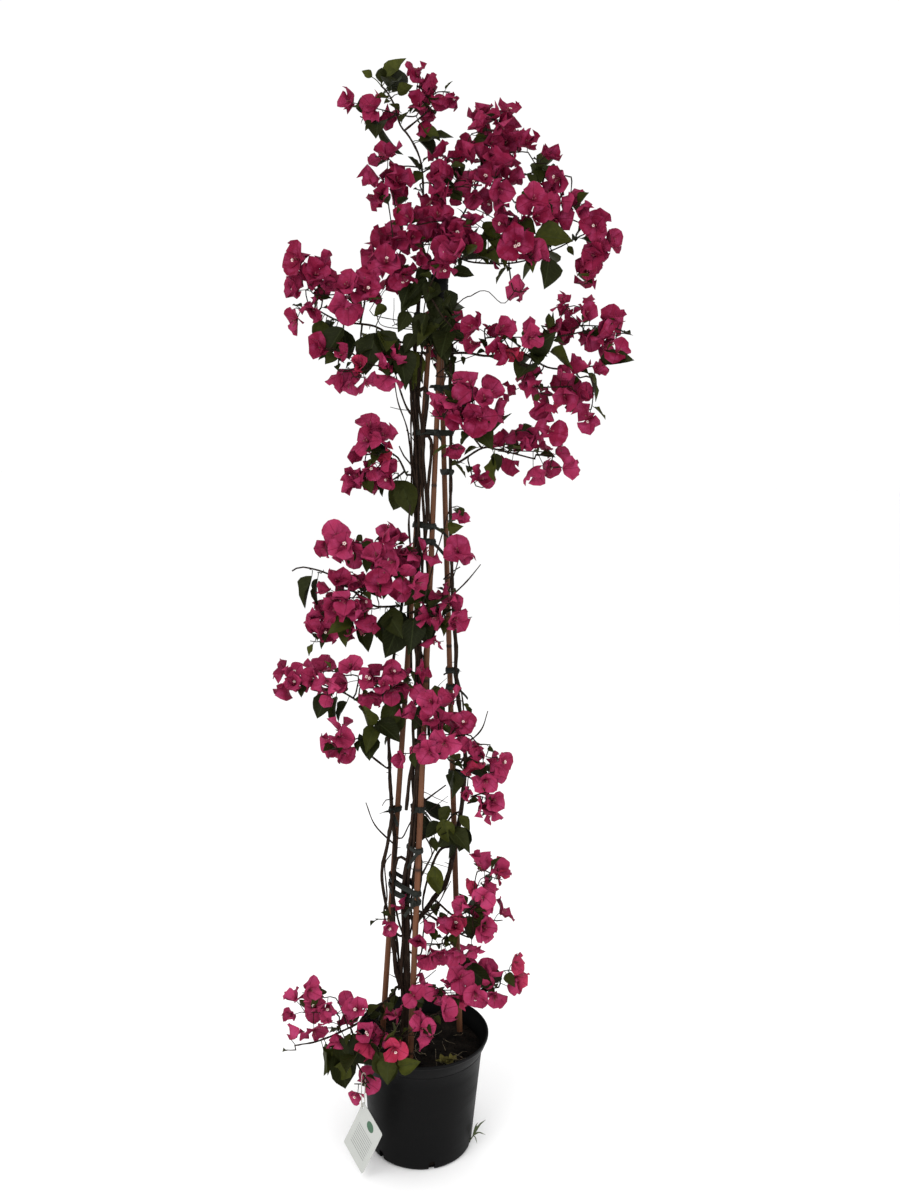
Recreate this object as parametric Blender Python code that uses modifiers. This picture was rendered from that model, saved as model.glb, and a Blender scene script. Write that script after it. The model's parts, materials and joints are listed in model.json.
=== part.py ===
"""Potted lesser bougainvillea on three bamboo canes, in a black nursery pot.

Metres, +Z up. The origin is the middle of the pot's foot, on the ground, and the plant is seen
from the front along +Y. The pot, soil, canes, cap, ties and label are turned, bent and cut
solids. The plant grows from a few hand-placed paths: each leafy shoot holds its leaves, and each
bunch holds its blooms of folded bracts, both placed by a seeded rule that keeps them clear of
everything already there.
"""

import math
from dataclasses import dataclass

import bmesh
import bpy
import numpy as np
from mathutils import Matrix, Vector
from mathutils.bvhtree import BVHTree

# Pot and soil
POT_HEIGHT = 0.213
RIM_RADIUS = 0.120
NECK_RADIUS = 0.109
FOOT_RADIUS = 0.094
POT_WALL = 0.0020
POT_FLOOR = 0.0030
POT_STEPS = 24
NOTCH_COUNT = 6
NOTCH_FIRST_ANGLE = math.radians(-76.0)
NOTCH_WIDTH = 0.011
NOTCH_HEIGHT = 0.018
SOIL_TOP = 0.184
FIT_GAP = 0.0004

# Canes: foot on the soil, head in the cap
CANE_FEET = {"cane_left": (-0.075, 0.030), "cane_front": (-0.020, -0.070), "cane_right": (0.0685, 0.040)}
CANE_HEADS = {"cane_left": (-0.008, -0.003), "cane_front": (0.008, -0.007), "cane_right": (0.002, 0.011)}
CANE_HEAD_Z = 1.530
CANE_DEPTH = 0.115
CANE_FOOT_RADIUS = 0.0060
CANE_HEAD_RADIUS = 0.0046
CANE_RING_SPACING = 0.33
CANE_SIDES = 8
CAP_RADIUS = 0.0170
CAP_BOTTOM_Z = 1.484
CAP_TOP_Z = 1.542
CAP_CENTRE = (0.0007, 0.0003)

# Growth
STEM_SIDES = 6
TWIG_SIDES = 3
TWIG_RADIUS = 0.0026
TWIG_TIP_RADIUS = 0.0021
STALK_RADIUS = 0.0019
PEDICEL_RADIUS = 0.0008
SEAT_GAP = 0.0005
SEAT_DEPTH = 0.0008
RING_MARGIN = 0.0016
END_MARGIN = 0.016
NECK_DEPTH = 0.0036
TRIAL_LIFT = 0.0045
BLADE = 0.0011
CLEARANCE = 0.0004
SHORTEST_EDGE = 0.00015
BLOOM_SEED = 41
LEAF_SEED = 17
BLOOM_TRIES = 60
LEAF_TRIES = 40
BRACT_LENGTH = (0.026, 0.034)
BRACT_SHAPE = ((0.52, -0.48, 0.10), (1.0, 0.0, -0.04), (0.52, 0.48, 0.10))
LEAF_LENGTH = (0.042, 0.062)
LEAF_SHAPE = ((0.38, 0.32, 0.06), (1.0, 0.0, -0.10), (0.38, -0.32, 0.03))
PETIOLE_LENGTH = 0.012
PETIOLE_HALF = 0.0007
YOUNG_SHARE = 0.38

# Ties
TIE_WIDTH = 0.011
TIE_THICKNESS = 0.0012

# Label
TAG_SIZE = (0.064, 0.122)
TAG_THICKNESS = 0.0008
TAG_CORNER = (-0.097, -0.122, 0.150)
TAG_TILT = math.radians(28.0)
TAG_YAW = math.radians(-50.0)
TAG_HOLE = (0.0055, -0.0105)
TAG_HOLE_RADIUS = 0.0028
LOOP_WIRE = 0.0007
LOOP_TWIG_Z = 0.198

PARTS = "potted_bougainvillea"
CUTTERS = "cutters"


@dataclass(frozen=True)
class Cluster:
    """A place on the plant that holds a number of leaves or blooms."""

    centre: tuple
    spread: tuple
    count: int


@dataclass(frozen=True)
class Shoot:
    """A leafy shoot: its paths, thick end first, and where its leaves are."""

    name: str
    paths: tuple
    leaves: tuple


@dataclass(frozen=True)
class Bunch:
    """A stalk of blooms that grows from a shoot."""

    name: str
    shoot: str
    clusters: tuple


@dataclass(frozen=True)
class Tie:
    """A band of tape round some canes and stems at one height."""

    name: str
    height: float
    holds: tuple


@dataclass(frozen=True)
class Rod:
    """A round path with a radius at each of its points."""

    points: np.ndarray
    radii: np.ndarray


@dataclass(frozen=True)
class Bloom:
    """Where one bloom sits, how it faces and how far it has opened."""

    place: np.ndarray
    root: np.ndarray
    axis: np.ndarray
    side: np.ndarray
    length: float
    rise: float
    lobes: int


@dataclass(frozen=True)
class Leaf:
    """Where one leaf sits and which way its blade runs."""

    root: np.ndarray
    base: np.ndarray
    along: np.ndarray
    face: np.ndarray
    length: float


# Stems, from the soil up
TRUNK = ((-0.031, 0.004, 0.120), (-0.030, 0.000, 0.209), (-0.029, -0.004, 0.267), (-0.034, -0.010, 0.420),
         (-0.033, -0.018, 0.514), (-0.022, -0.040, 0.600), (-0.017, -0.035, 0.700), (-0.014, -0.026, 0.825),
         (-0.021, -0.020, 0.966), (-0.027, -0.010, 1.138), (-0.031, -0.009, 1.289), (-0.036, -0.008, 1.371),
         (-0.034, -0.010, 1.453), (-0.030, -0.010, 1.500))
LEFT_STEM = ((-0.040, -0.012, 0.300), (-0.052, -0.013, 0.349), (-0.057, -0.012, 0.453),
             (-0.056, 0.001, 0.555),
             (-0.063, 0.009, 0.620), (-0.068, 0.004, 0.710), (-0.070, 0.000, 0.800), (-0.063, 0.000, 0.898),
             (-0.050, -0.004, 1.000), (-0.046, -0.006, 1.090))
RIGHT_STEM = ((-0.009, -0.010, 0.432), (0.015, 0.002, 0.462), (0.035, 0.012, 0.485), (0.051, 0.016, 0.554),
              (0.060, 0.017, 0.619), (0.066, 0.016, 0.710), (0.056, 0.014, 0.791), (0.046, 0.013, 0.860),
              (0.044, 0.012, 0.920), (0.037, 0.007, 1.002), (0.031, 0.002, 1.105), (0.029, -0.002, 1.173),
              (0.027, -0.006, 1.274), (0.024, -0.013, 1.360), (0.026, -0.018, 1.430))

TIES = (
    Tie("tie_low", 0.497, ("cane_left", "cane_front", "trunk", "left")),
    Tie("tie_front", 0.645, ("cane_front", "trunk")),
    Tie("tie_left", 0.622, ("cane_left", "left")),
    Tie("tie_right", 0.875, ("cane_right", "right")),
    Tie("tie_middle", 1.130, ("cane_left", "cane_front", "trunk")),
    Tie("tie_high", 1.285, ("cane_left", "cane_front", "cane_right", "trunk", "right")),
)

SHOOTS = (
    Shoot("leafy_crown",
          (((-0.026, -0.006, 1.555), (-0.026, 0.000, 1.620), (-0.030, 0.000, 1.712), (-0.050, 0.000, 1.755),
            (-0.066, 0.002, 1.775), (-0.077, 0.002, 1.807), (-0.088, 0.000, 1.824), (-0.098, 0.000, 1.834)),
           ((0.012, 0.000, 1.600), (0.045, 0.000, 1.650), (0.072, 0.012, 1.720), (0.085, 0.020, 1.770)),
           ((0.030, -0.012, 1.570), (0.068, -0.020, 1.558), (0.134, -0.012, 1.563), (0.193, 0.000, 1.588),
            (0.234, 0.020, 1.613), (0.252, 0.028, 1.622)),
           ((0.085, 0.000, 1.690), (0.125, 0.005, 1.700), (0.165, 0.010, 1.712)),
           ((-0.100, 0.015, 1.782), (-0.120, 0.020, 1.788), (-0.133, 0.020, 1.793)),
           ((-0.030, 0.000, 1.790), (-0.012, 0.000, 1.808)),
           ((-0.048, -0.018, 1.590), (-0.066, -0.025, 1.620), (-0.075, -0.025, 1.665)),
           ((-0.012, -0.040, 1.500), (0.010, -0.048, 1.468), (0.032, -0.045, 1.446))),
          (Cluster((-0.092, 0.000, 1.836), (0.034, 0.020, 0.014), 4),
           Cluster((-0.095, 0.010, 1.793), (0.030, 0.020, 0.015), 2),
           Cluster((-0.020, 0.000, 1.760), (0.020, 0.020, 0.015), 2),
           Cluster((0.175, 0.000, 1.580), (0.035, 0.030, 0.030), 4),
           Cluster((0.075, -0.015, 1.590), (0.050, 0.030, 0.030), 4),
           Cluster((0.165, 0.010, 1.710), (0.020, 0.020, 0.020), 2),
           Cluster((0.005, -0.045, 1.465), (0.030, 0.020, 0.040), 6))),
    Shoot("leafy_upper_left",
          (((-0.060, -0.025, 1.430), (-0.100, -0.040, 1.452), (-0.155, -0.045, 1.458),
            (-0.192, -0.040, 1.475)),
           ((-0.122, -0.058, 1.425), (-0.128, -0.066, 1.400))),
          (Cluster((-0.170, -0.050, 1.440), (0.035, 0.020, 0.020), 5),
           Cluster((-0.090, -0.045, 1.425), (0.030, 0.030, 0.020), 4),
           Cluster((-0.050, -0.030, 1.405), (0.020, 0.020, 0.020), 3))),
    Shoot("leafy_right_middle",
          (((0.055, -0.042, 1.412), (0.087, -0.056, 1.407), (0.135, -0.065, 1.413), (0.181, -0.055, 1.392),
            (0.225, -0.040, 1.392), (0.261, -0.030, 1.398)),
           ((0.183, -0.062, 1.434), (0.220, -0.045, 1.446), (0.250, -0.030, 1.455))),
          (Cluster((0.145, -0.065, 1.405), (0.050, 0.030, 0.030), 6),
           Cluster((0.262, -0.030, 1.400), (0.020, 0.020, 0.020), 2))),
    Shoot("leafy_right_lower",
          (((0.043, -0.030, 1.237), (0.080, -0.056, 1.260), (0.104, -0.060, 1.258), (0.167, -0.040, 1.245)),
           ((0.060, -0.065, 1.285), (0.066, -0.072, 1.304))),
          (Cluster((0.095, -0.060, 1.252), (0.020, 0.020, 0.020), 2),
           Cluster((0.070, -0.072, 1.295), (0.020, 0.020, 0.020), 2))),
    Shoot("leafy_left_upper",
          (((-0.045, -0.022, 1.214), (-0.060, -0.032, 1.242), (-0.084, -0.036, 1.254)),
           ((-0.068, -0.038, 1.205), (-0.090, -0.042, 1.200))),
          (Cluster((-0.050, -0.020, 1.200), (0.020, 0.020, 0.030), 2),
           Cluster((-0.085, -0.040, 1.250), (0.020, 0.020, 0.020), 1))),
    Shoot("leafy_left_middle",
          (((-0.075, -0.030, 0.992), (-0.102, -0.045, 0.998), (-0.161, -0.040, 1.042),
            (-0.216, -0.030, 1.056), (-0.235, -0.030, 1.049)),
           ((-0.098, -0.052, 1.040), (-0.100, -0.055, 1.085)),
           ((-0.140, -0.022, 0.962), (-0.165, -0.004, 0.948))),
          (Cluster((-0.205, -0.030, 1.035), (0.025, 0.020, 0.020), 2),
           Cluster((-0.125, -0.035, 0.965), (0.040, 0.030, 0.030), 5),
           Cluster((-0.075, -0.035, 0.965), (0.020, 0.020, 0.030), 3))),
    Shoot("leafy_centre_middle",
          (((-0.034, -0.050, 0.985), (-0.018, -0.066, 0.992), (0.010, -0.066, 0.982)),),
          (Cluster((-0.015, -0.060, 0.965), (0.035, 0.020, 0.035), 6),)),
    Shoot("leafy_left_lower",
          (((-0.088, -0.026, 0.838), (-0.112, -0.040, 0.828), (-0.144, -0.030, 0.841),
            (-0.200, -0.010, 0.856), (-0.226, 0.000, 0.858)),
           ((-0.094, -0.045, 0.780), (-0.123, -0.058, 0.769), (-0.148, -0.060, 0.758))),
          (Cluster((-0.155, -0.040, 0.805), (0.030, 0.030, 0.030), 3),
           Cluster((-0.105, -0.050, 0.785), (0.025, 0.020, 0.020), 4))),
    Shoot("leafy_centre",
          (((0.055, -0.022, 0.718), (0.040, -0.058, 0.732), (0.022, -0.080, 0.762)),
           ((0.085, -0.035, 0.712), (0.100, -0.050, 0.700), (0.108, -0.055, 0.668))),
          (Cluster((0.055, -0.040, 0.715), (0.025, 0.020, 0.020), 3),)),
    Shoot("leafy_inner",
          (((0.045, -0.012, 0.622), (0.026, -0.032, 0.604), (0.002, -0.032, 0.588)),),
          (Cluster((0.030, -0.025, 0.600), (0.040, 0.020, 0.020), 5),)),
    Shoot("leafy_lower_right",
          (((0.027, -0.026, 0.462), (0.054, -0.038, 0.448), (0.088, -0.040, 0.470), (0.113, -0.030, 0.509)),
           ((0.045, -0.055, 0.428), (0.036, -0.058, 0.418))),
          (Cluster((0.085, -0.040, 0.455), (0.020, 0.020, 0.020), 3),)),
    Shoot("leafy_pot_right",
          (((0.010, -0.010, 0.278), (0.052, -0.018, 0.288), (0.094, -0.024, 0.300),
            (0.128, -0.030, 0.318)),),
          (Cluster((0.112, -0.030, 0.312), (0.020, 0.020, 0.020), 3),)),
    Shoot("leafy_pot_left",
          (((-0.052, -0.024, 0.292), (-0.078, -0.055, 0.284), (-0.115, -0.085, 0.268),
            (-0.176, -0.090, 0.240), (-0.215, -0.080, 0.224)),
           ((-0.062, -0.092, 0.258), (-0.044, -0.122, 0.240)),
           ((-0.114, -0.100, 0.245), (-0.112, -0.104, 0.215), (-0.097, -0.122, 0.198),
            (-0.086, -0.135, 0.192))),
          (Cluster((-0.150, -0.092, 0.235), (0.030, 0.020, 0.020), 4),
           Cluster((-0.112, -0.115, 0.225), (0.020, 0.010, 0.020), 2),
           Cluster((-0.050, -0.112, 0.245), (0.020, 0.020, 0.020), 3))),
    Shoot("leafy_rear_upper",
          (((-0.052, 0.028, 1.388), (-0.040, 0.070, 1.400), (-0.005, 0.098, 1.420),
            (0.030, 0.105, 1.445)),),
          (Cluster((-0.010, 0.090, 1.415), (0.040, 0.030, 0.030), 5),)),
    Shoot("leafy_rear_lower",
          (((-0.066, 0.050, 0.762), (-0.040, 0.092, 0.785), (0.010, 0.108, 0.810)),),
          (Cluster((-0.015, 0.100, 0.800), (0.040, 0.030, 0.030), 5),)),
)

BUNCHES = (
    Bunch("bracts_tip", "leafy_crown",
          (Cluster((-0.040, 0.000, 1.812), (0.024, 0.025, 0.045), 6),
           Cluster((-0.120, 0.018, 1.805), (0.028, 0.020, 0.018), 3))),
    Bunch("bracts_crown_left", "leafy_crown",
          (Cluster((-0.074, -0.030, 1.570), (0.036, 0.032, 0.044), 8),
           Cluster((-0.084, -0.026, 1.684), (0.024, 0.024, 0.036), 6))),
    Bunch("bracts_crown_top", "leafy_crown",
          (Cluster((0.089, 0.025, 1.768), (0.054, 0.036, 0.036), 9),)),
    Bunch("bracts_crown_front", "leafy_crown",
          (Cluster((0.062, -0.036, 1.680), (0.072, 0.034, 0.042), 13),)),
    Bunch("bracts_crown_right", "leafy_crown",
          (Cluster((0.128, -0.034, 1.608), (0.038, 0.028, 0.040), 8),)),
    Bunch("bracts_crown_low", "leafy_crown",
          (Cluster((0.003, -0.055, 1.585), (0.050, 0.032, 0.036), 10),)),
    Bunch("bracts_far_right", "leafy_crown",
          (Cluster((0.197, 0.000, 1.662), (0.022, 0.024, 0.034), 6),
           Cluster((0.256, 0.006, 1.590), (0.022, 0.022, 0.050), 6))),
    Bunch("bracts_upper_left", "leafy_upper_left",
          (Cluster((-0.132, -0.052, 1.500), (0.030, 0.026, 0.028), 6),
           Cluster((-0.200, -0.054, 1.520), (0.038, 0.026, 0.040), 6))),
    Bunch("bracts_left_hanging", "leafy_upper_left",
          (Cluster((-0.128, -0.070, 1.380), (0.042, 0.022, 0.022), 4),)),
    Bunch("bracts_right_front", "leafy_right_middle",
          (Cluster((0.112, -0.088, 1.432), (0.066, 0.022, 0.024), 8),)),
    Bunch("bracts_right_far", "leafy_right_middle",
          (Cluster((0.256, -0.030, 1.462), (0.046, 0.030, 0.030), 9),)),
    Bunch("bracts_right_under", "leafy_right_middle",
          (Cluster((0.190, -0.055, 1.362), (0.062, 0.030, 0.026), 9),)),
    Bunch("bracts_right_inner", "leafy_right_lower",
          (Cluster((0.052, -0.090, 1.325), (0.048, 0.024, 0.042), 9),)),
    Bunch("bracts_right_lower", "leafy_right_lower",
          (Cluster((0.150, -0.045, 1.257), (0.056, 0.030, 0.030), 7),)),
    Bunch("bracts_left_small", "leafy_left_upper",
          (Cluster((-0.102, -0.042, 1.246), (0.030, 0.028, 0.046), 8),)),
    Bunch("bracts_centre_small", "leafy_centre_middle",
          (Cluster((0.024, -0.058, 0.990), (0.018, 0.014, 0.030), 4),
           Cluster((0.046, -0.045, 1.100), (0.010, 0.014, 0.036), 2))),
    Bunch("bracts_left_middle", "leafy_left_middle",
          (Cluster((-0.062, -0.068, 1.075), (0.024, 0.020, 0.050), 8),
           Cluster((-0.130, -0.050, 1.100), (0.048, 0.026, 0.022), 7))),
    Bunch("bracts_left_outer", "leafy_left_middle",
          (Cluster((-0.140, -0.050, 1.018), (0.040, 0.028, 0.024), 8),
           Cluster((-0.178, -0.010, 0.960), (0.030, 0.026, 0.026), 6))),
    Bunch("bracts_left_far", "leafy_left_lower",
          (Cluster((-0.214, -0.005, 0.866), (0.052, 0.024, 0.020), 6),)),
    Bunch("bracts_left_inner", "leafy_left_lower",
          (Cluster((-0.070, -0.058, 0.868), (0.070, 0.024, 0.022), 8),)),
    Bunch("bracts_left_low", "leafy_left_lower",
          (Cluster((-0.154, -0.062, 0.768), (0.018, 0.018, 0.024), 3),)),
    Bunch("bracts_centre", "leafy_centre",
          (Cluster((0.014, -0.092, 0.788), (0.050, 0.026, 0.046), 9),)),
    Bunch("bracts_centre_right", "leafy_centre",
          (Cluster((0.104, -0.060, 0.695), (0.022, 0.024, 0.052), 6),)),
    Bunch("bracts_lower_right", "leafy_lower_right",
          (Cluster((0.084, -0.060, 0.440), (0.036, 0.024, 0.040), 7),
           Cluster((0.116, -0.034, 0.515), (0.038, 0.024, 0.024), 6))),
    Bunch("bracts_lower_front", "leafy_lower_right",
          (Cluster((0.014, -0.070, 0.412), (0.036, 0.022, 0.030), 5),)),
    Bunch("bracts_pot_right", "leafy_pot_right",
          (Cluster((0.088, -0.044, 0.328), (0.066, 0.030, 0.026), 9),)),
    Bunch("bracts_pot_left", "leafy_pot_left",
          (Cluster((-0.180, -0.064, 0.276), (0.058, 0.036, 0.034), 9),)),
    Bunch("bracts_pot_front", "leafy_pot_left",
          (Cluster((-0.044, -0.104, 0.262), (0.068, 0.028, 0.028), 8),)),
    Bunch("bracts_rear", "leafy_rear_upper",
          (Cluster((0.020, 0.105, 1.450), (0.046, 0.028, 0.034), 6),)),
)


def clear_scene():
    """Remove every object that the new file starts with."""
    for item in list(bpy.data.objects):
        bpy.data.objects.remove(item, do_unlink=True)


def make_collection(name):
    """Return a collection of this name, linked to the scene."""
    collection = bpy.data.collections.new(name)
    bpy.context.scene.collection.children.link(collection)
    return collection


def make_material(name, colour, roughness):
    """Return a plain non-metal material."""
    material = bpy.data.materials.new(name)
    material.use_nodes = True
    shader = material.node_tree.nodes["Principled BSDF"]
    shader.inputs["Base Color"].default_value = (*colour, 1.0)
    shader.inputs["Roughness"].default_value = roughness
    shader.inputs["Metallic"].default_value = 0.0
    return material


def make_object(name, mesh, collection):
    """Link a mesh to a collection as an object at the origin."""
    item = bpy.data.objects.new(name, mesh)
    collection.objects.link(item)
    return item


def mesh_from(bm, name):
    """Turn a bmesh into mesh data and free it."""
    mesh = bpy.data.meshes.new(name)
    bmesh.ops.recalc_face_normals(bm, faces=bm.faces)
    bm.to_mesh(mesh)
    bm.free()
    return mesh


def finish(item, material):
    """Give a node its material and smooth shading with sharp edges kept."""
    item.data.materials.clear()
    item.data.materials.append(material)
    item.data.shade_smooth()
    item.data.set_sharp_from_angle(angle=math.radians(35.0))
    return item


def unit(vector):
    """Return a vector's direction."""
    return vector / max(float(np.linalg.norm(vector)), 1e-9)


def applied(item, name):
    """Return fresh mesh data with the object's modifiers applied."""
    bpy.context.view_layer.update()
    evaluated = item.evaluated_get(bpy.context.evaluated_depsgraph_get())
    mesh = bpy.data.meshes.new_from_object(evaluated)
    mesh.name = name
    return mesh


def smooth_rod(points, start_radius, end_radius, step):
    """Run a smooth curve through hand-placed points, with a point about every step."""
    points = [np.array(point, dtype=float) for point in points]
    padded = [2 * points[0] - points[1], *points, 2 * points[-1] - points[-2]]
    path = []
    for before, start, end, after in zip(padded, padded[1:], padded[2:], padded[3:]):
        count = max(1, round(float(np.linalg.norm(end - start)) / step))
        for t in np.arange(count) / count:
            bend = 2 * before - 5 * start + 4 * end - after
            twist = 3 * start - before - 3 * end + after
            path.append(0.5 * (2 * start + (end - before) * t + bend * t ** 2 + twist * t ** 3))
    path.append(points[-1])
    return Rod(np.array(path), np.linspace(start_radius, end_radius, len(path)))


def rings_of(rod, sides):
    """Return the corners of a rod's mitred sections, so that each flat is level along each run."""
    runs = [unit(run) for run in np.diff(rod.points, axis=0)]
    mitres = [runs[0], *[unit(before + after) for before, after in zip(runs, runs[1:])], runs[-1]]
    first = unit(np.cross(mitres[0], (0.0, 0.0, 1.0) if abs(mitres[0][2]) < 0.9 else (1.0, 0.0, 0.0)))
    second = np.cross(mitres[0], first)
    turns = np.arange(sides) * 2 * math.pi / sides
    circle = np.outer(np.cos(turns), first) + np.outer(np.sin(turns), second)
    rings = [rod.points[0] + rod.radii[0] * circle]
    for index in range(1, len(rod.points)):
        run, mitre, place = runs[index - 1], mitres[index], rod.points[index]
        reach = (place - rings[-1]) @ mitre / np.dot(run, mitre)
        moved = rings[-1] + np.outer(reach, run)
        rings.append(place + (moved - place) * rod.radii[index] / rod.radii[index - 1])
    return rings


def nearest_on(rods, point, margin=0.0):
    """Return the rod nearest to a point, the number of its run there and the share along that run."""
    best = (math.inf, None, 0, 0.0)
    for rod in rods:
        last = len(rod.points) - 2
        for index, (start, end) in enumerate(zip(rod.points, rod.points[1:])):
            run = end - start
            length = float(np.linalg.norm(run))
            low = min(0.4, RING_MARGIN / length)
            high = max(low, 1.0 - max(RING_MARGIN, margin if index == last else 0.0) / length)
            share = float(np.clip(np.dot(point - start, run) / length ** 2, low, high))
            distance = float(np.linalg.norm(point - start - share * run))
            if distance < best[0]:
                best = (distance, rod, index, share)
    return best[1:]


def spot_on(rods, point):
    """Return the nearest point to another on the axes of some rods."""
    rod, index, share = nearest_on(rods, point)
    return rod.points[index] + share * (rod.points[index + 1] - rod.points[index])


def seat_on(rods, sides, point, margin=0.0):
    """Return the middle of the flat that faces a point on the nearest rod, and the way the flat faces."""
    rod, index, share = nearest_on(rods, point, margin)
    run = rod.points[index + 1] - rod.points[index]
    spot = rod.points[index] + share * run
    low, high = [(ring + np.roll(ring, -1, axis=0)) / 2 for ring in rings_of(rod, sides)[index:index + 2]]
    across = (1.0 - share) * low + share * high - spot
    across -= np.outer(across @ unit(run), unit(run))
    best = across[int(np.argmax(across @ (point - spot)))]
    return spot + best, unit(best)


def seated_rod(rods, sides, points, radius, step):
    """Run a rod from just outside a flat of some other rods, or their end, through its own points."""
    first = np.array(points[0], dtype=float)
    rod = nearest_on(rods, first)[0]
    way = unit(rod.points[-1] - rod.points[-2])
    if np.dot(unit(first - rod.points[-1]), way) > 0.15:
        seat, outward = rod.points[-1], way
    else:
        seat, outward = seat_on(rods, sides, first)
    start = seat + outward * SEAT_GAP
    return smooth_rod((start, start + outward * 0.006, *points), radius, radius, step)


def rod_at(rod, height):
    """Return where a rising rod crosses a height, and its radius there."""
    index = int(np.argmax(rod.points[:, 2] > height))
    low, high = rod.points[index - 1], rod.points[index]
    share = (height - low[2]) / (high[2] - low[2])
    return low + share * (high - low), float(np.interp(share, (0.0, 1.0), rod.radii[index - 1:index + 1]))


def sweep(name, rod, sides, collection):
    """Make a rod into a solid with level flats, on which other growth can be seated."""
    bm = bmesh.new()
    rings = [[bm.verts.new(corner) for corner in ring] for ring in rings_of(rod, sides)]
    for ring, above in zip(rings, rings[1:]):
        for side in range(sides):
            after = (side + 1) % sides
            bm.faces.new((ring[side], ring[after], above[after], above[side]))
    bm.faces.new(rings[0][::-1])
    bm.faces.new(rings[-1])
    return make_object(name, mesh_from(bm, name), collection)


def tube(name, rod, resolution, collection, closed=False):
    """Make a rod into a round tube from a curve."""
    curve = bpy.data.curves.new(name, "CURVE")
    curve.dimensions = "3D"
    curve.bevel_depth = 1.0
    curve.bevel_resolution = resolution
    curve.use_fill_caps = not closed
    spline = curve.splines.new("POLY")
    spline.points.add(len(rod.points) - 1)
    for knot, place, radius in zip(spline.points, rod.points, rod.radii):
        knot.co = (*place, 1.0)
        knot.radius = radius
    spline.use_cyclic_u = closed
    guide = make_object(name, curve, collection)
    mesh = applied(guide, name)
    placed = guide.matrix_world.copy()
    bpy.data.objects.remove(guide, do_unlink=True)
    bm = bmesh.new()
    bm.from_mesh(mesh)
    bpy.data.meshes.remove(mesh)
    bmesh.ops.remove_doubles(bm, verts=bm.verts, dist=0.00001)
    solid = make_object(name, mesh_from(bm, name), collection)
    solid.matrix_world = placed
    return solid


def turned(name, profile, steps, collection):
    """Turn a profile of (radius, height) points about the vertical."""
    mesh = bpy.data.meshes.new(name)
    mesh.from_pydata([(radius, 0.0, height) for radius, height in profile],
                     [(index, index + 1) for index in range(len(profile) - 1)], [])
    item = make_object(name, mesh, collection)
    screw = item.modifiers.new("turn", "SCREW")
    screw.steps = steps
    screw.render_steps = steps
    screw.use_merge_vertices = True
    screw.merge_threshold = 0.0001
    return item


def subtract(item, cutter):
    """Cut one solid from another with a kept modifier."""
    cutter.hide_render = True
    cutter.display_type = "WIRE"
    cut = item.modifiers.new("cut", "BOOLEAN")
    cut.operation = "DIFFERENCE"
    cut.object = cutter


def islands_of(bm):
    """Return the separate bodies of a bmesh as lists of faces."""
    waiting = set(bm.faces)
    islands = []
    while waiting:
        queue = [waiting.pop()]
        island = []
        while queue:
            face = queue.pop()
            island.append(face)
            for edge in face.edges:
                linked = [other for other in edge.link_faces if other in waiting]
                waiting.difference_update(linked)
                queue.extend(linked)
        islands.append(island)
    return islands


def can_close(edge):
    """Tell whether an edge is too short to keep and can be drawn in with the body still closed."""
    if edge.calc_length() > SHORTEST_EDGE:
        return False
    start, end = edge.verts
    near_start = {link.other_vert(start) for link in start.link_edges}
    near_end = {link.other_vert(end) for link in end.link_edges}
    triangles = sum(len(face.verts) == 3 for face in edge.link_faces)
    shared = set(start.link_faces) & set(end.link_faces)
    return len(near_start & near_end) == triangles and len(shared) == 2


def cut_into_triangles(bm):
    """Cut a closed bmesh into triangles in a way that leaves each edge with two faces."""
    for quads, others in (("BEAUTY", "BEAUTY"), ("BEAUTY", "EAR_CLIP"), ("ALTERNATE", "BEAUTY")):
        trial = bm.copy()
        bmesh.ops.triangulate(trial, faces=trial.faces, quad_method=quads, ngon_method=others)
        closed = all(edge.is_manifold for edge in trial.edges)
        trial.free()
        if closed:
            break
    bmesh.ops.triangulate(bm, faces=bm.faces, quad_method=quads, ngon_method=others)


def keep_main_body(mesh):
    """Keep the largest body of a mesh, without sealed hollows, loose scraps and needless short edges."""
    bm = bmesh.new()
    bm.from_mesh(mesh)
    islands = islands_of(bm)
    islands.sort(key=lambda island: -sum(face.calc_area() for face in island))
    loose = [face for island in islands[1:] for face in island]
    if loose:
        bmesh.ops.delete(bm, geom=loose, context="FACES")
    while edge := next((edge for edge in bm.edges if can_close(edge)), None):
        start, end = edge.verts
        bmesh.ops.pointmerge(bm, verts=[start, end], merge_co=(start.co + end.co) / 2)
    cut_into_triangles(bm)
    bm.to_mesh(mesh)
    bm.free()


def fuse(name, pieces, collection):
    """Join solids into one node with a Boolean union on a collection."""
    others = make_collection(name + "_pieces")
    for piece in pieces[1:]:
        for old in list(piece.users_collection):
            old.objects.unlink(piece)
        others.objects.link(piece)
    join = pieces[0].modifiers.new("join", "BOOLEAN")
    join.operation = "UNION"
    join.operand_type = "COLLECTION"
    join.collection = others
    join.solver = "MANIFOLD"
    mesh = applied(pieces[0], name)
    for piece in pieces:
        bpy.data.objects.remove(piece, do_unlink=True)
    bpy.data.collections.remove(others)
    keep_main_body(mesh)
    return make_object(name, mesh, collection)


class Space:
    """What is already in place, to test whether a new solid is clear of it."""

    def __init__(self):
        self.taken = []

    def add(self, bm):
        """Record a solid."""
        self.taken.append((BVHTree.FromBMesh(bm), *bounding_ball(bm)))

    def add_object(self, item):
        """Record an object's evaluated solid."""
        bm = bmesh.new()
        bm.from_mesh(applied(item, "trial"))
        bmesh.ops.transform(bm, matrix=item.matrix_world, verts=bm.verts)
        self.add(bm)
        bm.free()

    def is_free(self, bm):
        """Tell whether a solid crosses nothing that is in place."""
        tree = BVHTree.FromBMesh(bm)
        centre, radius = bounding_ball(bm)
        for other, place, reach in self.taken:
            if (place - centre).length < radius + reach and tree.overlap(other):
                return False
        return True


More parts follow.
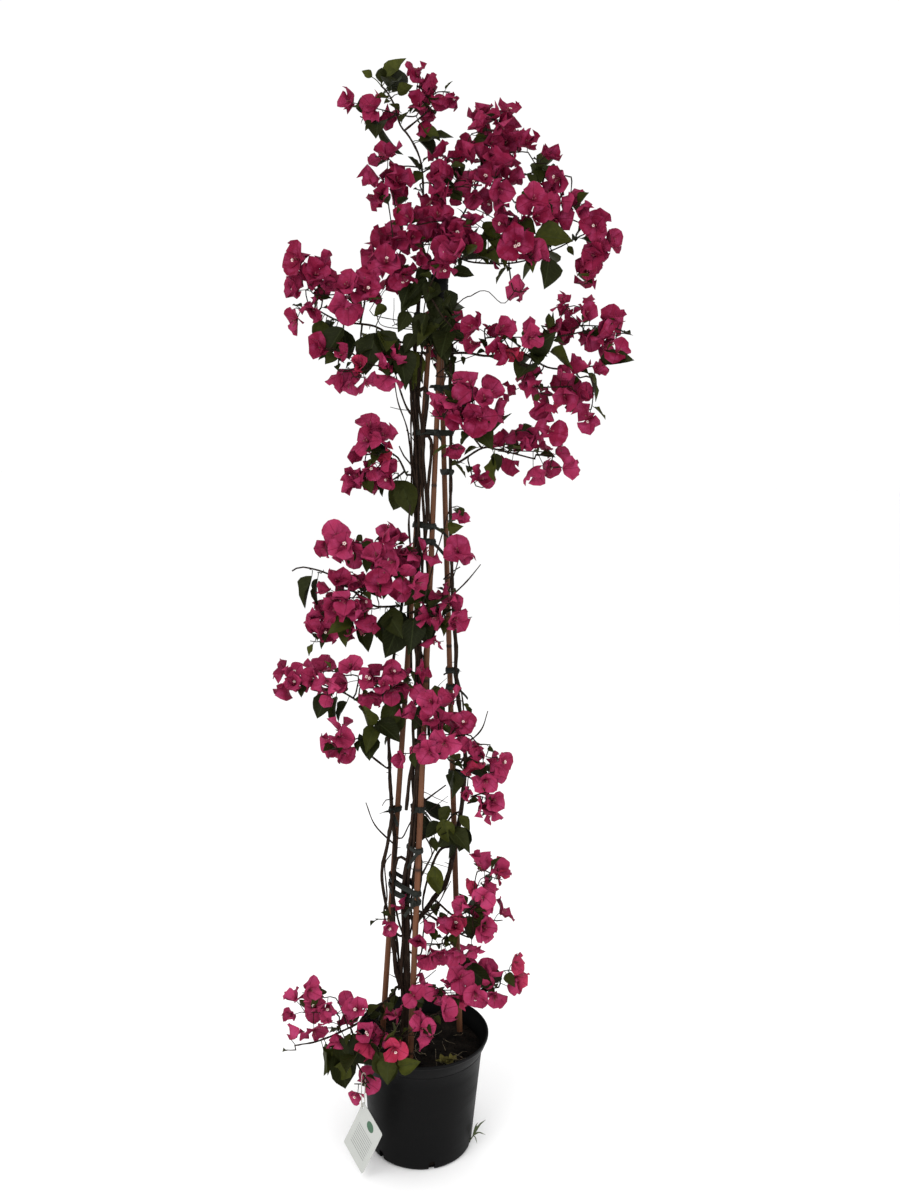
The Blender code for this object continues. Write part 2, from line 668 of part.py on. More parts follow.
def bounding_ball(bm):
    """Return a centre and radius that hold every point of a bmesh."""
    points = [vertex.co for vertex in bm.verts]
    centre = sum(points, Vector()) / len(points)
    return centre, max((point - centre).length for point in points)


def rim_of(bm, outline, normals, over, under):
    """Make a blade's edge: its upper and lower outlines and the wall between them."""
    top = [bm.verts.new(point + normal * over) for point, normal in zip(outline, normals)]
    bottom = [bm.verts.new(point - normal * under) for point, normal in zip(outline, normals)]
    for index in range(len(outline)):
        after = (index + 1) % len(outline)
        bm.faces.new((top[index], bottom[index], bottom[after]))
        bm.faces.new((top[index], bottom[after], top[after]))
    return top, bottom


def fan(bm, ring, middle):
    """Close a ring with triangles to one middle point."""
    for index, corner in enumerate(ring):
        bm.faces.new((middle, corner, ring[(index + 1) % len(ring)]))


def grow_neck(bm, ring, neck, root):
    """Draw a ring in to a three-sided neck and run it down to its root."""
    count = len(ring)
    for index, corner in enumerate(ring):
        after = ring[(index + 1) % count]
        side = 3 * index // count
        next_side = (3 * (index + 1) // count) % 3
        bm.faces.new((neck[side], after, corner))
        if next_side != side:
            bm.faces.new((neck[side], neck[next_side], after))
    for side in range(3):
        next_side = (side + 1) % 3
        bm.faces.new((root[side], root[next_side], neck[next_side], neck[side]))
    bm.faces.new(root[::-1])


def bloom_pose(bunch_number, bloom_number, attempt, cluster, stalk):
    """Draw one bloom of a cluster. The same numbers always give the same bloom."""
    draw = np.random.default_rng((BLOOM_SEED, bunch_number, bloom_number, attempt))
    reach = draw.uniform(0.25, 1.0) ** 0.5
    place = np.array(cluster.centre) + unit(draw.normal(size=3)) * reach * np.array(cluster.spread)
    seat, outward = seat_on((stalk,), TWIG_SIDES, place, draw.uniform(RING_MARGIN, END_MARGIN))
    root = seat - 0.5 * SEAT_DEPTH * (outward + unit(place - seat))
    axis = unit(unit(place - root) + 0.55 * unit(draw.normal(size=3)) + np.array((0.0, -0.55, 0.10)))
    side = unit(np.cross(axis, draw.normal(size=3)))
    lobes = 2 if draw.random() < YOUNG_SHARE else 3
    rise = math.radians(draw.uniform(14.0, 46.0) if lobes == 3 else draw.uniform(38.0, 58.0))
    return Bloom(place, root, axis, side, draw.uniform(*BRACT_LENGTH), rise, lobes)


def bloom_solid(bloom, over=0.0, under=BLADE, lift=0.0):
    """Return a bloom's folded bracts on their pedicel, as one closed solid.

    A lift leaves that much of the pedicel's end off, for testing what the bloom would cross.
    """
    across = np.cross(bloom.axis, bloom.side)
    outline = []
    normals = []
    for lobe in range(bloom.lobes):
        turn = 2 * math.pi * lobe / bloom.lobes
        outward = math.cos(turn) * bloom.side + math.sin(turn) * across
        along = math.cos(bloom.rise) * outward + math.sin(bloom.rise) * bloom.axis
        sideways = np.cross(bloom.axis, outward)
        inward = np.cross(sideways, along) * -1.0
        for length, width, rise in BRACT_SHAPE:
            shift = length * along + width * sideways + rise * inward
            outline.append(bloom.place + bloom.length * shift)
            normals.append(inward)
    bm = bmesh.new()
    top, bottom = rim_of(bm, outline, normals, over, under)
    fan(bm, top, bm.verts.new(bloom.place + bloom.axis * over))
    waist = bloom.place - bloom.axis * NECK_DEPTH
    down = unit(bloom.root - waist)
    foot = bloom.root - lift * down
    neck, root = [], []
    for side in range(3):
        turn = 2 * math.pi * side / 3 - (0.35 if bloom.lobes == 2 else 0.0)
        outward = math.cos(turn) * bloom.side + math.sin(turn) * across
        level = unit(outward - np.dot(outward, down) * down)
        neck.append(bm.verts.new(waist + level * (PEDICEL_RADIUS + over)))
        root.append(bm.verts.new(foot + level * (PEDICEL_RADIUS + over)))
    grow_neck(bm, bottom, neck, root)
    return bm


def leaf_pose(shoot_number, leaf_number, attempt, cluster, twigs):
    """Draw one leaf of a cluster. The same numbers always give the same leaf."""
    draw = np.random.default_rng((LEAF_SEED, shoot_number, leaf_number, attempt))
    aim = np.array(cluster.centre) + unit(draw.normal(size=3)) * draw.random() * np.array(cluster.spread)
    seat, facing = seat_on(twigs, TWIG_SIDES, aim, draw.uniform(RING_MARGIN, END_MARGIN))
    outward = unit(unit(aim - seat) + 0.6 * facing)
    root = seat - outward * SEAT_DEPTH
    base = root + outward * PETIOLE_LENGTH
    along = unit(outward + np.array((0.0, -0.1, -0.45)) + 0.35 * draw.normal(size=3))
    tilt = np.array((0.0, -0.35, 1.0)) + 0.45 * draw.normal(size=3)
    face = unit(tilt - np.dot(tilt, along) * along)
    return Leaf(root, base, along, face, draw.uniform(*LEAF_LENGTH))


def leaf_solid(leaf, over=0.0, under=BLADE, lift=0.0):
    """Return a leaf's folded, waved and pointed blade, with its petiole, as one closed solid.

    A lift leaves that much of the petiole's end off, for testing what the leaf would cross.
    """
    sideways = np.cross(leaf.face, leaf.along)
    half = PETIOLE_HALF + over
    shape = ((0.0, half / leaf.length, 0.0), *LEAF_SHAPE, (0.0, -half / leaf.length, 0.0))
    outline = [leaf.base + leaf.length * (length * leaf.along + width * sideways + rise * leaf.face)
               for length, width, rise in shape]
    middle = leaf.base + leaf.length * (0.42 * leaf.along - 0.03 * leaf.face)
    bm = bmesh.new()
    top = [bm.verts.new(point + leaf.face * over) for point in outline]
    bottom = [bm.verts.new(point - leaf.face * under) for point in outline]
    fan(bm, top, bm.verts.new(middle + leaf.face * over))
    fan(bm, bottom[::-1], bm.verts.new(middle - leaf.face * under))
    for index in range(len(outline) - 1):
        bm.faces.new((top[index], bottom[index], bottom[index + 1]))
        bm.faces.new((top[index], bottom[index + 1], top[index + 1]))
    shift = leaf.root - leaf.base + lift * unit(leaf.base - leaf.root)
    base = (top[-1], top[0], bottom[0], bottom[-1])
    foot = [bm.verts.new(corner.co + Vector(shift)) for corner in base]
    for index in range(4):
        after = (index + 1) % 4
        bm.faces.new((base[index], base[after], foot[after], foot[index]))
    bm.faces.new(foot[::-1])
    return bm


def bunch_stalk(bunch, twigs):
    """Return the stalk that runs from a shoot through the length of each of a bunch's clusters."""
    centres = [np.array(cluster.centre) for cluster in bunch.clusters]
    before = spot_on(twigs, centres[0])
    stops = []
    for centre, cluster, after in zip(centres, bunch.clusters, [*centres[1:], None]):
        lean = np.zeros(3)
        longest = int(np.argmax(cluster.spread))
        lean[longest] = 0.5 * cluster.spread[longest]
        onward = centre - before if after is None else after - centre
        if np.dot(lean, onward) < 0.0:
            lean = -lean
        stops += [centre - lean, centre + lean]
        before = stops[-1]
    return seated_rod(twigs, TWIG_SIDES, stops, STALK_RADIUS, 0.06)


def make_pot(parts, cutters):
    """Turn the pot and cut its drain notches."""
    outer = ((RIM_RADIUS, POT_HEIGHT - 0.0015), (RIM_RADIUS, POT_HEIGHT - 0.0045),
             (RIM_RADIUS - 0.0050, POT_HEIGHT - 0.0170), (NECK_RADIUS, POT_HEIGHT - 0.0280),
             (FOOT_RADIUS + 0.0004, 0.0070), (FOOT_RADIUS - 0.0050, 0.0), (0.0, 0.0))
    inner = ((0.0, POT_FLOOR), (FOOT_RADIUS - 0.0070, POT_FLOOR), (FOOT_RADIUS - POT_WALL, 0.0100),
             (NECK_RADIUS - POT_WALL, POT_HEIGHT - 0.0280), (RIM_RADIUS - 0.0028, POT_HEIGHT))
    pot = turned("pot", inner + outer, POT_STEPS, parts)
    for index in range(NOTCH_COUNT):
        angle = NOTCH_FIRST_ANGLE + 2 * math.pi * index / NOTCH_COUNT
        bpy.ops.mesh.primitive_cube_add(size=1.0)
        cutter = bpy.context.object
        cutter.name = f"notch_{index + 1}"
        cutter.scale = (0.016, NOTCH_WIDTH, NOTCH_HEIGHT)
        cutter.rotation_euler = (0.0, 0.0, angle)
        cutter.location = (FOOT_RADIUS * math.cos(angle), FOOT_RADIUS * math.sin(angle),
                           NOTCH_HEIGHT / 2 - 0.001)
        cutter.users_collection[0].objects.unlink(cutter)
        cutters.objects.link(cutter)
        subtract(pot, cutter)
    return pot


def make_soil(parts, cutters, rods):
    """Turn the soil and leave a plain hole for each thing that stands in it."""
    top_radius = NECK_RADIUS - POT_WALL - FIT_GAP - 0.0002
    profile = ((0.0, SOIL_TOP + 0.004), (0.055, SOIL_TOP + 0.003), (top_radius - 0.004, SOIL_TOP - 0.001),
               (top_radius, SOIL_TOP - 0.004), (FOOT_RADIUS - POT_WALL - 0.0006, 0.0115),
               (FOOT_RADIUS - 0.0076, POT_FLOOR + FIT_GAP), (0.0, POT_FLOOR + FIT_GAP))
    soil = turned("soil", profile, POT_STEPS, parts)
    for name, rod in rods.items():
        below = rod.points[0] - unit(rod.points[1] - rod.points[0]) * FIT_GAP
        wide = Rod(np.array((below, *rod.points[1:])), (rod.radii + FIT_GAP) / math.cos(math.pi / 8))
        subtract(soil, tube("hole_" + name, wide, 2, cutters))
    return soil


def cane_rod(name):
    """Return a cane's axis from its foot in the soil to its head in the cap."""
    foot = np.array((*CANE_FEET[name], SOIL_TOP))
    head = np.array((*CANE_HEADS[name], CANE_HEAD_Z))
    down = (foot - head) / (CANE_HEAD_Z - SOIL_TOP)
    return Rod(np.array((foot + down * CANE_DEPTH, head)), np.array((CANE_FOOT_RADIUS, CANE_HEAD_RADIUS)))


def make_cane(name, rod, first_ring, parts):
    """Turn a bamboo cane with a raised ring at each joint, and lean it."""
    run = Vector(rod.points[1] - rod.points[0])
    heights = np.arange(first_ring, run.length - 0.05, CANE_RING_SPACING)
    profile = [(0.0, run.length), (CANE_HEAD_RADIUS * 0.9, run.length)]
    for height in reversed(heights):
        radius = CANE_FOOT_RADIUS + (CANE_HEAD_RADIUS - CANE_FOOT_RADIUS) * height / run.length
        profile += [(radius * 0.93, height + 0.006), (radius, height), (radius * 0.93, height - 0.006)]
    profile += [(CANE_FOOT_RADIUS * 0.93, 0.0), (0.0, 0.0)]
    cane = turned(name, profile, CANE_SIDES, parts)
    cane.location = Vector(rod.points[0])
    cane.rotation_euler = run.to_track_quat("Z", "Y").to_euler()
    return cane


def make_cap(parts, cutters, canes):
    """Turn the cap and leave a blind hole for each cane."""
    profile = ((0.0, CAP_TOP_Z), (CAP_RADIUS - 0.003, CAP_TOP_Z), (CAP_RADIUS, CAP_TOP_Z - 0.003),
               (CAP_RADIUS - 0.0012, CAP_BOTTOM_Z), (0.0, CAP_BOTTOM_Z))
    cap = turned("cane_cap", profile, 12, parts)
    cap.location = (*CAP_CENTRE, 0.0)
    for name, rod in canes.items():
        over = unit(rod.points[1] - rod.points[0]) * FIT_GAP
        wide = Rod(np.array((rod.points[0], rod.points[1] + over)),
                   (rod.radii + FIT_GAP) / math.cos(math.pi / 8))
        subtract(cap, tube("socket_" + name, wide, 2, cutters))
    return cap


def hull_outline(circles, sides):
    """Return the convex outline, anticlockwise, of some circles (x, y, radius)."""
    points = []
    for x, y, radius in circles:
        for turn in np.arange(sides) * 2 * math.pi / sides:
            points.append((x + radius * math.cos(turn), y + radius * math.sin(turn)))
    points.sort()
    outline = []
    for row in (points, points[::-1]):
        chain = []
        for point in row:
            while len(chain) > 1 and cross(chain[-2], chain[-1], point) <= 1e-9:
                chain.pop()
            chain.append(point)
        outline += chain[:-1]
    return outline


def cross(first, second, third):
    """Return the turn from one flat point over a second to a third."""
    return ((second[0] - first[0]) * (third[1] - first[1])
            - (second[1] - first[1]) * (third[0] - first[0]))


def make_tie(tie, rods, parts):
    """Loop a band of tape round some canes and stems."""
    circles = [(*rod_at(rods[name], tie.height)[0][:2], rod_at(rods[name], tie.height)[1])
               for name in tie.holds]
    inner = hull_outline([(x, y, (radius + 0.0008) / math.cos(math.pi / 8)) for x, y, radius in circles], 8)
    mesh = bpy.data.meshes.new(tie.name)
    half = TIE_WIDTH / 2
    count = len(inner)
    mesh.from_pydata([(x, y, tie.height + z) for z in (-half, half) for x, y in inner], [],
                     [(i, (i + 1) % count, count + (i + 1) % count, count + i) for i in range(count)])
    band = make_object(tie.name, mesh, parts)
    shell = band.modifiers.new("tape", "SOLIDIFY")
    shell.thickness = TIE_THICKNESS
    shell.offset = 1.0
    shell.use_even_offset = True
    return band


def move_to(item, collection):
    """Move an object that bpy.ops has just made to a collection."""
    item.users_collection[0].objects.unlink(item)
    collection.objects.link(item)


def make_tag(parts, cutters):
    """Cut the label card, hung from its upper corner, and return it with the middle of its hole."""
    width, height = TAG_SIZE
    bpy.ops.mesh.primitive_cube_add(size=1.0)
    card = bpy.context.object
    card.name = "tag_card"
    card.data.transform(Matrix.Diagonal((width, TAG_THICKNESS, height, 1.0)))
    card.data.transform(Matrix.Translation((width / 2, 0.0, -height / 2)))
    card.rotation_euler = (0.0, TAG_TILT, TAG_YAW)
    card.location = TAG_CORNER
    move_to(card, parts)
    bpy.ops.mesh.primitive_cylinder_add(vertices=10, radius=TAG_HOLE_RADIUS, depth=0.01)
    cutter = bpy.context.object
    cutter.name = "tag_hole"
    cutter.parent = card
    cutter.rotation_euler = (math.pi / 2, 0.0, 0.0)
    cutter.location = (TAG_HOLE[0], 0.0, TAG_HOLE[1])
    move_to(cutter, cutters)
    subtract(card, cutter)
    bpy.context.view_layer.update()
    return card, cutter.matrix_world.translation.copy()


def make_loop(parts, hole):
    """Bend the cord loop through the card's hole and over the twig above it."""
    outward = np.array((math.sin(TAG_YAW), -math.cos(TAG_YAW), 0.0))
    low = hole.z + TAG_HOLE_RADIUS - LOOP_WIRE - FIT_GAP
    side = ((0.0019, low + 0.0004), (0.0034, low + 0.0026), (0.0037, LOOP_TWIG_Z),
            (0.0027, LOOP_TWIG_Z + 0.0029))
    route = [(0.0, low), *side, (0.0, LOOP_TWIG_Z + 0.0040),
             *[(-out, height) for out, height in side[::-1]]]
    points = [np.array((hole.x, hole.y, height)) + outward * out for out, height in route]
    return tube("tag_loop", Rod(np.array(points), np.full(len(points), LOOP_WIRE)), 0, parts, closed=True)


def make_sprig(parts):
    """Grow the small weed that leans out of one drain notch."""
    angle = NOTCH_FIRST_ANGLE + 2 * math.pi / NOTCH_COUNT
    outward = np.array((math.cos(angle), math.sin(angle), 0.0))
    upward = np.array((0.0, 0.0, 1.0))
    root = outward * (FOOT_RADIUS - POT_WALL + FIT_GAP) + upward * 0.012
    fork = outward * 0.102 + upward * 0.026
    rods = [smooth_rod((root, outward * 0.096 + upward * 0.016, fork, outward * 0.120 + upward * 0.052),
                       0.0010, 0.0007, 0.03)]
    for reach, rise, swing in ((0.122, 0.024, -0.006), (0.108, 0.040, 0.012)):
        sideways = np.cross(upward, outward) * swing
        rods.append(smooth_rod((fork, outward * reach + upward * rise + sideways), 0.0009, 0.0007, 0.03))
    pieces = [tube("sprig_blade", rod, 0, parts) for rod in rods]
    return fuse("weed_sprig", pieces, parts)


def stem_rods():
    """Return the trunk and the two side stems, each rooted in the trunk's axis."""
    trunk = smooth_rod(TRUNK, 0.0075, 0.0034, 0.08)
    left = smooth_rod((spot_on((trunk,), np.array(LEFT_STEM[0])), *LEFT_STEM), 0.0042, 0.0024, 0.09)
    right = smooth_rod((spot_on((trunk,), np.array(RIGHT_STEM[0])), *RIGHT_STEM), 0.0045, 0.0026, 0.09)
    return {"trunk": trunk, "left": left, "right": right}


def shoot_rods(shoot, stems):
    """Return a shoot's twigs: the first is seated on the stems, the rest grow from the twigs before."""
    rods = [seated_rod(stems, STEM_SIDES, shoot.paths[0], TWIG_RADIUS, 0.08)]
    for path in shoot.paths[1:]:
        first = spot_on(rods, np.array(path[0]))
        rods.append(smooth_rod((first, *path), TWIG_TIP_RADIUS, TWIG_TIP_RADIUS, 0.08))
    return rods


def grow_blooms(bunch_number, bunch, stalk, space):
    """Return the blooms of a bunch, with their pedicels, that fit where nothing else is."""
    grown = []
    bloom_number = 0
    for cluster in bunch.clusters:
        for _ in range(cluster.count):
            bloom_number += 1
            for attempt in range(BLOOM_TRIES):
                bloom = bloom_pose(bunch_number, bloom_number, attempt, cluster, stalk)
                trial = bloom_solid(bloom, CLEARANCE, BLADE + CLEARANCE, TRIAL_LIFT)
                free = space.is_free(trial)
                trial.free()
                if free:
                    grown.append(bloom_solid(bloom))
                    space.add(grown[-1])
                    break
    return grown


def grow_leaves(shoot_number, shoot, twigs, space):
    """Return the leaves of a shoot, with their petioles, that fit where nothing else is."""
    grown = []
    leaf_number = 0
    for cluster in shoot.leaves:
        for _ in range(cluster.count):
            leaf_number += 1
            for attempt in range(LEAF_TRIES):
                leaf = leaf_pose(shoot_number, leaf_number, attempt, cluster, twigs)
                trial = leaf_solid(leaf, CLEARANCE, BLADE + CLEARANCE, TRIAL_LIFT)
                free = space.is_free(trial)
                trial.free()
                if free:
                    grown.append(leaf_solid(leaf))
                    space.add(grown[-1])
                    break
    return grown


def fuse_growth(name, pieces, grown, material, parts):
    """Fuse a node's tubes with what has grown on them."""
    for bm in grown:
        pieces.append(make_object("growth", mesh_from(bm, "growth"), parts))
    return finish(fuse(name, pieces, parts), material)


def main():
    """Build every node of the potted plant."""
    clear_scene()
    parts = make_collection(PARTS)
    cutters = make_collection(CUTTERS)
    plastic = make_material("black_plastic", (0.012, 0.012, 0.012), 0.45)
    earth = make_material("soil", (0.020, 0.014, 0.009), 0.95)
    bamboo = make_material("bamboo", (0.20, 0.095, 0.040), 0.55)
    bark = make_material("bark", (0.055, 0.030, 0.020), 0.80)
    tape = make_material("tie_tape", (0.022, 0.035, 0.024), 0.60)
    foliage = make_material("leaf", (0.030, 0.060, 0.010), 0.50)
    petals = make_material("bract", (0.42, 0.020, 0.130), 0.55)
    card_stock = make_material("card", (0.60, 0.60, 0.57), 0.50)

    canes = {name: cane_rod(name) for name in CANE_FEET}
    stems = stem_rods()
    rods = {**canes, **stems}
    standing = {**canes, "trunk": stems["trunk"]}
    space = Space()
    fixed = [finish(make_pot(parts, cutters), plastic), finish(make_soil(parts, cutters, standing), earth),
             finish(make_cap(parts, cutters, canes), plastic)]
    for index, (name, rod) in enumerate(canes.items()):
        fixed.append(finish(make_cane(name, rod, 0.09 + 0.05 * index, parts), bamboo))
    stem_tubes = [sweep("stem", rod, STEM_SIDES, parts) for rod in stems.values()]
    fixed.append(finish(fuse("woody_stems", stem_tubes, parts), bark))
    fixed += [finish(make_tie(tie, rods, parts), tape) for tie in TIES]
    card, hole = make_tag(parts, cutters)
    fixed += [finish(card, card_stock), finish(make_loop(parts, hole), card_stock)]
    fixed.append(finish(make_sprig(parts), foliage))
    bpy.context.view_layer.update()
    for item in fixed:
        space.add_object(item)

    twigs = {shoot.name: shoot_rods(shoot, stems.values()) for shoot in SHOOTS}
    shoot_tubes = {}
    for shoot in SHOOTS:
        shoot_tubes[shoot.name] = [sweep("twig", rod, TWIG_SIDES, parts) for rod in twigs[shoot.name]]
        for item in shoot_tubes[shoot.name]:
            space.add_object(item)
    stalks = {bunch.name: bunch_stalk(bunch, twigs[bunch.shoot]) for bunch in BUNCHES}
    stalk_tubes = {}
    for bunch in BUNCHES:
        stalk_tubes[bunch.name] = sweep("stalk", stalks[bunch.name], TWIG_SIDES, parts)
        space.add_object(stalk_tubes[bunch.name])
    for number, bunch in enumerate(BUNCHES):
        grown = grow_blooms(number, bunch, stalks[bunch.name], space)
        fuse_growth(bunch.name, [stalk_tubes[bunch.name]], grown, petals, parts)
    for number, shoot in enumerate(SHOOTS):
        grown = grow_leaves(number, shoot, twigs[shoot.name], space)
        fuse_growth(shoot.name, shoot_tubes[shoot.name], grown, foliage, parts)


if __name__ == "__main__":
    main()
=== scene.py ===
"""Looks of a lesser bougainvillea on three bamboo canes, in a black nursery pot.

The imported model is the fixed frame. The growth rules of the plant are drawn here again, with the
same seeds, so that each fine leaf and bloom takes the place, size and turn of the solid one that
the frame holds. Metres, +Z up; the photographed front faces -Y.
"""

import json
import logging
import math
from dataclasses import dataclass, field, replace
from enum import Enum
from functools import cached_property, partial
from typing import Any, Callable, Iterable, Sequence

import bmesh
import bpy
import numpy as np
from mathutils import Matrix, Vector, noise
from mathutils.bvhtree import BVHTree

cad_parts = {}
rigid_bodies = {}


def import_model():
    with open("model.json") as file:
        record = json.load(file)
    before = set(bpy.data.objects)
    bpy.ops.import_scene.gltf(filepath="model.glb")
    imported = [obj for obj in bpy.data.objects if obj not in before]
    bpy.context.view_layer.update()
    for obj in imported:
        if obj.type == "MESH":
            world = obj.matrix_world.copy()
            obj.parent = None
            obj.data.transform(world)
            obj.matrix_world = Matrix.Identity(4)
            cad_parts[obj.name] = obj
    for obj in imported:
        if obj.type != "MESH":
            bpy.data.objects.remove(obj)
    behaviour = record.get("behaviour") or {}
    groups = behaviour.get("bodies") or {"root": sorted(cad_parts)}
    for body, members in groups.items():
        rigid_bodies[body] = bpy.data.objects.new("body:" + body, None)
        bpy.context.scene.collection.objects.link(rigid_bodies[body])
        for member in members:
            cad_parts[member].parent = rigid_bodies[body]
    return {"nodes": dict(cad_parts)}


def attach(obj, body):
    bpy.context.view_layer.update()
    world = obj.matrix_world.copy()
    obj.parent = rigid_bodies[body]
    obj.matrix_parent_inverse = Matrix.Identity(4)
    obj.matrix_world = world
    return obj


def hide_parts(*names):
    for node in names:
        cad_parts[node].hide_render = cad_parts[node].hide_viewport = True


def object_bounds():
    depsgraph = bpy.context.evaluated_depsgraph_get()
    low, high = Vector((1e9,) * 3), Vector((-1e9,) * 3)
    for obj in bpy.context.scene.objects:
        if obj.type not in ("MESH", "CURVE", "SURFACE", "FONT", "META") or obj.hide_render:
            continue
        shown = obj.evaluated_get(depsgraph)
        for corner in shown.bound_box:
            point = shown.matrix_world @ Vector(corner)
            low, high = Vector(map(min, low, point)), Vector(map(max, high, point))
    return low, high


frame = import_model()
CAD_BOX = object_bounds()

LOG = logging.getLogger("bougainvillea")
BODY = "root"

Triple = tuple[float, float, float]
Colour = tuple[float, float, float]
Socket = bpy.types.NodeSocket

# Camera that the photograph was fitted with
IMAGE_SIZE = (900, 1200)
FOCAL_PIXELS = 1000.0
CAMERA_PLACE = (0.032, -1.704, 1.230)
CAMERA_PITCH = math.radians(7.62)
CAMERA_ROLL = math.radians(1.31)
SENSOR_MM = 36.0

# Pot and soil
POT_HEIGHT = 0.213
RIM_RADIUS = 0.120
NECK_RADIUS = 0.109
FOOT_RADIUS = 0.094
POT_WALL = 0.0020
POT_FLOOR = 0.0030
NOTCH_COUNT = 6
NOTCH_FIRST_ANGLE = math.radians(-76.0)
SOIL_TOP = 0.184

# Canes and cap
CANE_FEET = {"cane_left": (-0.075, 0.030), "cane_front": (-0.020, -0.070), "cane_right": (0.0685, 0.040)}
CANE_HEADS = {"cane_left": (-0.008, -0.003), "cane_front": (0.008, -0.007), "cane_right": (0.002, 0.011)}
CANE_HEAD_Z = 1.530
CANE_DEPTH = 0.115
CANE_FOOT_RADIUS = 0.0060
CANE_HEAD_RADIUS = 0.0046
CANE_RING_SPACING = 0.33
CAP_RADIUS = 0.0170
CAP_BOTTOM_Z = 1.484
CAP_TOP_Z = 1.542
CAP_CENTRE = (0.0007, 0.0003)

# Growth rules, as in the source of the solids
STEM_SIDES = 6
TWIG_SIDES = 3
TWIG_RADIUS = 0.0026
TWIG_TIP_RADIUS = 0.0021
STALK_RADIUS = 0.0019
SEAT_GAP = 0.0005
SEAT_DEPTH = 0.0008
RING_MARGIN = 0.0016
END_MARGIN = 0.016
BLOOM_SEED = 41
LEAF_SEED = 17
BLOOM_TRIES = 60
LEAF_TRIES = 40
BRACT_LENGTH = (0.026, 0.034)
BRACT_TIP_DROP = 0.04
LEAF_LENGTH = (0.042, 0.062)
LEAF_TIP_DROP = 0.10
PETIOLE_LENGTH = 0.012
YOUNG_SHARE = 0.38
MATCH = 0.0003
SPRAY_SPREAD = (0.020, 0.016, 0.020)
SPRAY_GAP = 0.017
SPRAY_SEED = 211

# Ties
TIE_WIDTH = 0.011
TIE_THICKNESS = 0.0012

# Label
TAG_SIZE = (0.064, 0.122)
TAG_THICKNESS = 0.0008
TAG_CORNER = (-0.097, -0.122, 0.150)
TAG_TILT = math.radians(28.0)
TAG_YAW = math.radians(-50.0)
TAG_HOLE = (0.0055, -0.0105)
TAG_HOLE_RADIUS = 0.0028
LOOP_WIRE = 0.0007
LOOP_TWIG_Z = 0.198


class Slot(Enum):
    """The record's material slots."""

    PLASTIC = "black_plastic"
    SOIL = "soil"
    BAMBOO = "bamboo"
    BARK = "bark"
    TAPE = "tie_tape"
    LEAF = "leaf"
    BRACT = "bract"
    CARD = "card"


@dataclass(frozen=True)
class Cluster:
    """A place on the plant that holds a number of leaves or blooms."""

    centre: Triple
    spread: Triple
    count: int


@dataclass(frozen=True)
class Shoot:
    """A leafy shoot: its paths, thick end first, and where its leaves are."""

    name: str
    paths: tuple[tuple[Triple, ...], ...]
    leaves: tuple[Cluster, ...]


@dataclass(frozen=True)
class Bunch:
    """A stalk of blooms that grows from a shoot."""

    name: str
    shoot: str
    clusters: tuple[Cluster, ...]


@dataclass(frozen=True)
class Tie:
    """A band of tape round some canes and stems at one height."""

    name: str
    height: float
    holds: tuple[str, ...]
    tails: int = 2


TRUNK = ((-31, 4, 120), (-30, 0, 209), (-29, -4, 267), (-34, -10, 420), (-33, -18, 514), (-22, -40, 600),
    (-17, -35, 700), (-14, -26, 825), (-21, -20, 966), (-27, -10, 1138), (-31, -9, 1289), (-36, -8, 1371),
    (-34, -10, 1453), (-30, -10, 1500))
LEFT_STEM = ((-40, -12, 300), (-52, -13, 349), (-57, -12, 453), (-56, 1, 555), (-63, 9, 620), (-68, 4, 710),
    (-70, 0, 800), (-63, 0, 898), (-50, -4, 1000), (-46, -6, 1090))
RIGHT_STEM = ((-9, -10, 432), (15, 2, 462), (35, 12, 485), (51, 16, 554), (60, 17, 619), (66, 16, 710),
    (56, 14, 791), (46, 13, 860), (44, 12, 920), (37, 7, 1002), (31, 2, 1105), (29, -2, 1173), (27, -6, 1274),
    (24, -13, 1360), (26, -18, 1430))
TIES = (
    Tie("tie_low", 0.497, ("cane_left", "cane_front", "trunk", "left")),
    Tie("tie_front", 0.645, ("cane_front", "trunk")),
    Tie("tie_left", 0.622, ("cane_left", "left")),
    Tie("tie_right", 0.875, ("cane_right", "right")),
    Tie("tie_middle", 1.130, ("cane_left", "cane_front", "trunk")),
    Tie("tie_high", 1.285, ("cane_left", "cane_front", "cane_right", "trunk", "right")),
)

# Ties that the frame has no node for
MORE_TIES = (
    Tie("tie_under_cap", 1.474, ("cane_left", "trunk"), 1),
    Tie("tie_upper_right", 1.358, ("cane_front", "right"), 2),
    Tie("tie_right_stem", 1.220, ("cane_right", "right"), 1),
    Tie("tie_below_middle", 1.104, ("cane_front", "trunk"), 2),
    Tie("tie_right_low", 0.845, ("cane_right", "right"), 2),
    Tie("tie_right_tail", 0.688, ("cane_right", "right"), 3),
    Tie("tie_front_low", 0.572, ("cane_front", "trunk"), 1),
    Tie("tie_low_second", 0.481, ("cane_left", "cane_front", "trunk", "left"), 1),
)

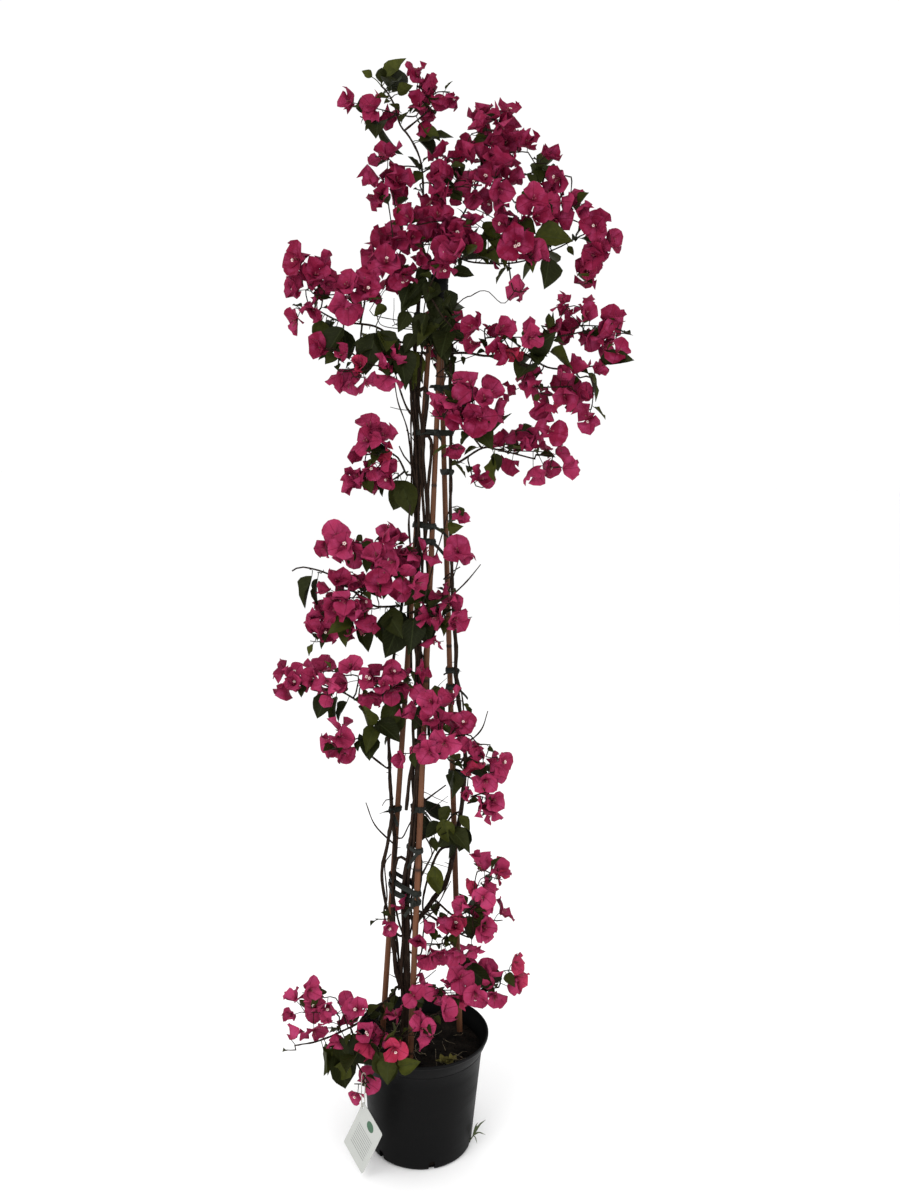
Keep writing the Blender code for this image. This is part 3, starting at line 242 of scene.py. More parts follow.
# Each shoot: its twigs, thick end first, then the middle, the spread and the number of its leaves
SHOOT_ROWS = (
    ("leafy_crown", (((-26, -6, 1555), (-26, 0, 1620), (-30, 0, 1712), (-50, 0, 1755), (-66, 2, 1775),
     (-77, 2, 1807), (-88, 0, 1824), (-98, 0, 1834)), ((12, 0, 1600), (45, 0, 1650), (72, 12, 1720),
     (85, 20, 1770)), ((30, -12, 1570), (68, -20, 1558), (134, -12, 1563), (193, 0, 1588), (234, 20, 1613),
     (252, 28, 1622)), ((85, 0, 1690), (125, 5, 1700), (165, 10, 1712)), ((-100, 15, 1782),
     (-120, 20, 1788), (-133, 20, 1793)), ((-30, 0, 1790), (-12, 0, 1808)), ((-48, -18, 1590),
     (-66, -25, 1620), (-75, -25, 1665)), ((-12, -40, 1500), (10, -48, 1468), (32, -45, 1446))),
     ((-92, 0, 1836, 34, 20, 14, 4), (-95, 10, 1793, 30, 20, 15, 2), (-20, 0, 1760, 20, 20, 15, 2),
     (175, 0, 1580, 35, 30, 30, 4), (75, -15, 1590, 50, 30, 30, 4), (165, 10, 1710, 20, 20, 20, 2),
     (5, -45, 1465, 30, 20, 40, 6))),
    ("leafy_upper_left", (((-60, -25, 1430), (-100, -40, 1452), (-155, -45, 1458), (-192, -40, 1475)),
     ((-122, -58, 1425), (-128, -66, 1400))),
     ((-170, -50, 1440, 35, 20, 20, 5), (-90, -45, 1425, 30, 30, 20, 4), (-50, -30, 1405, 20, 20, 20, 3))),
    ("leafy_right_middle", (((55, -42, 1412), (87, -56, 1407), (135, -65, 1413), (181, -55, 1392),
     (225, -40, 1392), (261, -30, 1398)), ((183, -62, 1434), (220, -45, 1446), (250, -30, 1455))),
     ((145, -65, 1405, 50, 30, 30, 6), (262, -30, 1400, 20, 20, 20, 2))),
    ("leafy_right_lower", (((43, -30, 1237), (80, -56, 1260), (104, -60, 1258), (167, -40, 1245)),
     ((60, -65, 1285), (66, -72, 1304))),
     ((95, -60, 1252, 20, 20, 20, 2), (70, -72, 1295, 20, 20, 20, 2))),
    ("leafy_left_upper", (((-45, -22, 1214), (-60, -32, 1242), (-84, -36, 1254)), ((-68, -38, 1205),
     (-90, -42, 1200))),
     ((-50, -20, 1200, 20, 20, 30, 2), (-85, -40, 1250, 20, 20, 20, 1))),
    ("leafy_left_middle", (((-75, -30, 992), (-102, -45, 998), (-161, -40, 1042), (-216, -30, 1056),
     (-235, -30, 1049)), ((-98, -52, 1040), (-100, -55, 1085)), ((-140, -22, 962), (-165, -4, 948))),
     ((-205, -30, 1035, 25, 20, 20, 2), (-125, -35, 965, 40, 30, 30, 5), (-75, -35, 965, 20, 20, 30, 3))),
    ("leafy_centre_middle", (((-34, -50, 985), (-18, -66, 992), (10, -66, 982)),),
     ((-15, -60, 965, 35, 20, 35, 6),)),
    ("leafy_left_lower", (((-88, -26, 838), (-112, -40, 828), (-144, -30, 841), (-200, -10, 856),
     (-226, 0, 858)), ((-94, -45, 780), (-123, -58, 769), (-148, -60, 758))),
     ((-155, -40, 805, 30, 30, 30, 3), (-105, -50, 785, 25, 20, 20, 4))),
    ("leafy_centre", (((55, -22, 718), (40, -58, 732), (22, -80, 762)), ((85, -35, 712), (100, -50, 700),
     (108, -55, 668))),
     ((55, -40, 715, 25, 20, 20, 3),)),
    ("leafy_inner", (((45, -12, 622), (26, -32, 604), (2, -32, 588)),),
     ((30, -25, 600, 40, 20, 20, 5),)),
    ("leafy_lower_right", (((27, -26, 462), (54, -38, 448), (88, -40, 470), (113, -30, 509)),
     ((45, -55, 428), (36, -58, 418))),
     ((85, -40, 455, 20, 20, 20, 3),)),
    ("leafy_pot_right", (((10, -10, 278), (52, -18, 288), (94, -24, 300), (128, -30, 318)),),
     ((112, -30, 312, 20, 20, 20, 3),)),
    ("leafy_pot_left", (((-52, -24, 292), (-78, -55, 284), (-115, -85, 268), (-176, -90, 240),
     (-215, -80, 224)), ((-62, -92, 258), (-44, -122, 240)), ((-114, -100, 245), (-112, -104, 215),
     (-97, -122, 198), (-86, -135, 192))),
     ((-150, -92, 235, 30, 20, 20, 4), (-112, -115, 225, 20, 10, 20, 2), (-50, -112, 245, 20, 20, 20, 3))),
    ("leafy_rear_upper", (((-52, 28, 1388), (-40, 70, 1400), (-5, 98, 1420), (30, 105, 1445)),),
     ((-10, 90, 1415, 40, 30, 30, 5),)),
    ("leafy_rear_lower", (((-66, 50, 762), (-40, 92, 785), (10, 108, 810)),),
     ((-15, 100, 800, 40, 30, 30, 5),)),
)

# Each bunch: its shoot, then the middle, the spread and the number of its blooms
BUNCH_ROWS = (
    ("bracts_tip", "leafy_crown", (-40, 0, 1812, 24, 25, 45, 6), (-120, 18, 1805, 28, 20, 18, 3)),
    ("bracts_crown_left", "leafy_crown", (-74, -30, 1570, 36, 32, 44, 8), (-84, -26, 1684, 24, 24, 36, 6)),
    ("bracts_crown_top", "leafy_crown", (89, 25, 1768, 54, 36, 36, 9)),
    ("bracts_crown_front", "leafy_crown", (62, -36, 1680, 72, 34, 42, 13)),
    ("bracts_crown_right", "leafy_crown", (128, -34, 1608, 38, 28, 40, 8)),
    ("bracts_crown_low", "leafy_crown", (3, -55, 1585, 50, 32, 36, 10)),
    ("bracts_far_right", "leafy_crown", (197, 0, 1662, 22, 24, 34, 6), (256, 6, 1590, 22, 22, 50, 6)),
    ("bracts_upper_left", "leafy_upper_left", (-132, -52, 1500, 30, 26, 28, 6),
     (-200, -54, 1520, 38, 26, 40, 6)),
    ("bracts_left_hanging", "leafy_upper_left", (-128, -70, 1380, 42, 22, 22, 4)),
    ("bracts_right_front", "leafy_right_middle", (112, -88, 1432, 66, 22, 24, 8)),
    ("bracts_right_far", "leafy_right_middle", (256, -30, 1462, 46, 30, 30, 9)),
    ("bracts_right_under", "leafy_right_middle", (190, -55, 1362, 62, 30, 26, 9)),
    ("bracts_right_inner", "leafy_right_lower", (52, -90, 1325, 48, 24, 42, 9)),
    ("bracts_right_lower", "leafy_right_lower", (150, -45, 1257, 56, 30, 30, 7)),
    ("bracts_left_small", "leafy_left_upper", (-102, -42, 1246, 30, 28, 46, 8)),
    ("bracts_centre_small", "leafy_centre_middle", (24, -58, 990, 18, 14, 30, 4),
     (46, -45, 1100, 10, 14, 36, 2)),
    ("bracts_left_middle", "leafy_left_middle", (-62, -68, 1075, 24, 20, 50, 8),
     (-130, -50, 1100, 48, 26, 22, 7)),
    ("bracts_left_outer", "leafy_left_middle", (-140, -50, 1018, 40, 28, 24, 8),
     (-178, -10, 960, 30, 26, 26, 6)),
    ("bracts_left_far", "leafy_left_lower", (-214, -5, 866, 52, 24, 20, 6)),
    ("bracts_left_inner", "leafy_left_lower", (-70, -58, 868, 70, 24, 22, 8)),
    ("bracts_left_low", "leafy_left_lower", (-154, -62, 768, 18, 18, 24, 3)),
    ("bracts_centre", "leafy_centre", (14, -92, 788, 50, 26, 46, 9)),
    ("bracts_centre_right", "leafy_centre", (104, -60, 695, 22, 24, 52, 6)),
    ("bracts_lower_right", "leafy_lower_right", (84, -60, 440, 36, 24, 40, 7),
     (116, -34, 515, 38, 24, 24, 6)),
    ("bracts_lower_front", "leafy_lower_right", (14, -70, 412, 36, 22, 30, 5)),
    ("bracts_pot_right", "leafy_pot_right", (88, -44, 328, 66, 30, 26, 9)),
    ("bracts_pot_left", "leafy_pot_left", (-180, -64, 276, 58, 36, 34, 9)),
    ("bracts_pot_front", "leafy_pot_left", (-44, -104, 262, 68, 28, 28, 8)),
    ("bracts_rear", "leafy_rear_upper", (20, 105, 1450, 46, 28, 34, 6)),
)


# Read off the photograph, in its pixels (column, row), for what the frame has no node for.
# Depths are Y in millimetres, judged from what carries or hides each.
# Stalks of blooms, by the shoot that they grow from: the depth, then each place that the stalk passes,
# with how many bloom there if it is more than one
SEEN_SPRAYS = (
    ("leafy_crown", ((-36, (440, 168, 2), (455, 158), (478, 134)),
     (-50, (427, 184), (441, 194, 2), (463, 187, 2)), (-12, (497, 152, 2), (522, 152, 2), (541, 163)),
     (-14, (493, 120, 2)), (-50, (503, 194), (520, 202), (545, 200)), (-22, (565, 177, 2), (577, 206)),
     (-66, (410, 225), (440, 222, 2), (471, 227)), (-66, (420, 244, 2), (453, 243, 2), (463, 257)),
     (-60, (433, 262), (410, 270), (378, 268)), (-8, (425, 96), (444, 92, 2)),
     (-44, (495, 250), (526, 258)), (-10, (588, 228), (590, 264, 2), (582, 283)), (-46, (520, 291)),
     (-20, (402, 166), (381, 157)))),
    ("leafy_upper_left", ((-52, (312, 290), (302, 308, 2)), (-54, (334, 280, 2)),
     (-66, (332, 350), (345, 371, 2), (360, 377)), (-66, (383, 366, 2)))),
    ("leafy_right_middle", ((-84, (491, 329), (526, 364)), (-50, (548, 326), (574, 307)),
     (-46, (604, 327), (622, 334), (610, 350)), (-80, (530, 382), (548, 394)),
     (-52, (586, 378), (585, 409, 2)))),
    ("leafy_right_lower", ((-90, (459, 381)), (-96, (457, 406, 2), (437, 416)),
     (-80, (461, 430), (457, 448)), (-62, (511, 444), (522, 431), (541, 437)),
     (-56, (547, 455), (556, 467)), (-62, (482, 486)))),
    ("leafy_left_upper", ((-54, (372, 455), (358, 479, 2)), (-50, (392, 473)))),
    ("leafy_centre_middle", ((-46, (457, 508)),)),
    ("leafy_left_middle", ((-80, (385, 537)), (-60, (352, 547)), (-84, (403, 556, 2), (413, 551)),
     (-84, (381, 567), (400, 571), (419, 580)), (-64, (347, 572)),
     (-72, (382, 583), (368, 591), (373, 608, 2)), (-50, (347, 598), (343, 618)),
     (-30, (327, 613), (333, 630), (316, 641)), (-50, (357, 621)))),
    ("leafy_centre_middle", ((-70, (443, 606, 2), (430, 628, 2)),)),
    ("leafy_left_lower", ((-60, (352, 676), (330, 672), (328, 690)), (-74, (367, 686), (387, 683)),
     (-86, (407, 683)), (-60, (333, 749, 2)), (-14, (296, 690)))),
    ("leafy_centre", ((-86, (431, 706)), (-70, (458, 702)), (-104, (421, 743), (404, 753)),
     (-84, (465, 736), (484, 745), (492, 757)), (-72, (477, 757), (489, 773, 2)),
     (-66, (477, 797), (484, 811)))),
    ("leafy_lower_right", ((-64, (483, 872), (480, 903)), (-72, (463, 917)), (-80, (447, 944), (426, 945)),
     (-34, (497, 920)), (-60, (407, 913), (381, 919)))),
    ("leafy_pot_right", ((-66, (431, 987, 2), (446, 990)), (-70, (424, 997), (453, 993)),
     (-44, (493, 987), (509, 971, 2)))),
    ("leafy_pot_left", ((-76, (330, 998), (308, 993)), (-84, (332, 1028)), (-92, (360, 1008)),
     (-112, (385, 1034)), (-100, (438, 1015)), (-118, (360, 1084, 2)), (-84, (290, 1050)))),
)

# Thin stems and bare spurs: the radius in millimetres, the depth at each end, then the path
SEEN_STEMS = (
    (2.2, -20, -30, (415, 419), (407, 408), (400, 390), (395, 372)),
    (2.0, -22, -30, (416, 418), (415, 400), (415, 383)),
    (1.0, -30, -40, (405, 410), (398, 409), (390, 407)),
    (2.2, -22, -30, (417, 492), (414, 471), (409, 462), (404, 456), (399, 446)),
    (1.0, -28, -34, (414, 441), (410, 434), (406, 430)),
    (1.9, -20, -30, (444, 579), (452, 572), (460, 567)),
    (1.5, -20, -34, (441, 626), (455, 621), (472, 617)),
    (1.0, -20, -26, (430, 644), (437, 642), (444, 641)),
    (1.7, -12, -16, (463, 735), (464, 722), (462, 695), (455, 667), (456, 649)),
    (.80, -30, -34, (434, 690), (440, 684), (447, 678)),
    (1.6, -14, -30, (387, 768), (377, 760), (367, 752)),
    (1.2, -14, -30, (393, 799), (386, 800), (382, 806)),
    (1.7, -14, -24, (402, 838), (408, 827), (413, 817)),
    (2.1, -10, -30, (400, 936), (387, 924), (384, 911), (387, 899), (386, 883), (385, 864), (391, 854)),
    (1.7, -14, -20, (400, 964), (396, 948), (392, 930)),
    (2.4, -20, -16, (418, 922), (423, 914), (440, 893), (450, 869)),
    (1.3, -20, -16, (430, 914), (433, 912), (441, 899), (451, 881)),
    (2.0, -24, -24, (424, 913), (438, 920), (451, 929)),
    (1.9, -24, -30, (420, 955), (423, 936), (425, 916)),
    (2.0, -24, -20, (424, 801), (435, 793), (446, 785)),
    (.90, -26, -22, (424, 792), (436, 798), (448, 803)),
    (.90, -26, -22, (427, 812), (438, 804), (448, 796)),
    (2.3, -24, -30, (418, 880), (428, 863), (434, 851), (440, 840)),
    (.80, -26, -18, (428, 862), (440, 865), (450, 868)),
    (1.5, -12, -22, (459, 826), (460, 810), (466, 796), (469, 768)),
    (1.3, -20, -40, (414, 984), (426, 978), (436, 970)),
    (1.2, -14, -20, (402, 980), (395, 977), (389, 974)),
    (.90, -50, -46, (373, 315), (373, 305), (383, 290), (393, 275)),
    (.90, -50, -46, (380, 324), (381, 297), (391, 285), (401, 277)),
    (.80, -46, -46, (395, 324), (394, 310), (394, 298)),
    (.80, -26, -30, (447, 321), (456, 317), (453, 293)),
    (1.6, -30, -46, (452, 868), (443, 895), (432, 913), (420, 924)),
    (1.6, -35, -45, (416, 832), (426, 838), (432, 853), (427, 864), (421, 875)),
    (1.6, -20, -40, (389, 769), (378, 762), (367, 753)),
    (1.6, -40, -50, (405, 905), (427, 914), (444, 927), (452, 931)),
    (1.2, -38, -42, (447, 318), (463, 299), (471, 296), (480, 291), (489, 292), (497, 300), (505, 303),
     (517, 288)),
    (3.4, -22, -26, (427, 392), (423, 450), (427, 515), (422, 580), (428, 645)),
    (3.0, -30, -26, (431, 440), (428, 500), (433, 560), (426, 622)),
    (2.8, -20, -20, (421, 470), (425, 540), (429, 600), (424, 665), (428, 730)),
    (3.5, -12, -10, (392, 815), (388, 842), (382, 872), (386, 905), (397, 940), (399, 990)),
    (2.9, -20, -16, (398, 858), (393, 884), (397, 915), (405, 940)),
    (3.2, -22, -14, (424, 800), (420, 840), (421, 880), (414, 915), (408, 945)),
    (2.8, -20, -20, (440, 850), (430, 872), (423, 900), (425, 930)),
    (3.3, -22, -20, (415, 740), (413, 790), (418, 840), (412, 880)),
    (1.6, -24, -34, (428, 352), (418, 330), (404, 322), (392, 326)),
    (1.4, -24, -36, (432, 344), (424, 316), (426, 292), (418, 272)),
    (1.5, -22, -32, (436, 350), (444, 330), (452, 322), (462, 324)),
    (1.2, -26, -38, (420, 340), (408, 312), (402, 290), (406, 270)),
    (1.8, -18, -24, (412, 470), (408, 432), (398, 402), (394, 376)),
    (1.3, -20, -30, (436, 376), (448, 366), (462, 360), (478, 354)),
)

# Leaves that stand apart: the base, the tip, the depth of each, and how fresh the green is
SEEN_LEAVES = (
    (398, 345, 408, 388, -45, -60, .08), (377, 332, 397, 361, -55, -66, .08),
    (376, 333, 364, 374, -55, -66, .08), (343, 328, 322, 358, -55, -62, .08),
    (426, 313, 416, 344, -40, -55, .08), (437, 334, 448, 363, -40, -52, .08),
    (464, 338, 448, 333, -40, -46, .08), (426, 278, 407, 301, -35, -48, .08),
    (420, 290, 400, 312, -35, -50, .08), (452, 272, 474, 274, -30, -40, .08),
    (430, 296, 443, 322, -34, -46, .05), (410, 283, 402, 306, -38, -50, .05),
    (436, 282, 425, 302, -36, -48, .08), (446, 290, 453, 312, -34, -44, .05),
    (421, 318, 432, 344, -38, -52, .05), (408, 312, 398, 332, -40, -52, .12),
    (440, 306, 430, 330, -36, -50, .05), (414, 334, 404, 352, -42, -54, .08),
    (430, 268, 414, 282, -36, -48, .10), (452, 318, 442, 338, -34, -46, .08),
    (386, 306, 374, 316, -48, -56, .50), (362, 305, 348, 298, -52, -58, .45),
    (535, 236, 574, 238, -20, -20, .60), (548, 242, 526, 246, -20, -26, .50),
    (500, 222, 521, 236, -16, -24, .40), (521, 219, 535, 234, -14, -22, .50),
    (500, 234, 478, 240, -14, -30, .45), (486, 224, 500, 240, -20, -34, .60),
    (474, 236, 486, 250, -20, -34, .50), (482, 228, 494, 222, -24, -36, .55),
    (508, 224, 520, 222, -20, -30, .45), (488, 238, 502, 250, -26, -38, .50),
    (512, 238, 530, 246, -22, -32, .35), (478, 250, 488, 264, -30, -42, .45),
    (526, 232, 512, 230, -20, -30, .50), (534, 163, 541, 183, 0, -12, .30),
    (545, 166, 553, 182, 0, -12, .35), (526, 174, 538, 188, -12, -24, .30),
    (464, 180, 452, 166, 0, -12, .30), (424, 130, 441, 139, 0, -10, .60), (372, 77, 362, 70, 0, -6, .80),
    (380, 79, 398, 70, 0, -8, .70), (398, 94, 413, 85, 0, -10, .70), (402, 614, 387, 659, -40, -56, .05),
    (420, 588, 404, 606, -40, -52, .20), (418, 590, 434, 607, -40, -52, .20),
    (420, 622, 412, 648, -40, -52, .25), (428, 618, 428, 645, -40, -50, .20),
    (406, 690, 384, 706, -36, -48, .15), (398, 702, 382, 730, -36, -48, .30),
    (396, 706, 393, 740, -36, -44, .20), (424, 706, 414, 730, -36, -46, .08),
    (442, 819, 450, 844, -34, -44, .65), (449, 806, 441, 825, -24, -34, .40),
    (450, 833, 438, 848, -34, -46, .10), (441, 823, 425, 838, -30, -44, .10),
    (459, 816, 471, 830, -16, -26, .55), (468, 828, 458, 852, -16, -26, .05),
    (434, 866, 438, 896, -30, -40, .75), (471, 918, 483, 930, -40, -46, .60),
    (466, 964, 493, 990, -40, -56, .08), (456, 960, 474, 972, -40, -50, .08),
    (345, 1040, 328, 1058, -90, -100, .70), (337, 1048, 348, 1090, -95, -106, .10),
    (352, 1034, 382, 1068, -100, -122, .05), (376, 1052, 390, 1081, -118, -128, .30),
    (398, 1067, 420, 1062, -125, -134, .75), (549, 258, 545, 289, -20, -34, .10),
    (534, 339, 551, 352, -50, -52, .50), (400, 632, 383, 644, -30, -34, .20),
    (431, 876, 442, 892, -34, -42, .60),
)

# Spurs at the back, which the photograph does not show: the radius, then the path, in millimetres
REAR_SPURS = (
    (1.6, (-30, 0, 262), (-12, 20, 300), (10, 32, 352), (18, 30, 398)),
    (1.6, (-58, 2, 560), (-92, 14, 590), (-110, 16, 632)),
    (1.6, (64, 16, 740), (92, 30, 765), (104, 34, 800)),
    (1.6, (36, 6, 1010), (60, 22, 1032), (84, 28, 1062)),
)


def metres(rows: Iterable) -> tuple[Triple, ...]:
    """Return points in metres from rows in millimetres."""
    return tuple(tuple(axis / 1000 for axis in row) for row in rows)


def clusters_of(rows: Iterable) -> tuple[Cluster, ...]:
    """Return clusters from rows of a middle and a spread in millimetres and a number."""
    return tuple(Cluster(*metres((row[:3], row[3:6])), row[6]) for row in rows)


SHOOTS = tuple(Shoot(name, tuple(map(metres, paths)), clusters_of(rows)) for name, paths, rows in SHOOT_ROWS)
BUNCHES = tuple(Bunch(name, shoot, clusters_of(rows)) for name, shoot, *rows in BUNCH_ROWS)


def camera_axes() -> tuple[np.ndarray, np.ndarray, np.ndarray]:
    """Return the ways that the photograph's camera has to its right, over it and ahead."""
    ahead = np.array((0.0, math.cos(CAMERA_PITCH), -math.sin(CAMERA_PITCH)))
    upright = np.array((0.0, math.sin(CAMERA_PITCH), math.cos(CAMERA_PITCH)))
    level = np.array((1.0, 0.0, 0.0))
    right = math.cos(CAMERA_ROLL) * level + math.sin(CAMERA_ROLL) * upright
    over = math.cos(CAMERA_ROLL) * upright - math.sin(CAMERA_ROLL) * level
    return right, over, ahead


def seen_at(column: float, row: float, depth: float) -> np.ndarray:
    """Return the place of a pixel of the photograph.

    Args:
        column: Pixels from its left side.
        row: Pixels from its top.
        depth: Y of the place, in millimetres.

    Returns:
        The place in metres.
    """
    right, over, ahead = camera_axes()
    across, down = (column - IMAGE_SIZE[0] / 2) / FOCAL_PIXELS, (row - IMAGE_SIZE[1] / 2) / FOCAL_PIXELS
    way = ahead + across * right - down * over
    return CAMERA_PLACE + (depth / 1000 - CAMERA_PLACE[1]) / way[1] * way


def unit(vector: np.ndarray) -> np.ndarray:
    """Return a vector's direction."""
    return vector / max(float(np.linalg.norm(vector)), 1e-9)


@dataclass(frozen=True, eq=False)
class Rod:
    """A round path with a radius at each of its points."""

    points: np.ndarray
    radii: np.ndarray

    @cached_property
    def flats(self) -> list[np.ndarray]:
        """The sections of the solid rod, on whose flats other growth is seated."""
        return self.rings(TWIG_SIDES)

    @cached_property
    def stem_flats(self) -> list[np.ndarray]:
        """The sections of the solid stem."""
        return self.rings(STEM_SIDES)

    def rings(self, sides: int) -> list[np.ndarray]:
        """Return the corners of the rod's mitred sections.

        Args:
            sides: How many corners a section has.

        Returns:
            One array of corners for each point of the rod.
        """
        runs = [unit(run) for run in np.diff(self.points, axis=0)]
        mitres = [runs[0], *[unit(before + after) for before, after in zip(runs, runs[1:])], runs[-1]]
        first = unit(np.cross(mitres[0], (0.0, 0.0, 1.0) if abs(mitres[0][2]) < 0.9 else (1.0, 0.0, 0.0)))
        second = np.cross(mitres[0], first)
        turns = np.arange(sides) * 2 * math.pi / sides
        circle = np.outer(np.cos(turns), first) + np.outer(np.sin(turns), second)
        rings = [self.points[0] + self.radii[0] * circle]
        for index in range(1, len(self.points)):
            run, mitre, place = runs[index - 1], mitres[index], self.points[index]
            reach = (place - rings[-1]) @ mitre / np.dot(run, mitre)
            moved = rings[-1] + np.outer(reach, run)
            rings.append(place + (moved - place) * self.radii[index] / self.radii[index - 1])
        return rings

    def finer(self, step: float, start_radius: float, end_radius: float) -> "Rod":
        """Return the same path in shorter runs, with radii of its own.

        Args:
            step: Length of a run.
            start_radius: Radius at the thick end.
            end_radius: Radius at the thin end.

        Returns:
            The finer rod.
        """
        return smooth_rod(self.points, start_radius, end_radius, step)

    def length(self) -> float:
        """Return the length of the path."""
        return float(np.linalg.norm(np.diff(self.points, axis=0), axis=1).sum())

    def anywhere(self, draw: np.random.Generator) -> tuple[np.ndarray, np.ndarray]:
        """Return a place on the path by chance, and the way that it runs there."""
        index = int(draw.integers(len(self.points) - 1))
        start, end = self.points[index], self.points[index + 1]
        return start + (end - start) * draw.random(), unit(end - start)


def smooth_rod(points: Iterable, start_radius: float, end_radius: float, step: float) -> Rod:
    """Run a smooth curve through points.

    Args:
        points: The points, thick end first.
        start_radius: Radius at the first point.
        end_radius: Radius at the last point.
        step: About how far apart the rod's points are.

    Returns:
        The rod along the curve.
    """
    points = [np.array(point, dtype=float) for point in points]
    padded = [2 * points[0] - points[1], *points, 2 * points[-1] - points[-2]]
    path = []
    for before, start, end, after in zip(padded, padded[1:], padded[2:], padded[3:]):
        count = max(1, round(float(np.linalg.norm(end - start)) / step))
        for t in np.arange(count) / count:
            bend = 2 * before - 5 * start + 4 * end - after
            twist = 3 * start - before - 3 * end + after
            path.append(0.5 * (2 * start + (end - before) * t + bend * t ** 2 + twist * t ** 3))
    path.append(points[-1])
    return Rod(np.array(path), np.linspace(start_radius, end_radius, len(path)))


def nearest_on(rods: Iterable[Rod], point: np.ndarray, margin: float = 0.0) -> tuple[Rod, int, float]:
    """Find the place on some rods that is nearest to a point.

    Args:
        rods: The rods.
        point: The point.
        margin: How much of each rod's last run is left free.

    Returns:
        The rod, the number of its run there and the share along that run.
    """
    best: tuple = (math.inf, None, 0, 0.0)
    for rod in rods:
        last = len(rod.points) - 2
        for index, (start, end) in enumerate(zip(rod.points, rod.points[1:])):
            run = end - start
            length = float(np.linalg.norm(run))
            low = min(0.4, RING_MARGIN / length)
            high = max(low, 1.0 - max(RING_MARGIN, margin if index == last else 0.0) / length)
            share = float(np.clip(np.dot(point - start, run) / length ** 2, low, high))
            distance = float(np.linalg.norm(point - start - share * run))
            if distance < best[0]:
                best = (distance, rod, index, share)
    return best[1:]


def spot_on(rods: Iterable[Rod], point: np.ndarray) -> np.ndarray:
    """Return the nearest point to another on the axes of some rods."""
    rod, index, share = nearest_on(rods, point)
    return rod.points[index] + share * (rod.points[index + 1] - rod.points[index])


def seat_on(rods: Iterable[Rod], sides: int, point: np.ndarray,
            margin: float = 0.0) -> tuple[np.ndarray, np.ndarray]:
    """Find the flat that faces a point on the nearest rod.

    Args:
        rods: The rods.
        sides: How many flats they have.
        point: The point.
        margin: How much of each rod's last run is left free.

    Returns:
        The middle of the flat, and the way that it faces.
    """
    rod, index, share = nearest_on(rods, point, margin)
    run = rod.points[index + 1] - rod.points[index]
    spot = rod.points[index] + share * run
    sections = rod.flats if sides == TWIG_SIDES else rod.stem_flats
    low, high = [(ring + np.roll(ring, -1, axis=0)) / 2 for ring in sections[index:index + 2]]
    across = (1.0 - share) * low + share * high - spot
    across -= np.outer(across @ unit(run), unit(run))
    best = across[int(np.argmax(across @ (point - spot)))]
    return spot + best, unit(best)


def seated_rod(rods: Iterable[Rod], sides: int, points: Sequence, radius: float, step: float) -> Rod:
    """Run a rod from just outside a flat of some other rods, or their end, through its own points.

    Args:
        rods: The rods that it grows from.
        sides: How many flats they have.
        points: Its own points.
        radius: Its radius.
        step: About how far apart its points are.

    Returns:
        The rod.
    """
    first = np.array(points[0], dtype=float)
    rod = nearest_on(rods, first)[0]
    way = unit(rod.points[-1] - rod.points[-2])
    if np.dot(unit(first - rod.points[-1]), way) > 0.15:
        seat, outward = rod.points[-1], way
    else:
        seat, outward = seat_on(rods, sides, first)
    start = seat + outward * SEAT_GAP
    return smooth_rod((start, start + outward * 0.006, *points), radius, radius, step)


def rod_at(rod: Rod, height: float) -> tuple[np.ndarray, float]:
    """Return where a rising rod crosses a height, and its radius there."""
    index = int(np.argmax(rod.points[:, 2] > height))
    low, high = rod.points[index - 1], rod.points[index]
    share = (height - low[2]) / (high[2] - low[2])
    return low + share * (high - low), float(np.interp(share, (0.0, 1.0), rod.radii[index - 1:index + 1]))


@dataclass(frozen=True, eq=False)
class Bloom:
    """Where one bloom sits, how it faces and how far it has opened."""

    place: np.ndarray
    root: np.ndarray
    axis: np.ndarray
    side: np.ndarray
    length: float
    rise: float
    lobes: int

    def frames(self) -> list[np.ndarray]:
        """Return a 3 by 3 matrix for each bract: its length, its width and its face as columns."""
        across = np.cross(self.axis, self.side)
        found = []
        for lobe in range(self.lobes):
            turn = 2 * math.pi * lobe / self.lobes
            outward = math.cos(turn) * self.side + math.sin(turn) * across
            along = math.cos(self.rise) * outward + math.sin(self.rise) * self.axis
            sideways = np.cross(self.axis, outward)
            found.append(np.column_stack((along, sideways, np.cross(along, sideways))))
        return found

    def tips(self) -> list[np.ndarray]:
        """Return the tip of each bract."""
        return [self.place + self.length * (turn[:, 0] - BRACT_TIP_DROP * turn[:, 2])
                for turn in self.frames()]


@dataclass(frozen=True, eq=False)
class Leaf:
    """Where one leaf sits and which way its blade runs."""

    root: np.ndarray
    base: np.ndarray
    along: np.ndarray
    face: np.ndarray
    length: float

    def frame(self) -> np.ndarray:
        """Return a 3 by 3 matrix: the blade's length, its width and its face as columns."""
        return np.column_stack((self.along, np.cross(self.face, self.along), self.face))

    def tips(self) -> list[np.ndarray]:
        """Return the tip of the blade."""
        return [self.base + self.length * (self.along - LEAF_TIP_DROP * self.face)]


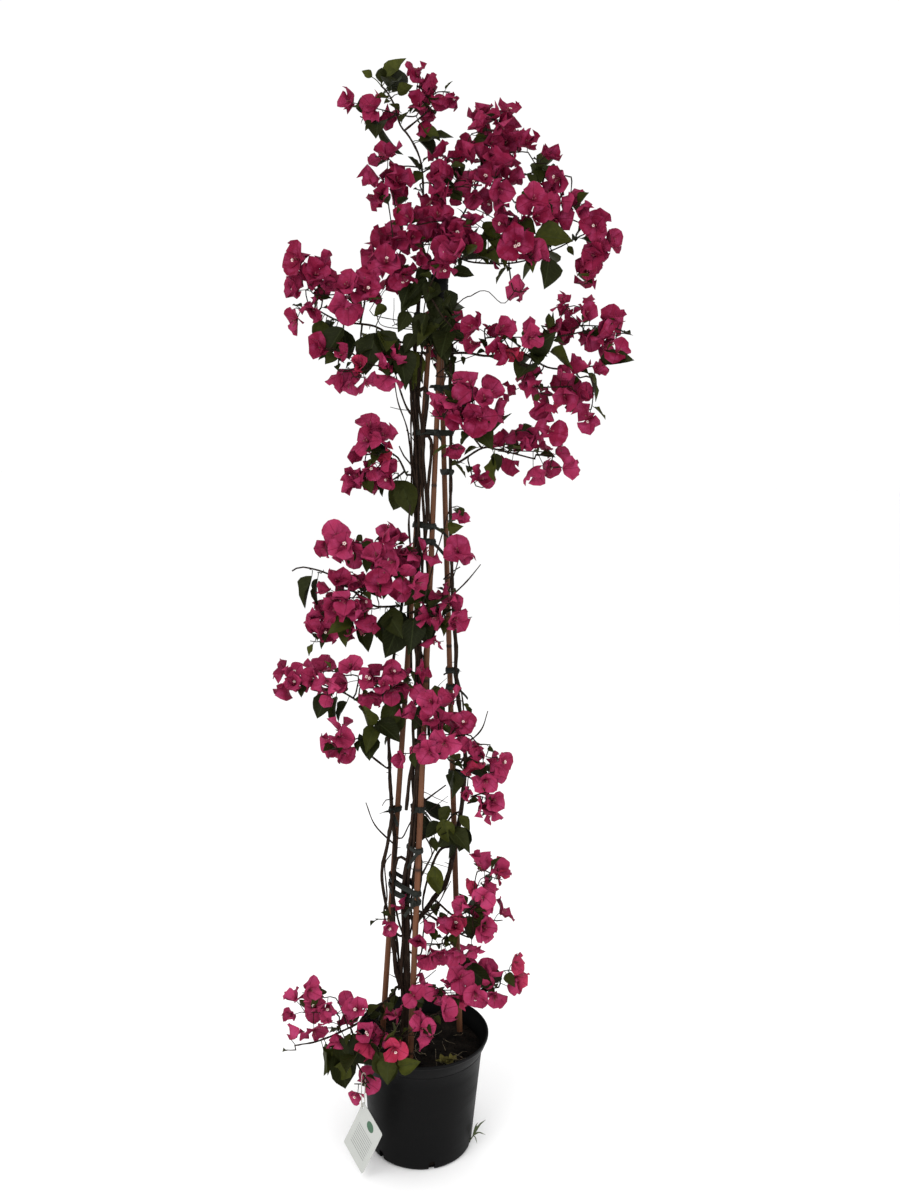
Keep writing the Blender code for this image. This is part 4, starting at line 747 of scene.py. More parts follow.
def bloom_pose(bunch_number: int, bloom_number: int, attempt: int, cluster: Cluster, stalk: Rod) -> Bloom:
    """Draw one bloom of a cluster as the source of the solids draws it.

    Args:
        bunch_number: The bunch's place in the list of bunches.
        bloom_number: The bloom's number in its bunch, from 1.
        attempt: Which try at a free place this is.
        cluster: The cluster that it belongs to.
        stalk: The stalk that it grows from.

    Returns:
        The bloom.
    """
    draw = np.random.default_rng((BLOOM_SEED, bunch_number, bloom_number, attempt))
    reach = draw.uniform(0.25, 1.0) ** 0.5
    place = np.array(cluster.centre) + unit(draw.normal(size=3)) * reach * np.array(cluster.spread)
    seat, outward = seat_on((stalk,), TWIG_SIDES, place, draw.uniform(RING_MARGIN, END_MARGIN))
    root = seat - 0.5 * SEAT_DEPTH * (outward + unit(place - seat))
    axis = unit(unit(place - root) + 0.55 * unit(draw.normal(size=3)) + np.array((0.0, -0.55, 0.10)))
    side = unit(np.cross(axis, draw.normal(size=3)))
    lobes = 2 if draw.random() < YOUNG_SHARE else 3
    rise = math.radians(draw.uniform(14.0, 46.0) if lobes == 3 else draw.uniform(38.0, 58.0))
    return Bloom(place, root, axis, side, draw.uniform(*BRACT_LENGTH), rise, lobes)


def leaf_pose(shoot_number: int, leaf_number: int, attempt: int, cluster: Cluster, twigs: list[Rod]) -> Leaf:
    """Draw one leaf of a cluster as the source of the solids draws it.

    Args:
        shoot_number: The shoot's place in the list of shoots.
        leaf_number: The leaf's number on its shoot, from 1.
        attempt: Which try at a free place this is.
        cluster: The cluster that it belongs to.
        twigs: The twigs of the shoot.

    Returns:
        The leaf.
    """
    draw = np.random.default_rng((LEAF_SEED, shoot_number, leaf_number, attempt))
    aim = np.array(cluster.centre) + unit(draw.normal(size=3)) * draw.random() * np.array(cluster.spread)
    seat, facing = seat_on(twigs, TWIG_SIDES, aim, draw.uniform(RING_MARGIN, END_MARGIN))
    outward = unit(unit(aim - seat) + 0.6 * facing)
    root = seat - outward * SEAT_DEPTH
    base = root + outward * PETIOLE_LENGTH
    along = unit(outward + np.array((0.0, -0.1, -0.45)) + 0.35 * draw.normal(size=3))
    tilt = np.array((0.0, -0.35, 1.0)) + 0.45 * draw.normal(size=3)
    face = unit(tilt - np.dot(tilt, along) * along)
    return Leaf(root, base, along, face, draw.uniform(*LEAF_LENGTH))


def bunch_stalk(bunch: Bunch, twigs: list[Rod]) -> Rod:
    """Return the stalk that runs from a shoot through the length of each of a bunch's clusters."""
    centres = [np.array(cluster.centre) for cluster in bunch.clusters]
    before = spot_on(twigs, centres[0])
    stops: list[np.ndarray] = []
    for centre, cluster, after in zip(centres, bunch.clusters, [*centres[1:], None]):
        lean = np.zeros(3)
        longest = int(np.argmax(cluster.spread))
        lean[longest] = 0.5 * cluster.spread[longest]
        onward = centre - before if after is None else after - centre
        if np.dot(lean, onward) < 0.0:
            lean = -lean
        stops += [centre - lean, centre + lean]
        before = stops[-1]
    return seated_rod(twigs, TWIG_SIDES, stops, STALK_RADIUS, 0.06)


def shoot_rods(shoot: Shoot, stems: Iterable[Rod]) -> list[Rod]:
    """Return a shoot's twigs: the first is seated on the stems, the rest grow from the twigs before."""
    rods = [seated_rod(stems, STEM_SIDES, shoot.paths[0], TWIG_RADIUS, 0.08)]
    for path in shoot.paths[1:]:
        first = spot_on(rods, np.array(path[0]))
        rods.append(smooth_rod((first, *path), TWIG_TIP_RADIUS, TWIG_TIP_RADIUS, 0.08))
    return rods


def cane_rod(name: str) -> Rod:
    """Return a cane's axis from its foot in the soil to its head in the cap."""
    foot = np.array((*CANE_FEET[name], SOIL_TOP))
    head = np.array((*CANE_HEADS[name], CANE_HEAD_Z))
    down = (foot - head) / (CANE_HEAD_Z - SOIL_TOP)
    return Rod(np.array((foot + down * CANE_DEPTH, head)), np.array((CANE_FOOT_RADIUS, CANE_HEAD_RADIUS)))


class PackedSurface:
    """The surface of a node of the frame, to tell which growth it holds."""

    def __init__(self, node: str) -> None:
        """Read the node's faces."""
        mesh = frame["nodes"][node].data
        corners = [vertex.co for vertex in mesh.vertices]
        self.tree = BVHTree.FromPolygons(corners, [tuple(face.vertices) for face in mesh.polygons])

    def holds(self, points: Iterable[np.ndarray], least: int) -> bool:
        """Tell whether enough points lie on the surface.

        Args:
            points: The points.
            least: How many of them have to lie on it.

        Returns:
            True if they do.
        """
        reach = [self.tree.find_nearest(Vector(point))[3] for point in points]
        return sum(distance < MATCH for distance in reach) >= least


@dataclass(frozen=True, eq=False)
class Spray:
    """A stalk of blooms that the frame has no node for."""

    shoot: str
    stalk: Rod
    blooms: list[Bloom]


def in_cad_box(points: Iterable[np.ndarray]) -> bool:
    """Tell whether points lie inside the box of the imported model."""
    low, high = np.array(CAD_BOX)
    return all(bool(np.all(point > low) and np.all(point < high)) for point in points)


def loosened(bloom: Bloom, seed: int) -> Bloom:
    """Return a bloom turned and opened by chance."""
    draw = np.random.default_rng((SPRAY_SEED, seed))
    axis = unit(bloom.axis + 0.8 * unit(draw.normal(size=3)))
    rise = math.radians(draw.uniform(18.0, 62.0))
    return replace(bloom, axis=axis, side=unit(np.cross(axis, bloom.side)), rise=rise,
                   length=bloom.length * draw.uniform(0.84, 1.06))


def packed_growth(node: str, clusters: Iterable[Cluster], tries: int, least: int, pose: Callable,
                  source: Any) -> list:
    """Draw a node's leaves or blooms again and return those that the frame holds.

    Args:
        node: The node.
        clusters: The places that hold them.
        tries: How many draws each may have had.
        least: How many tips of each have to lie on the node.
        pose: What draws one, from its number, the attempt, its cluster and the source.
        source: The rod or rods that they grow from.

    Returns:
        The leaves or blooms.
    """
    surface = PackedSurface(node)
    places = [cluster for cluster in clusters for _ in range(cluster.count)]
    found = []
    for number, cluster in enumerate(places, start=1):
        for attempt in range(tries):
            item = pose(number, attempt, cluster, source)
            if surface.holds(item.tips(), least):
                found.append(item)
                break
    return found


@dataclass
class Growth:
    """The whole plant as the frame holds it: stems, twigs, stalks, leaves and blooms."""

    stems: dict[str, Rod] = field(default_factory=dict)
    twigs: dict[str, list[Rod]] = field(default_factory=dict)
    stalks: dict[str, Rod] = field(default_factory=dict)
    leaves: dict[str, list[Leaf]] = field(default_factory=dict)
    blooms: dict[str, list[Bloom]] = field(default_factory=dict)
    sprays: list[Spray] = field(default_factory=list)

    def rods(self) -> list[Rod]:
        """Return every stem and twig."""
        return [*self.stems.values(), *(rod for group in self.twigs.values() for rod in group)]

    def draw(self) -> "Growth":
        """Draw everything and return the plant."""
        trunk = smooth_rod(metres(TRUNK), 0.0075, 0.0034, 0.08)
        left, right = metres(LEFT_STEM), metres(RIGHT_STEM)
        left = smooth_rod((spot_on((trunk,), np.array(left[0])), *left), 0.0042, 0.0024, 0.09)
        right = smooth_rod((spot_on((trunk,), np.array(right[0])), *right), 0.0045, 0.0026, 0.09)
        self.stems = {"trunk": trunk, "left": left, "right": right}
        self.twigs = {shoot.name: shoot_rods(shoot, self.stems.values()) for shoot in SHOOTS}
        self.stalks = {bunch.name: bunch_stalk(bunch, self.twigs[bunch.shoot]) for bunch in BUNCHES}
        for number, bunch in enumerate(BUNCHES):
            self.blooms[bunch.name] = packed_growth(bunch.name, bunch.clusters, BLOOM_TRIES, 2,
                                                    partial(bloom_pose, number), self.stalks[bunch.name])
        for number, shoot in enumerate(SHOOTS):
            self.leaves[shoot.name] = packed_growth(shoot.name, shoot.leaves, LEAF_TRIES, 1,
                                                    partial(leaf_pose, number), self.twigs[shoot.name])
        taken = [bloom.place for group in self.blooms.values() for bloom in group]
        stalks = [(shoot, *row) for shoot, rows in SEEN_SPRAYS for row in rows]
        for number, (shoot, depth, *spots) in enumerate(stalks):
            # A spot that gives no number of blooms has one
            clusters = tuple(Cluster(seen_at(*spot[:2], depth), SPRAY_SPREAD, (*spot, 1)[2])
                             for spot in spots)
            self.sprays.append(self.spray_of(number, shoot, clusters, taken))
        return self

    def spray_of(self, number: int, shoot: str, clusters: tuple[Cluster, ...],
                 taken: list[np.ndarray]) -> Spray:
        """Return a stalk of blooms that keep clear of the blooms drawn before.

        Args:
            number: Its place in the list.
            shoot: The shoot that it grows from.
            clusters: The places that it passes, with how many bloom there.
            taken: Where other blooms are, to which its own are added.

        Returns:
            The spray.
        """
        stalk = bunch_stalk(Bunch("spray", shoot, clusters), self.twigs[shoot])
        found: list[Bloom] = []
        for cluster in (cluster for cluster in clusters for _ in range(cluster.count)):
            for attempt in range(BLOOM_TRIES):
                bloom = bloom_pose(SPRAY_SEED + number, len(found), attempt, cluster, stalk)
                bloom = loosened(bloom, len(taken) * BLOOM_TRIES + attempt)
                gap = min(float(np.linalg.norm(bloom.place - other)) for other in taken)
                if gap > SPRAY_GAP and in_cad_box(bloom.tips()):
                    found.append(bloom)
                    taken.append(bloom.place)
                    break
        return Spray(shoot, stalk, found)


class Graph:
    """A node tree under way, to which each call adds one step."""

    def __init__(self, tree: bpy.types.NodeTree) -> None:
        """Start from a tree."""
        self.tree = tree

    def feed(self, target: Socket, value: Any) -> None:
        """Link or set an input.

        Args:
            target: The input socket.
            value: A socket, a number, a colour or a vector.
        """
        if isinstance(value, Socket):
            self.tree.links.new(value, target)
        elif isinstance(value, tuple) and target.type == "RGBA":
            target.default_value = (*value, 1.0)
        else:
            target.default_value = value

    def add(self, kind: str, inputs: dict[Any, Any], **settings: Any) -> bpy.types.Node:
        """Add a node.

        Args:
            kind: Blender's name for the node.
            inputs: What each of its inputs gets, by name or place.
            **settings: The node's own settings.

        Returns:
            The node.
        """
        node = self.tree.nodes.new(kind)
        for name, value in settings.items():
            setattr(node, name, value)
        for name, value in inputs.items():
            self.feed(node.inputs[name], value)
        return node


class Recipe(Graph):
    """A procedural material under way."""

    def __init__(self, name: str) -> None:
        """Start a material with one Principled shader."""
        self.material = bpy.data.materials.new(name)
        self.material.use_nodes = True
        super().__init__(self.material.node_tree)
        self.shader = self.tree.nodes["Principled BSDF"]
        self.here = self.add("ShaderNodeTexCoord", {}).outputs["Object"]

    def stretched(self, scale: Triple) -> Socket:
        """Return the object's own coordinates, scaled by axis."""
        return self.add("ShaderNodeMapping", {"Vector": self.here, "Scale": scale}).outputs["Vector"]

    def attribute(self, name: str) -> Socket:
        """Return a number that the mesh holds for each of its points."""
        return self.add("ShaderNodeAttribute", {}, attribute_name=name).outputs["Fac"]

    def chart(self) -> tuple[Socket, Socket, Socket]:
        """Return the piece's own UV map, and its two axes."""
        chart = self.add("ShaderNodeUVMap", {}, uv_map="UVMap").outputs["UV"]
        split = self.add("ShaderNodeSeparateXYZ", {"Vector": chart})
        return chart, split.outputs["X"], split.outputs["Y"]

    def noise(self, scale: float, detail: float = 2.0, where: Socket | None = None,
              roughness: float = 0.5) -> Socket:
        """Return smooth noise from 0 to 1.

        Args:
            scale: Waves a metre, or for each unit of the coordinates.
            detail: How many finer layers it has.
            where: The coordinates, if not the object's own.
            roughness: How strong the finer layers are.

        Returns:
            The noise.
        """
        inputs = {"Vector": where or self.here, "Scale": scale, "Detail": detail, "Roughness": roughness}
        return self.add("ShaderNodeTexNoise", inputs).outputs["Fac"]

    def cells(self, scale: float, where: Socket | None = None, feature: str = "DISTANCE_TO_EDGE") -> Socket:
        """Return how far each point is from the edge or the middle of its cell."""
        inputs = {"Vector": where or self.here, "Scale": scale}
        return self.add("ShaderNodeTexVoronoi", inputs, feature=feature).outputs["Distance"]

    def math(self, operation: str, first: Any, second: Any = 0.0, clamp: bool = False) -> Socket:
        """Return a sum of one or two numbers."""
        node = self.add("ShaderNodeMath", {0: first, 1: second}, operation=operation, use_clamp=clamp)
        return node.outputs["Value"]

    def times(self, first: Any, second: Any) -> Socket:
        """Return a product."""
        return self.math("MULTIPLY", first, second)

    def spread(self, value: Socket, low: float, high: float, start: float = 0.0, end: float = 1.0) -> Socket:
        """Return a number moved from one range to another, and held within it."""
        inputs = {"Value": value, "From Min": low, "From Max": high, "To Min": start, "To Max": end}
        return self.add("ShaderNodeMapRange", inputs).outputs["Result"]

    def blend(self, share: Any, first: Any, second: Any) -> Socket:
        """Return a mix of two colours, with a share of the second."""
        node = self.add("ShaderNodeMix", {"Factor": share}, data_type="RGBA")
        self.feed(node.inputs[6], first)
        self.feed(node.inputs[7], second)
        return node.outputs[2]

    def ribs(self, slant: float, waves: float, wander: float, stray: float) -> tuple[Socket, ...]:
        """Return what the veins of a bract or a leaf are drawn with.

        Args:
            slant: How far the side ribs lean towards the tip.
            waves: How close together they are.
            wander: The scale of their wavering.
            stray: The strength of their wavering.

        Returns:
            The UV map, the share of the length, the distance from the midrib and a sine for the ribs.
        """
        chart, along, side = self.chart()
        across = self.math("ABSOLUTE", self.math("SUBTRACT", side, 0.5))
        phase = self.math("SUBTRACT", along, self.times(across, slant))
        bent = self.math("ADD", phase, self.times(self.noise(wander, 2.0, chart), stray))
        return chart, along, across, self.math("SINE", self.times(bent, waves))

    def bump(self, height: Socket, distance: float) -> None:
        """Raise the surface's shading by a height from 0 to 1, times a distance in metres."""
        raised = self.add("ShaderNodeBump", {"Height": height, "Distance": distance, "Strength": 1.0})
        self.feed(self.shader.inputs["Normal"], raised.outputs["Normal"])

    def finish(self, colour: Any, roughness: Any, **plain: Any) -> bpy.types.Material:
        """Set the shader.

        Args:
            colour: Its base colour.
            roughness: Its roughness.
            **plain: Other inputs, with spaces as underscores.

        Returns:
            The material.
        """
        self.feed(self.shader.inputs["Base Color"], colour)
        self.feed(self.shader.inputs["Roughness"], roughness)
        for name, value in plain.items():
            self.feed(self.shader.inputs[name.replace("_", " ")], value)
        return self.material


@dataclass(frozen=True)
class PlasticFinish:
    """Black moulded plastic: satin, with a fine grain, dust and scuffs."""

    name: str
    base: Colour = (0.0028, 0.0028, 0.0029)
    dust: Colour = (0.0075, 0.0070, 0.0066)
    roughness: float = 0.40

    def make(self) -> bpy.types.Material:
        """Return the material."""
        recipe = Recipe(self.name)
        scuffs = recipe.noise(9.0, 6.0, recipe.stretched((1.0, 1.0, 5.0)), 0.62)
        specks = recipe.spread(recipe.noise(420.0, 2.0), 0.66, 0.80)
        settled = recipe.times(recipe.spread(scuffs, 0.52, 0.80), 0.30)
        dusty = recipe.math("ADD", settled, recipe.times(specks, 0.16), clamp=True)
        recipe.bump(recipe.noise(1500.0, 2.0), 0.00006)
        rough = recipe.spread(scuffs, 0.30, 0.75, self.roughness, self.roughness + 0.16)
        return recipe.finish(recipe.blend(dusty, self.base, self.dust), rough, Specular_IOR_Level=0.055)


@dataclass(frozen=True)
class SoilFinish:
    """Moist dark compost with paler crumbs."""

    name: str = "compost"
    wet: Colour = (0.0024, 0.0018, 0.0014)
    dry: Colour = (0.014, 0.010, 0.007)

    def make(self) -> bpy.types.Material:
        """Return the material."""
        recipe = Recipe(self.name)
        crumbs = recipe.cells(260.0, feature="F1")
        patches = recipe.noise(34.0, 5.0)
        share = recipe.times(recipe.spread(patches, 0.40, 0.72), recipe.spread(crumbs, 0.1, 0.7))
        recipe.bump(recipe.noise(420.0, 4.0), 0.0012)
        colour = recipe.blend(share, self.wet, self.dry)
        return recipe.finish(colour, recipe.spread(patches, 0.3, 0.7, 1.0, 0.86), Specular_IOR_Level=0.05)


@dataclass(frozen=True)
class BambooFinish:
    """Weathered bamboo: long fibres, dark stains and a darker band at each joint."""

    name: str = "bamboo"
    pale: Colour = (0.138, 0.058, 0.029)
    brown: Colour = (0.070, 0.028, 0.0135)
    stain: Colour = (0.018, 0.010, 0.007)

    def make(self) -> bpy.types.Material:
        """Return the material."""
        recipe = Recipe(self.name)
        fibres = recipe.noise(1.0, 4.0, recipe.stretched((700.0, 700.0, 9.0)), 0.6)
        washes = recipe.noise(1.0, 3.0, recipe.stretched((60.0, 60.0, 5.0)))
        wood = recipe.blend(recipe.spread(washes, 0.34, 0.66), self.pale, self.brown)
        wood = recipe.blend(recipe.spread(fibres, 0.52, 0.80, 0.0, 0.55), wood, self.brown)
        spots = recipe.noise(1.0, 5.0, recipe.stretched((150.0, 150.0, 48.0)), 0.65)
        marks = recipe.math("MAXIMUM", recipe.attribute("joint"), recipe.spread(spots, 0.62, 0.76, 0.0, 0.7))
        recipe.bump(fibres, 0.00018)
        return recipe.finish(recipe.blend(marks, wood, self.stain), recipe.spread(fibres, 0.3, 0.8, 0.5, 0.7),
                             Specular_IOR_Level=0.12)


@dataclass(frozen=True)
class BarkFinish:
    """Ridged bark with pale streaks and lichen patches."""

    name: str
    dark: Colour = (0.0085, 0.0054, 0.0040)
    ridge: Colour = (0.030, 0.017, 0.0110)
    lichen: Colour = (0.045, 0.037, 0.026)
    relief: float = 0.0011

    def make(self) -> bpy.types.Material:
        """Return the material."""
        recipe = Recipe(self.name)
        ridges = recipe.noise(1.0, 6.0, recipe.stretched((420.0, 420.0, 60.0)), 0.65)
        patches = recipe.noise(55.0, 3.0)
        bark = recipe.blend(recipe.spread(ridges, 0.38, 0.68), self.dark, self.ridge)
        bark = recipe.blend(recipe.spread(patches, 0.58, 0.74, 0.0, 0.45), bark, self.lichen)
        recipe.bump(ridges, self.relief)
        return recipe.finish(bark, recipe.spread(ridges, 0.3, 0.7, 0.95, 0.8), Specular_IOR_Level=0.07)


@dataclass(frozen=True)
class TapeFinish:
    """Dark green garden tape, a little shiny where it is stretched."""

    name: str = "tie_tape"
    green: Colour = (0.0105, 0.0120, 0.0096)
    worn: Colour = (0.026, 0.029, 0.024)

    def make(self) -> bpy.types.Material:
        """Return the material."""
        recipe = Recipe(self.name)
        creases = recipe.noise(1.0, 5.0, recipe.stretched((120.0, 120.0, 520.0)), 0.6)
        recipe.bump(creases, 0.0005)
        colour = recipe.blend(recipe.spread(creases, 0.50, 0.78, 0.0, 0.75), self.green, self.worn)
        return recipe.finish(colour, recipe.spread(creases, 0.3, 0.75, 0.66, 0.48), Specular_IOR_Level=0.12)


@dataclass(frozen=True)
class BractFinish:
    """Papery magenta bracts: a dark midrib, netted veins, and a hue that varies from bloom to bloom, with
    painted shade that darkens the blooms high in the crown.
    """

    name: str = "papery_bract"
    deep: Colour = (0.155, 0.0050, 0.026)
    bright: Colour = (0.392, 0.039, 0.112)
    lilac: Colour = (0.400, 0.060, 0.165)
    young: Colour = (0.450, 0.024, 0.034)
    vein: Colour = (0.085, 0.002, 0.014)

    def make(self) -> bpy.types.Material:
        """Return the material."""
        recipe = Recipe(self.name)
        chart, along, across, wave = recipe.ribs(1.1, 40.0, 9.0, 0.5)
        net = recipe.times(recipe.spread(recipe.cells(15.0, chart), 0.07, 0.0), 0.34)
        fine = recipe.math("MAXIMUM", recipe.times(recipe.spread(wave, 0.62, 1.0), 0.42), net)
        veins = recipe.math("MAXIMUM", recipe.spread(across, 0.030, 0.006), fine)
        # The tone attribute sets deep against bright. It is partly random, and partly painted light and
        # shade: brighter low on the plant, darker in the crown.
        tint = recipe.blend(recipe.attribute("tone"), self.deep, self.bright)
        tint = recipe.blend(recipe.spread(recipe.noise(70.0, 3.0), 0.45, 0.80, 0.0, 0.55), tint, self.lilac)
        tint = recipe.blend(recipe.attribute("blush"), tint, self.young)
        tint = recipe.blend(recipe.spread(along, 0.34, 0.02, 0.0, 0.65), tint, self.deep)
        tint = recipe.blend(recipe.times(veins, 0.62), tint, self.vein)
        crinkle = recipe.noise(360.0, 3.0)
        recipe.bump(recipe.math("SUBTRACT", recipe.times(crinkle, 0.5), recipe.times(veins, 0.5)), 0.0007)
        return recipe.finish(tint, recipe.spread(crinkle, 0.3, 0.7, 0.50, 0.66), Specular_IOR_Level=0.05)


@dataclass(frozen=True)
class FlowerFinish:
    """The true flowers: a wine-red tube and a cream rim round a dark throat."""

    name: str = "true_flower"
    tube: Colour = (0.190, 0.012, 0.040)
    base: Colour = (0.120, 0.050, 0.030)
    cream: Colour = (0.560, 0.440, 0.400)
    throat: Colour = (0.150, 0.012, 0.026)

    def make(self) -> bpy.types.Material:
        """Return the material."""
        recipe = Recipe(self.name)
        part = recipe.attribute("part")
        length = recipe.noise(240.0, 2.0)
        tube = recipe.blend(recipe.spread(length, 0.4, 0.7), self.tube, self.base)
        petals = recipe.blend(recipe.spread(part, 0.55, 0.75), tube, self.cream)
        colour = recipe.blend(recipe.spread(part, 1.15, 1.6), petals, self.throat)
        recipe.bump(recipe.noise(900.0, 2.0), 0.0002)
        return recipe.finish(colour, recipe.spread(length, 0.3, 0.7, 0.45, 0.6))


@dataclass(frozen=True)
class LeafFinish:
    """Green leaves: pale ribs, mottling, and a hue that varies from leaf to leaf."""

    name: str
    old: Colour = (0.0066, 0.0084, 0.0022)
    fresh: Colour = (0.060, 0.066, 0.0085)
    rib: Colour = (0.030, 0.038, 0.012)
    spot: Colour = (0.024, 0.015, 0.006)

    def make(self) -> bpy.types.Material:
        """Return the material."""
        recipe = Recipe(self.name)
        _, _, across, wave = recipe.ribs(1.3, 44.0, 6.0, 0.22)
        side_ribs = recipe.spread(wave, 0.86, 1.0, 0.0, 0.6)
        veins = recipe.math("MAXIMUM", recipe.spread(across, 0.022, 0.008), side_ribs)
        green = recipe.blend(recipe.attribute("tone"), self.old, self.fresh)
        mottle = recipe.noise(110.0, 4.0)
        green = recipe.blend(recipe.spread(mottle, 0.35, 0.75, 0.0, 0.45), green, self.old)
        green = recipe.blend(recipe.times(veins, 0.5), green, self.rib)
        green = recipe.blend(recipe.spread(recipe.noise(300.0, 2.0), 0.70, 0.78), green, self.spot)
        recipe.bump(recipe.math("SUBTRACT", recipe.times(mottle, 0.6), veins), 0.0003)
        return recipe.finish(green, recipe.spread(mottle, 0.3, 0.7, 0.52, 0.66), Specular_IOR_Level=0.07)


@dataclass(frozen=True)
class CardFinish:
    """A printed card: paper grain, a plain leaf-green disc and grey rules in place of print."""

    name: str = "printed_card"
    paper: Colour = (0.420, 0.430, 0.405)
    shade: Colour = (0.370, 0.380, 0.360)
    disc: Colour = (0.012, 0.075, 0.030)
    rule: Colour = (0.120, 0.128, 0.120)

    def make(self) -> bpy.types.Material:
        """Return the material."""
        recipe = Recipe(self.name)
        chart, across, down = recipe.chart()
        grain = recipe.noise(38.0, 4.0, chart)
        paper = recipe.blend(recipe.spread(grain, 0.3, 0.7), self.paper, self.shade)
        side = recipe.math("DIVIDE", recipe.math("SUBTRACT", across, 0.56), 0.15)
        rise = recipe.math("DIVIDE", recipe.math("SUBTRACT", down, 0.35), 0.17)
        reach = recipe.math("ADD", recipe.times(side, side), recipe.times(rise, rise))
        rows = recipe.spread(recipe.math("SINE", recipe.times(down, 62.8)), 0.72, 0.80)
        for low, high, value in ((0.66, 0.67, down), (1.58, 1.57, down), (0.16, 0.17, across),
                                 (0.84, 0.83, across)):
            rows = recipe.times(rows, recipe.spread(value, low, high))
        face = recipe.attribute("part")
        printed = recipe.blend(recipe.times(recipe.spread(reach, 1.0, 0.94), face), paper, self.disc)
        printed = recipe.blend(recipe.times(rows, face), printed, self.rule)
        recipe.bump(recipe.noise(900.0, 3.0), 0.00006)
        return recipe.finish(printed, recipe.spread(grain, 0.3, 0.7, 0.42, 0.56))


@dataclass(frozen=True)
class StrawFinish:
    """Dry fibres and cord: pale straw with darker patches."""

    name: str
    pale: Colour = (0.190, 0.150, 0.085)
    dull: Colour = (0.060, 0.042, 0.024)

    def make(self) -> bpy.types.Material:
        """Return the material."""
        recipe = Recipe(self.name)
        fibres = recipe.noise(210.0, 4.0)
        recipe.bump(recipe.noise(1400.0, 2.0), 0.0003)
        colour = recipe.blend(recipe.spread(fibres, 0.40, 0.64), self.pale, self.dull)
        return recipe.finish(colour, recipe.spread(fibres, 0.3, 0.7, 0.6, 0.85))


@dataclass(frozen=True)
class FloorFinish:
    """A plain pale studio floor."""

    name: str = "studio_floor"
    pale: Colour = (0.985, 0.985, 0.985)
    soft: Colour = (0.975, 0.975, 0.975)

    def make(self) -> bpy.types.Material:
        """Return the material."""
        recipe = Recipe(self.name)
        return recipe.finish(recipe.blend(recipe.noise(3.0, 3.0), self.pale, self.soft), 0.85)


def tube_faces(rings: int, sides: int, closed: bool = False) -> list[tuple[int, ...]]:
    """Return the faces between rings of corners, and a cap at each end.

    Args:
        rings: How many rings there are.
        sides: How many corners a ring has.
        closed: Whether the last ring meets the first, so that there are no caps.

    Returns:
        The faces, with the caps last.
    """
    faces: list[tuple[int, ...]] = []
    for ring in range(rings if closed else rings - 1):
        low, high = ring * sides, (ring + 1) % rings * sides
        faces += [(low + side, low + (side + 1) % sides, high + (side + 1) % sides, high + side)
                  for side in range(sides)]
    if not closed:
        last = (rings - 1) * sides
        faces += [tuple(range(sides))[::-1], tuple(range(last, last + sides))]
    return faces


def stepped(radius: float, height: float, rows: Iterable[tuple[float, float]]) -> list[tuple[float, float]]:
    """Return points of an outline from their distances, in millimetres, to one radius and height."""
    return [(radius + out / 1000, height + up / 1000) for out, up in rows]


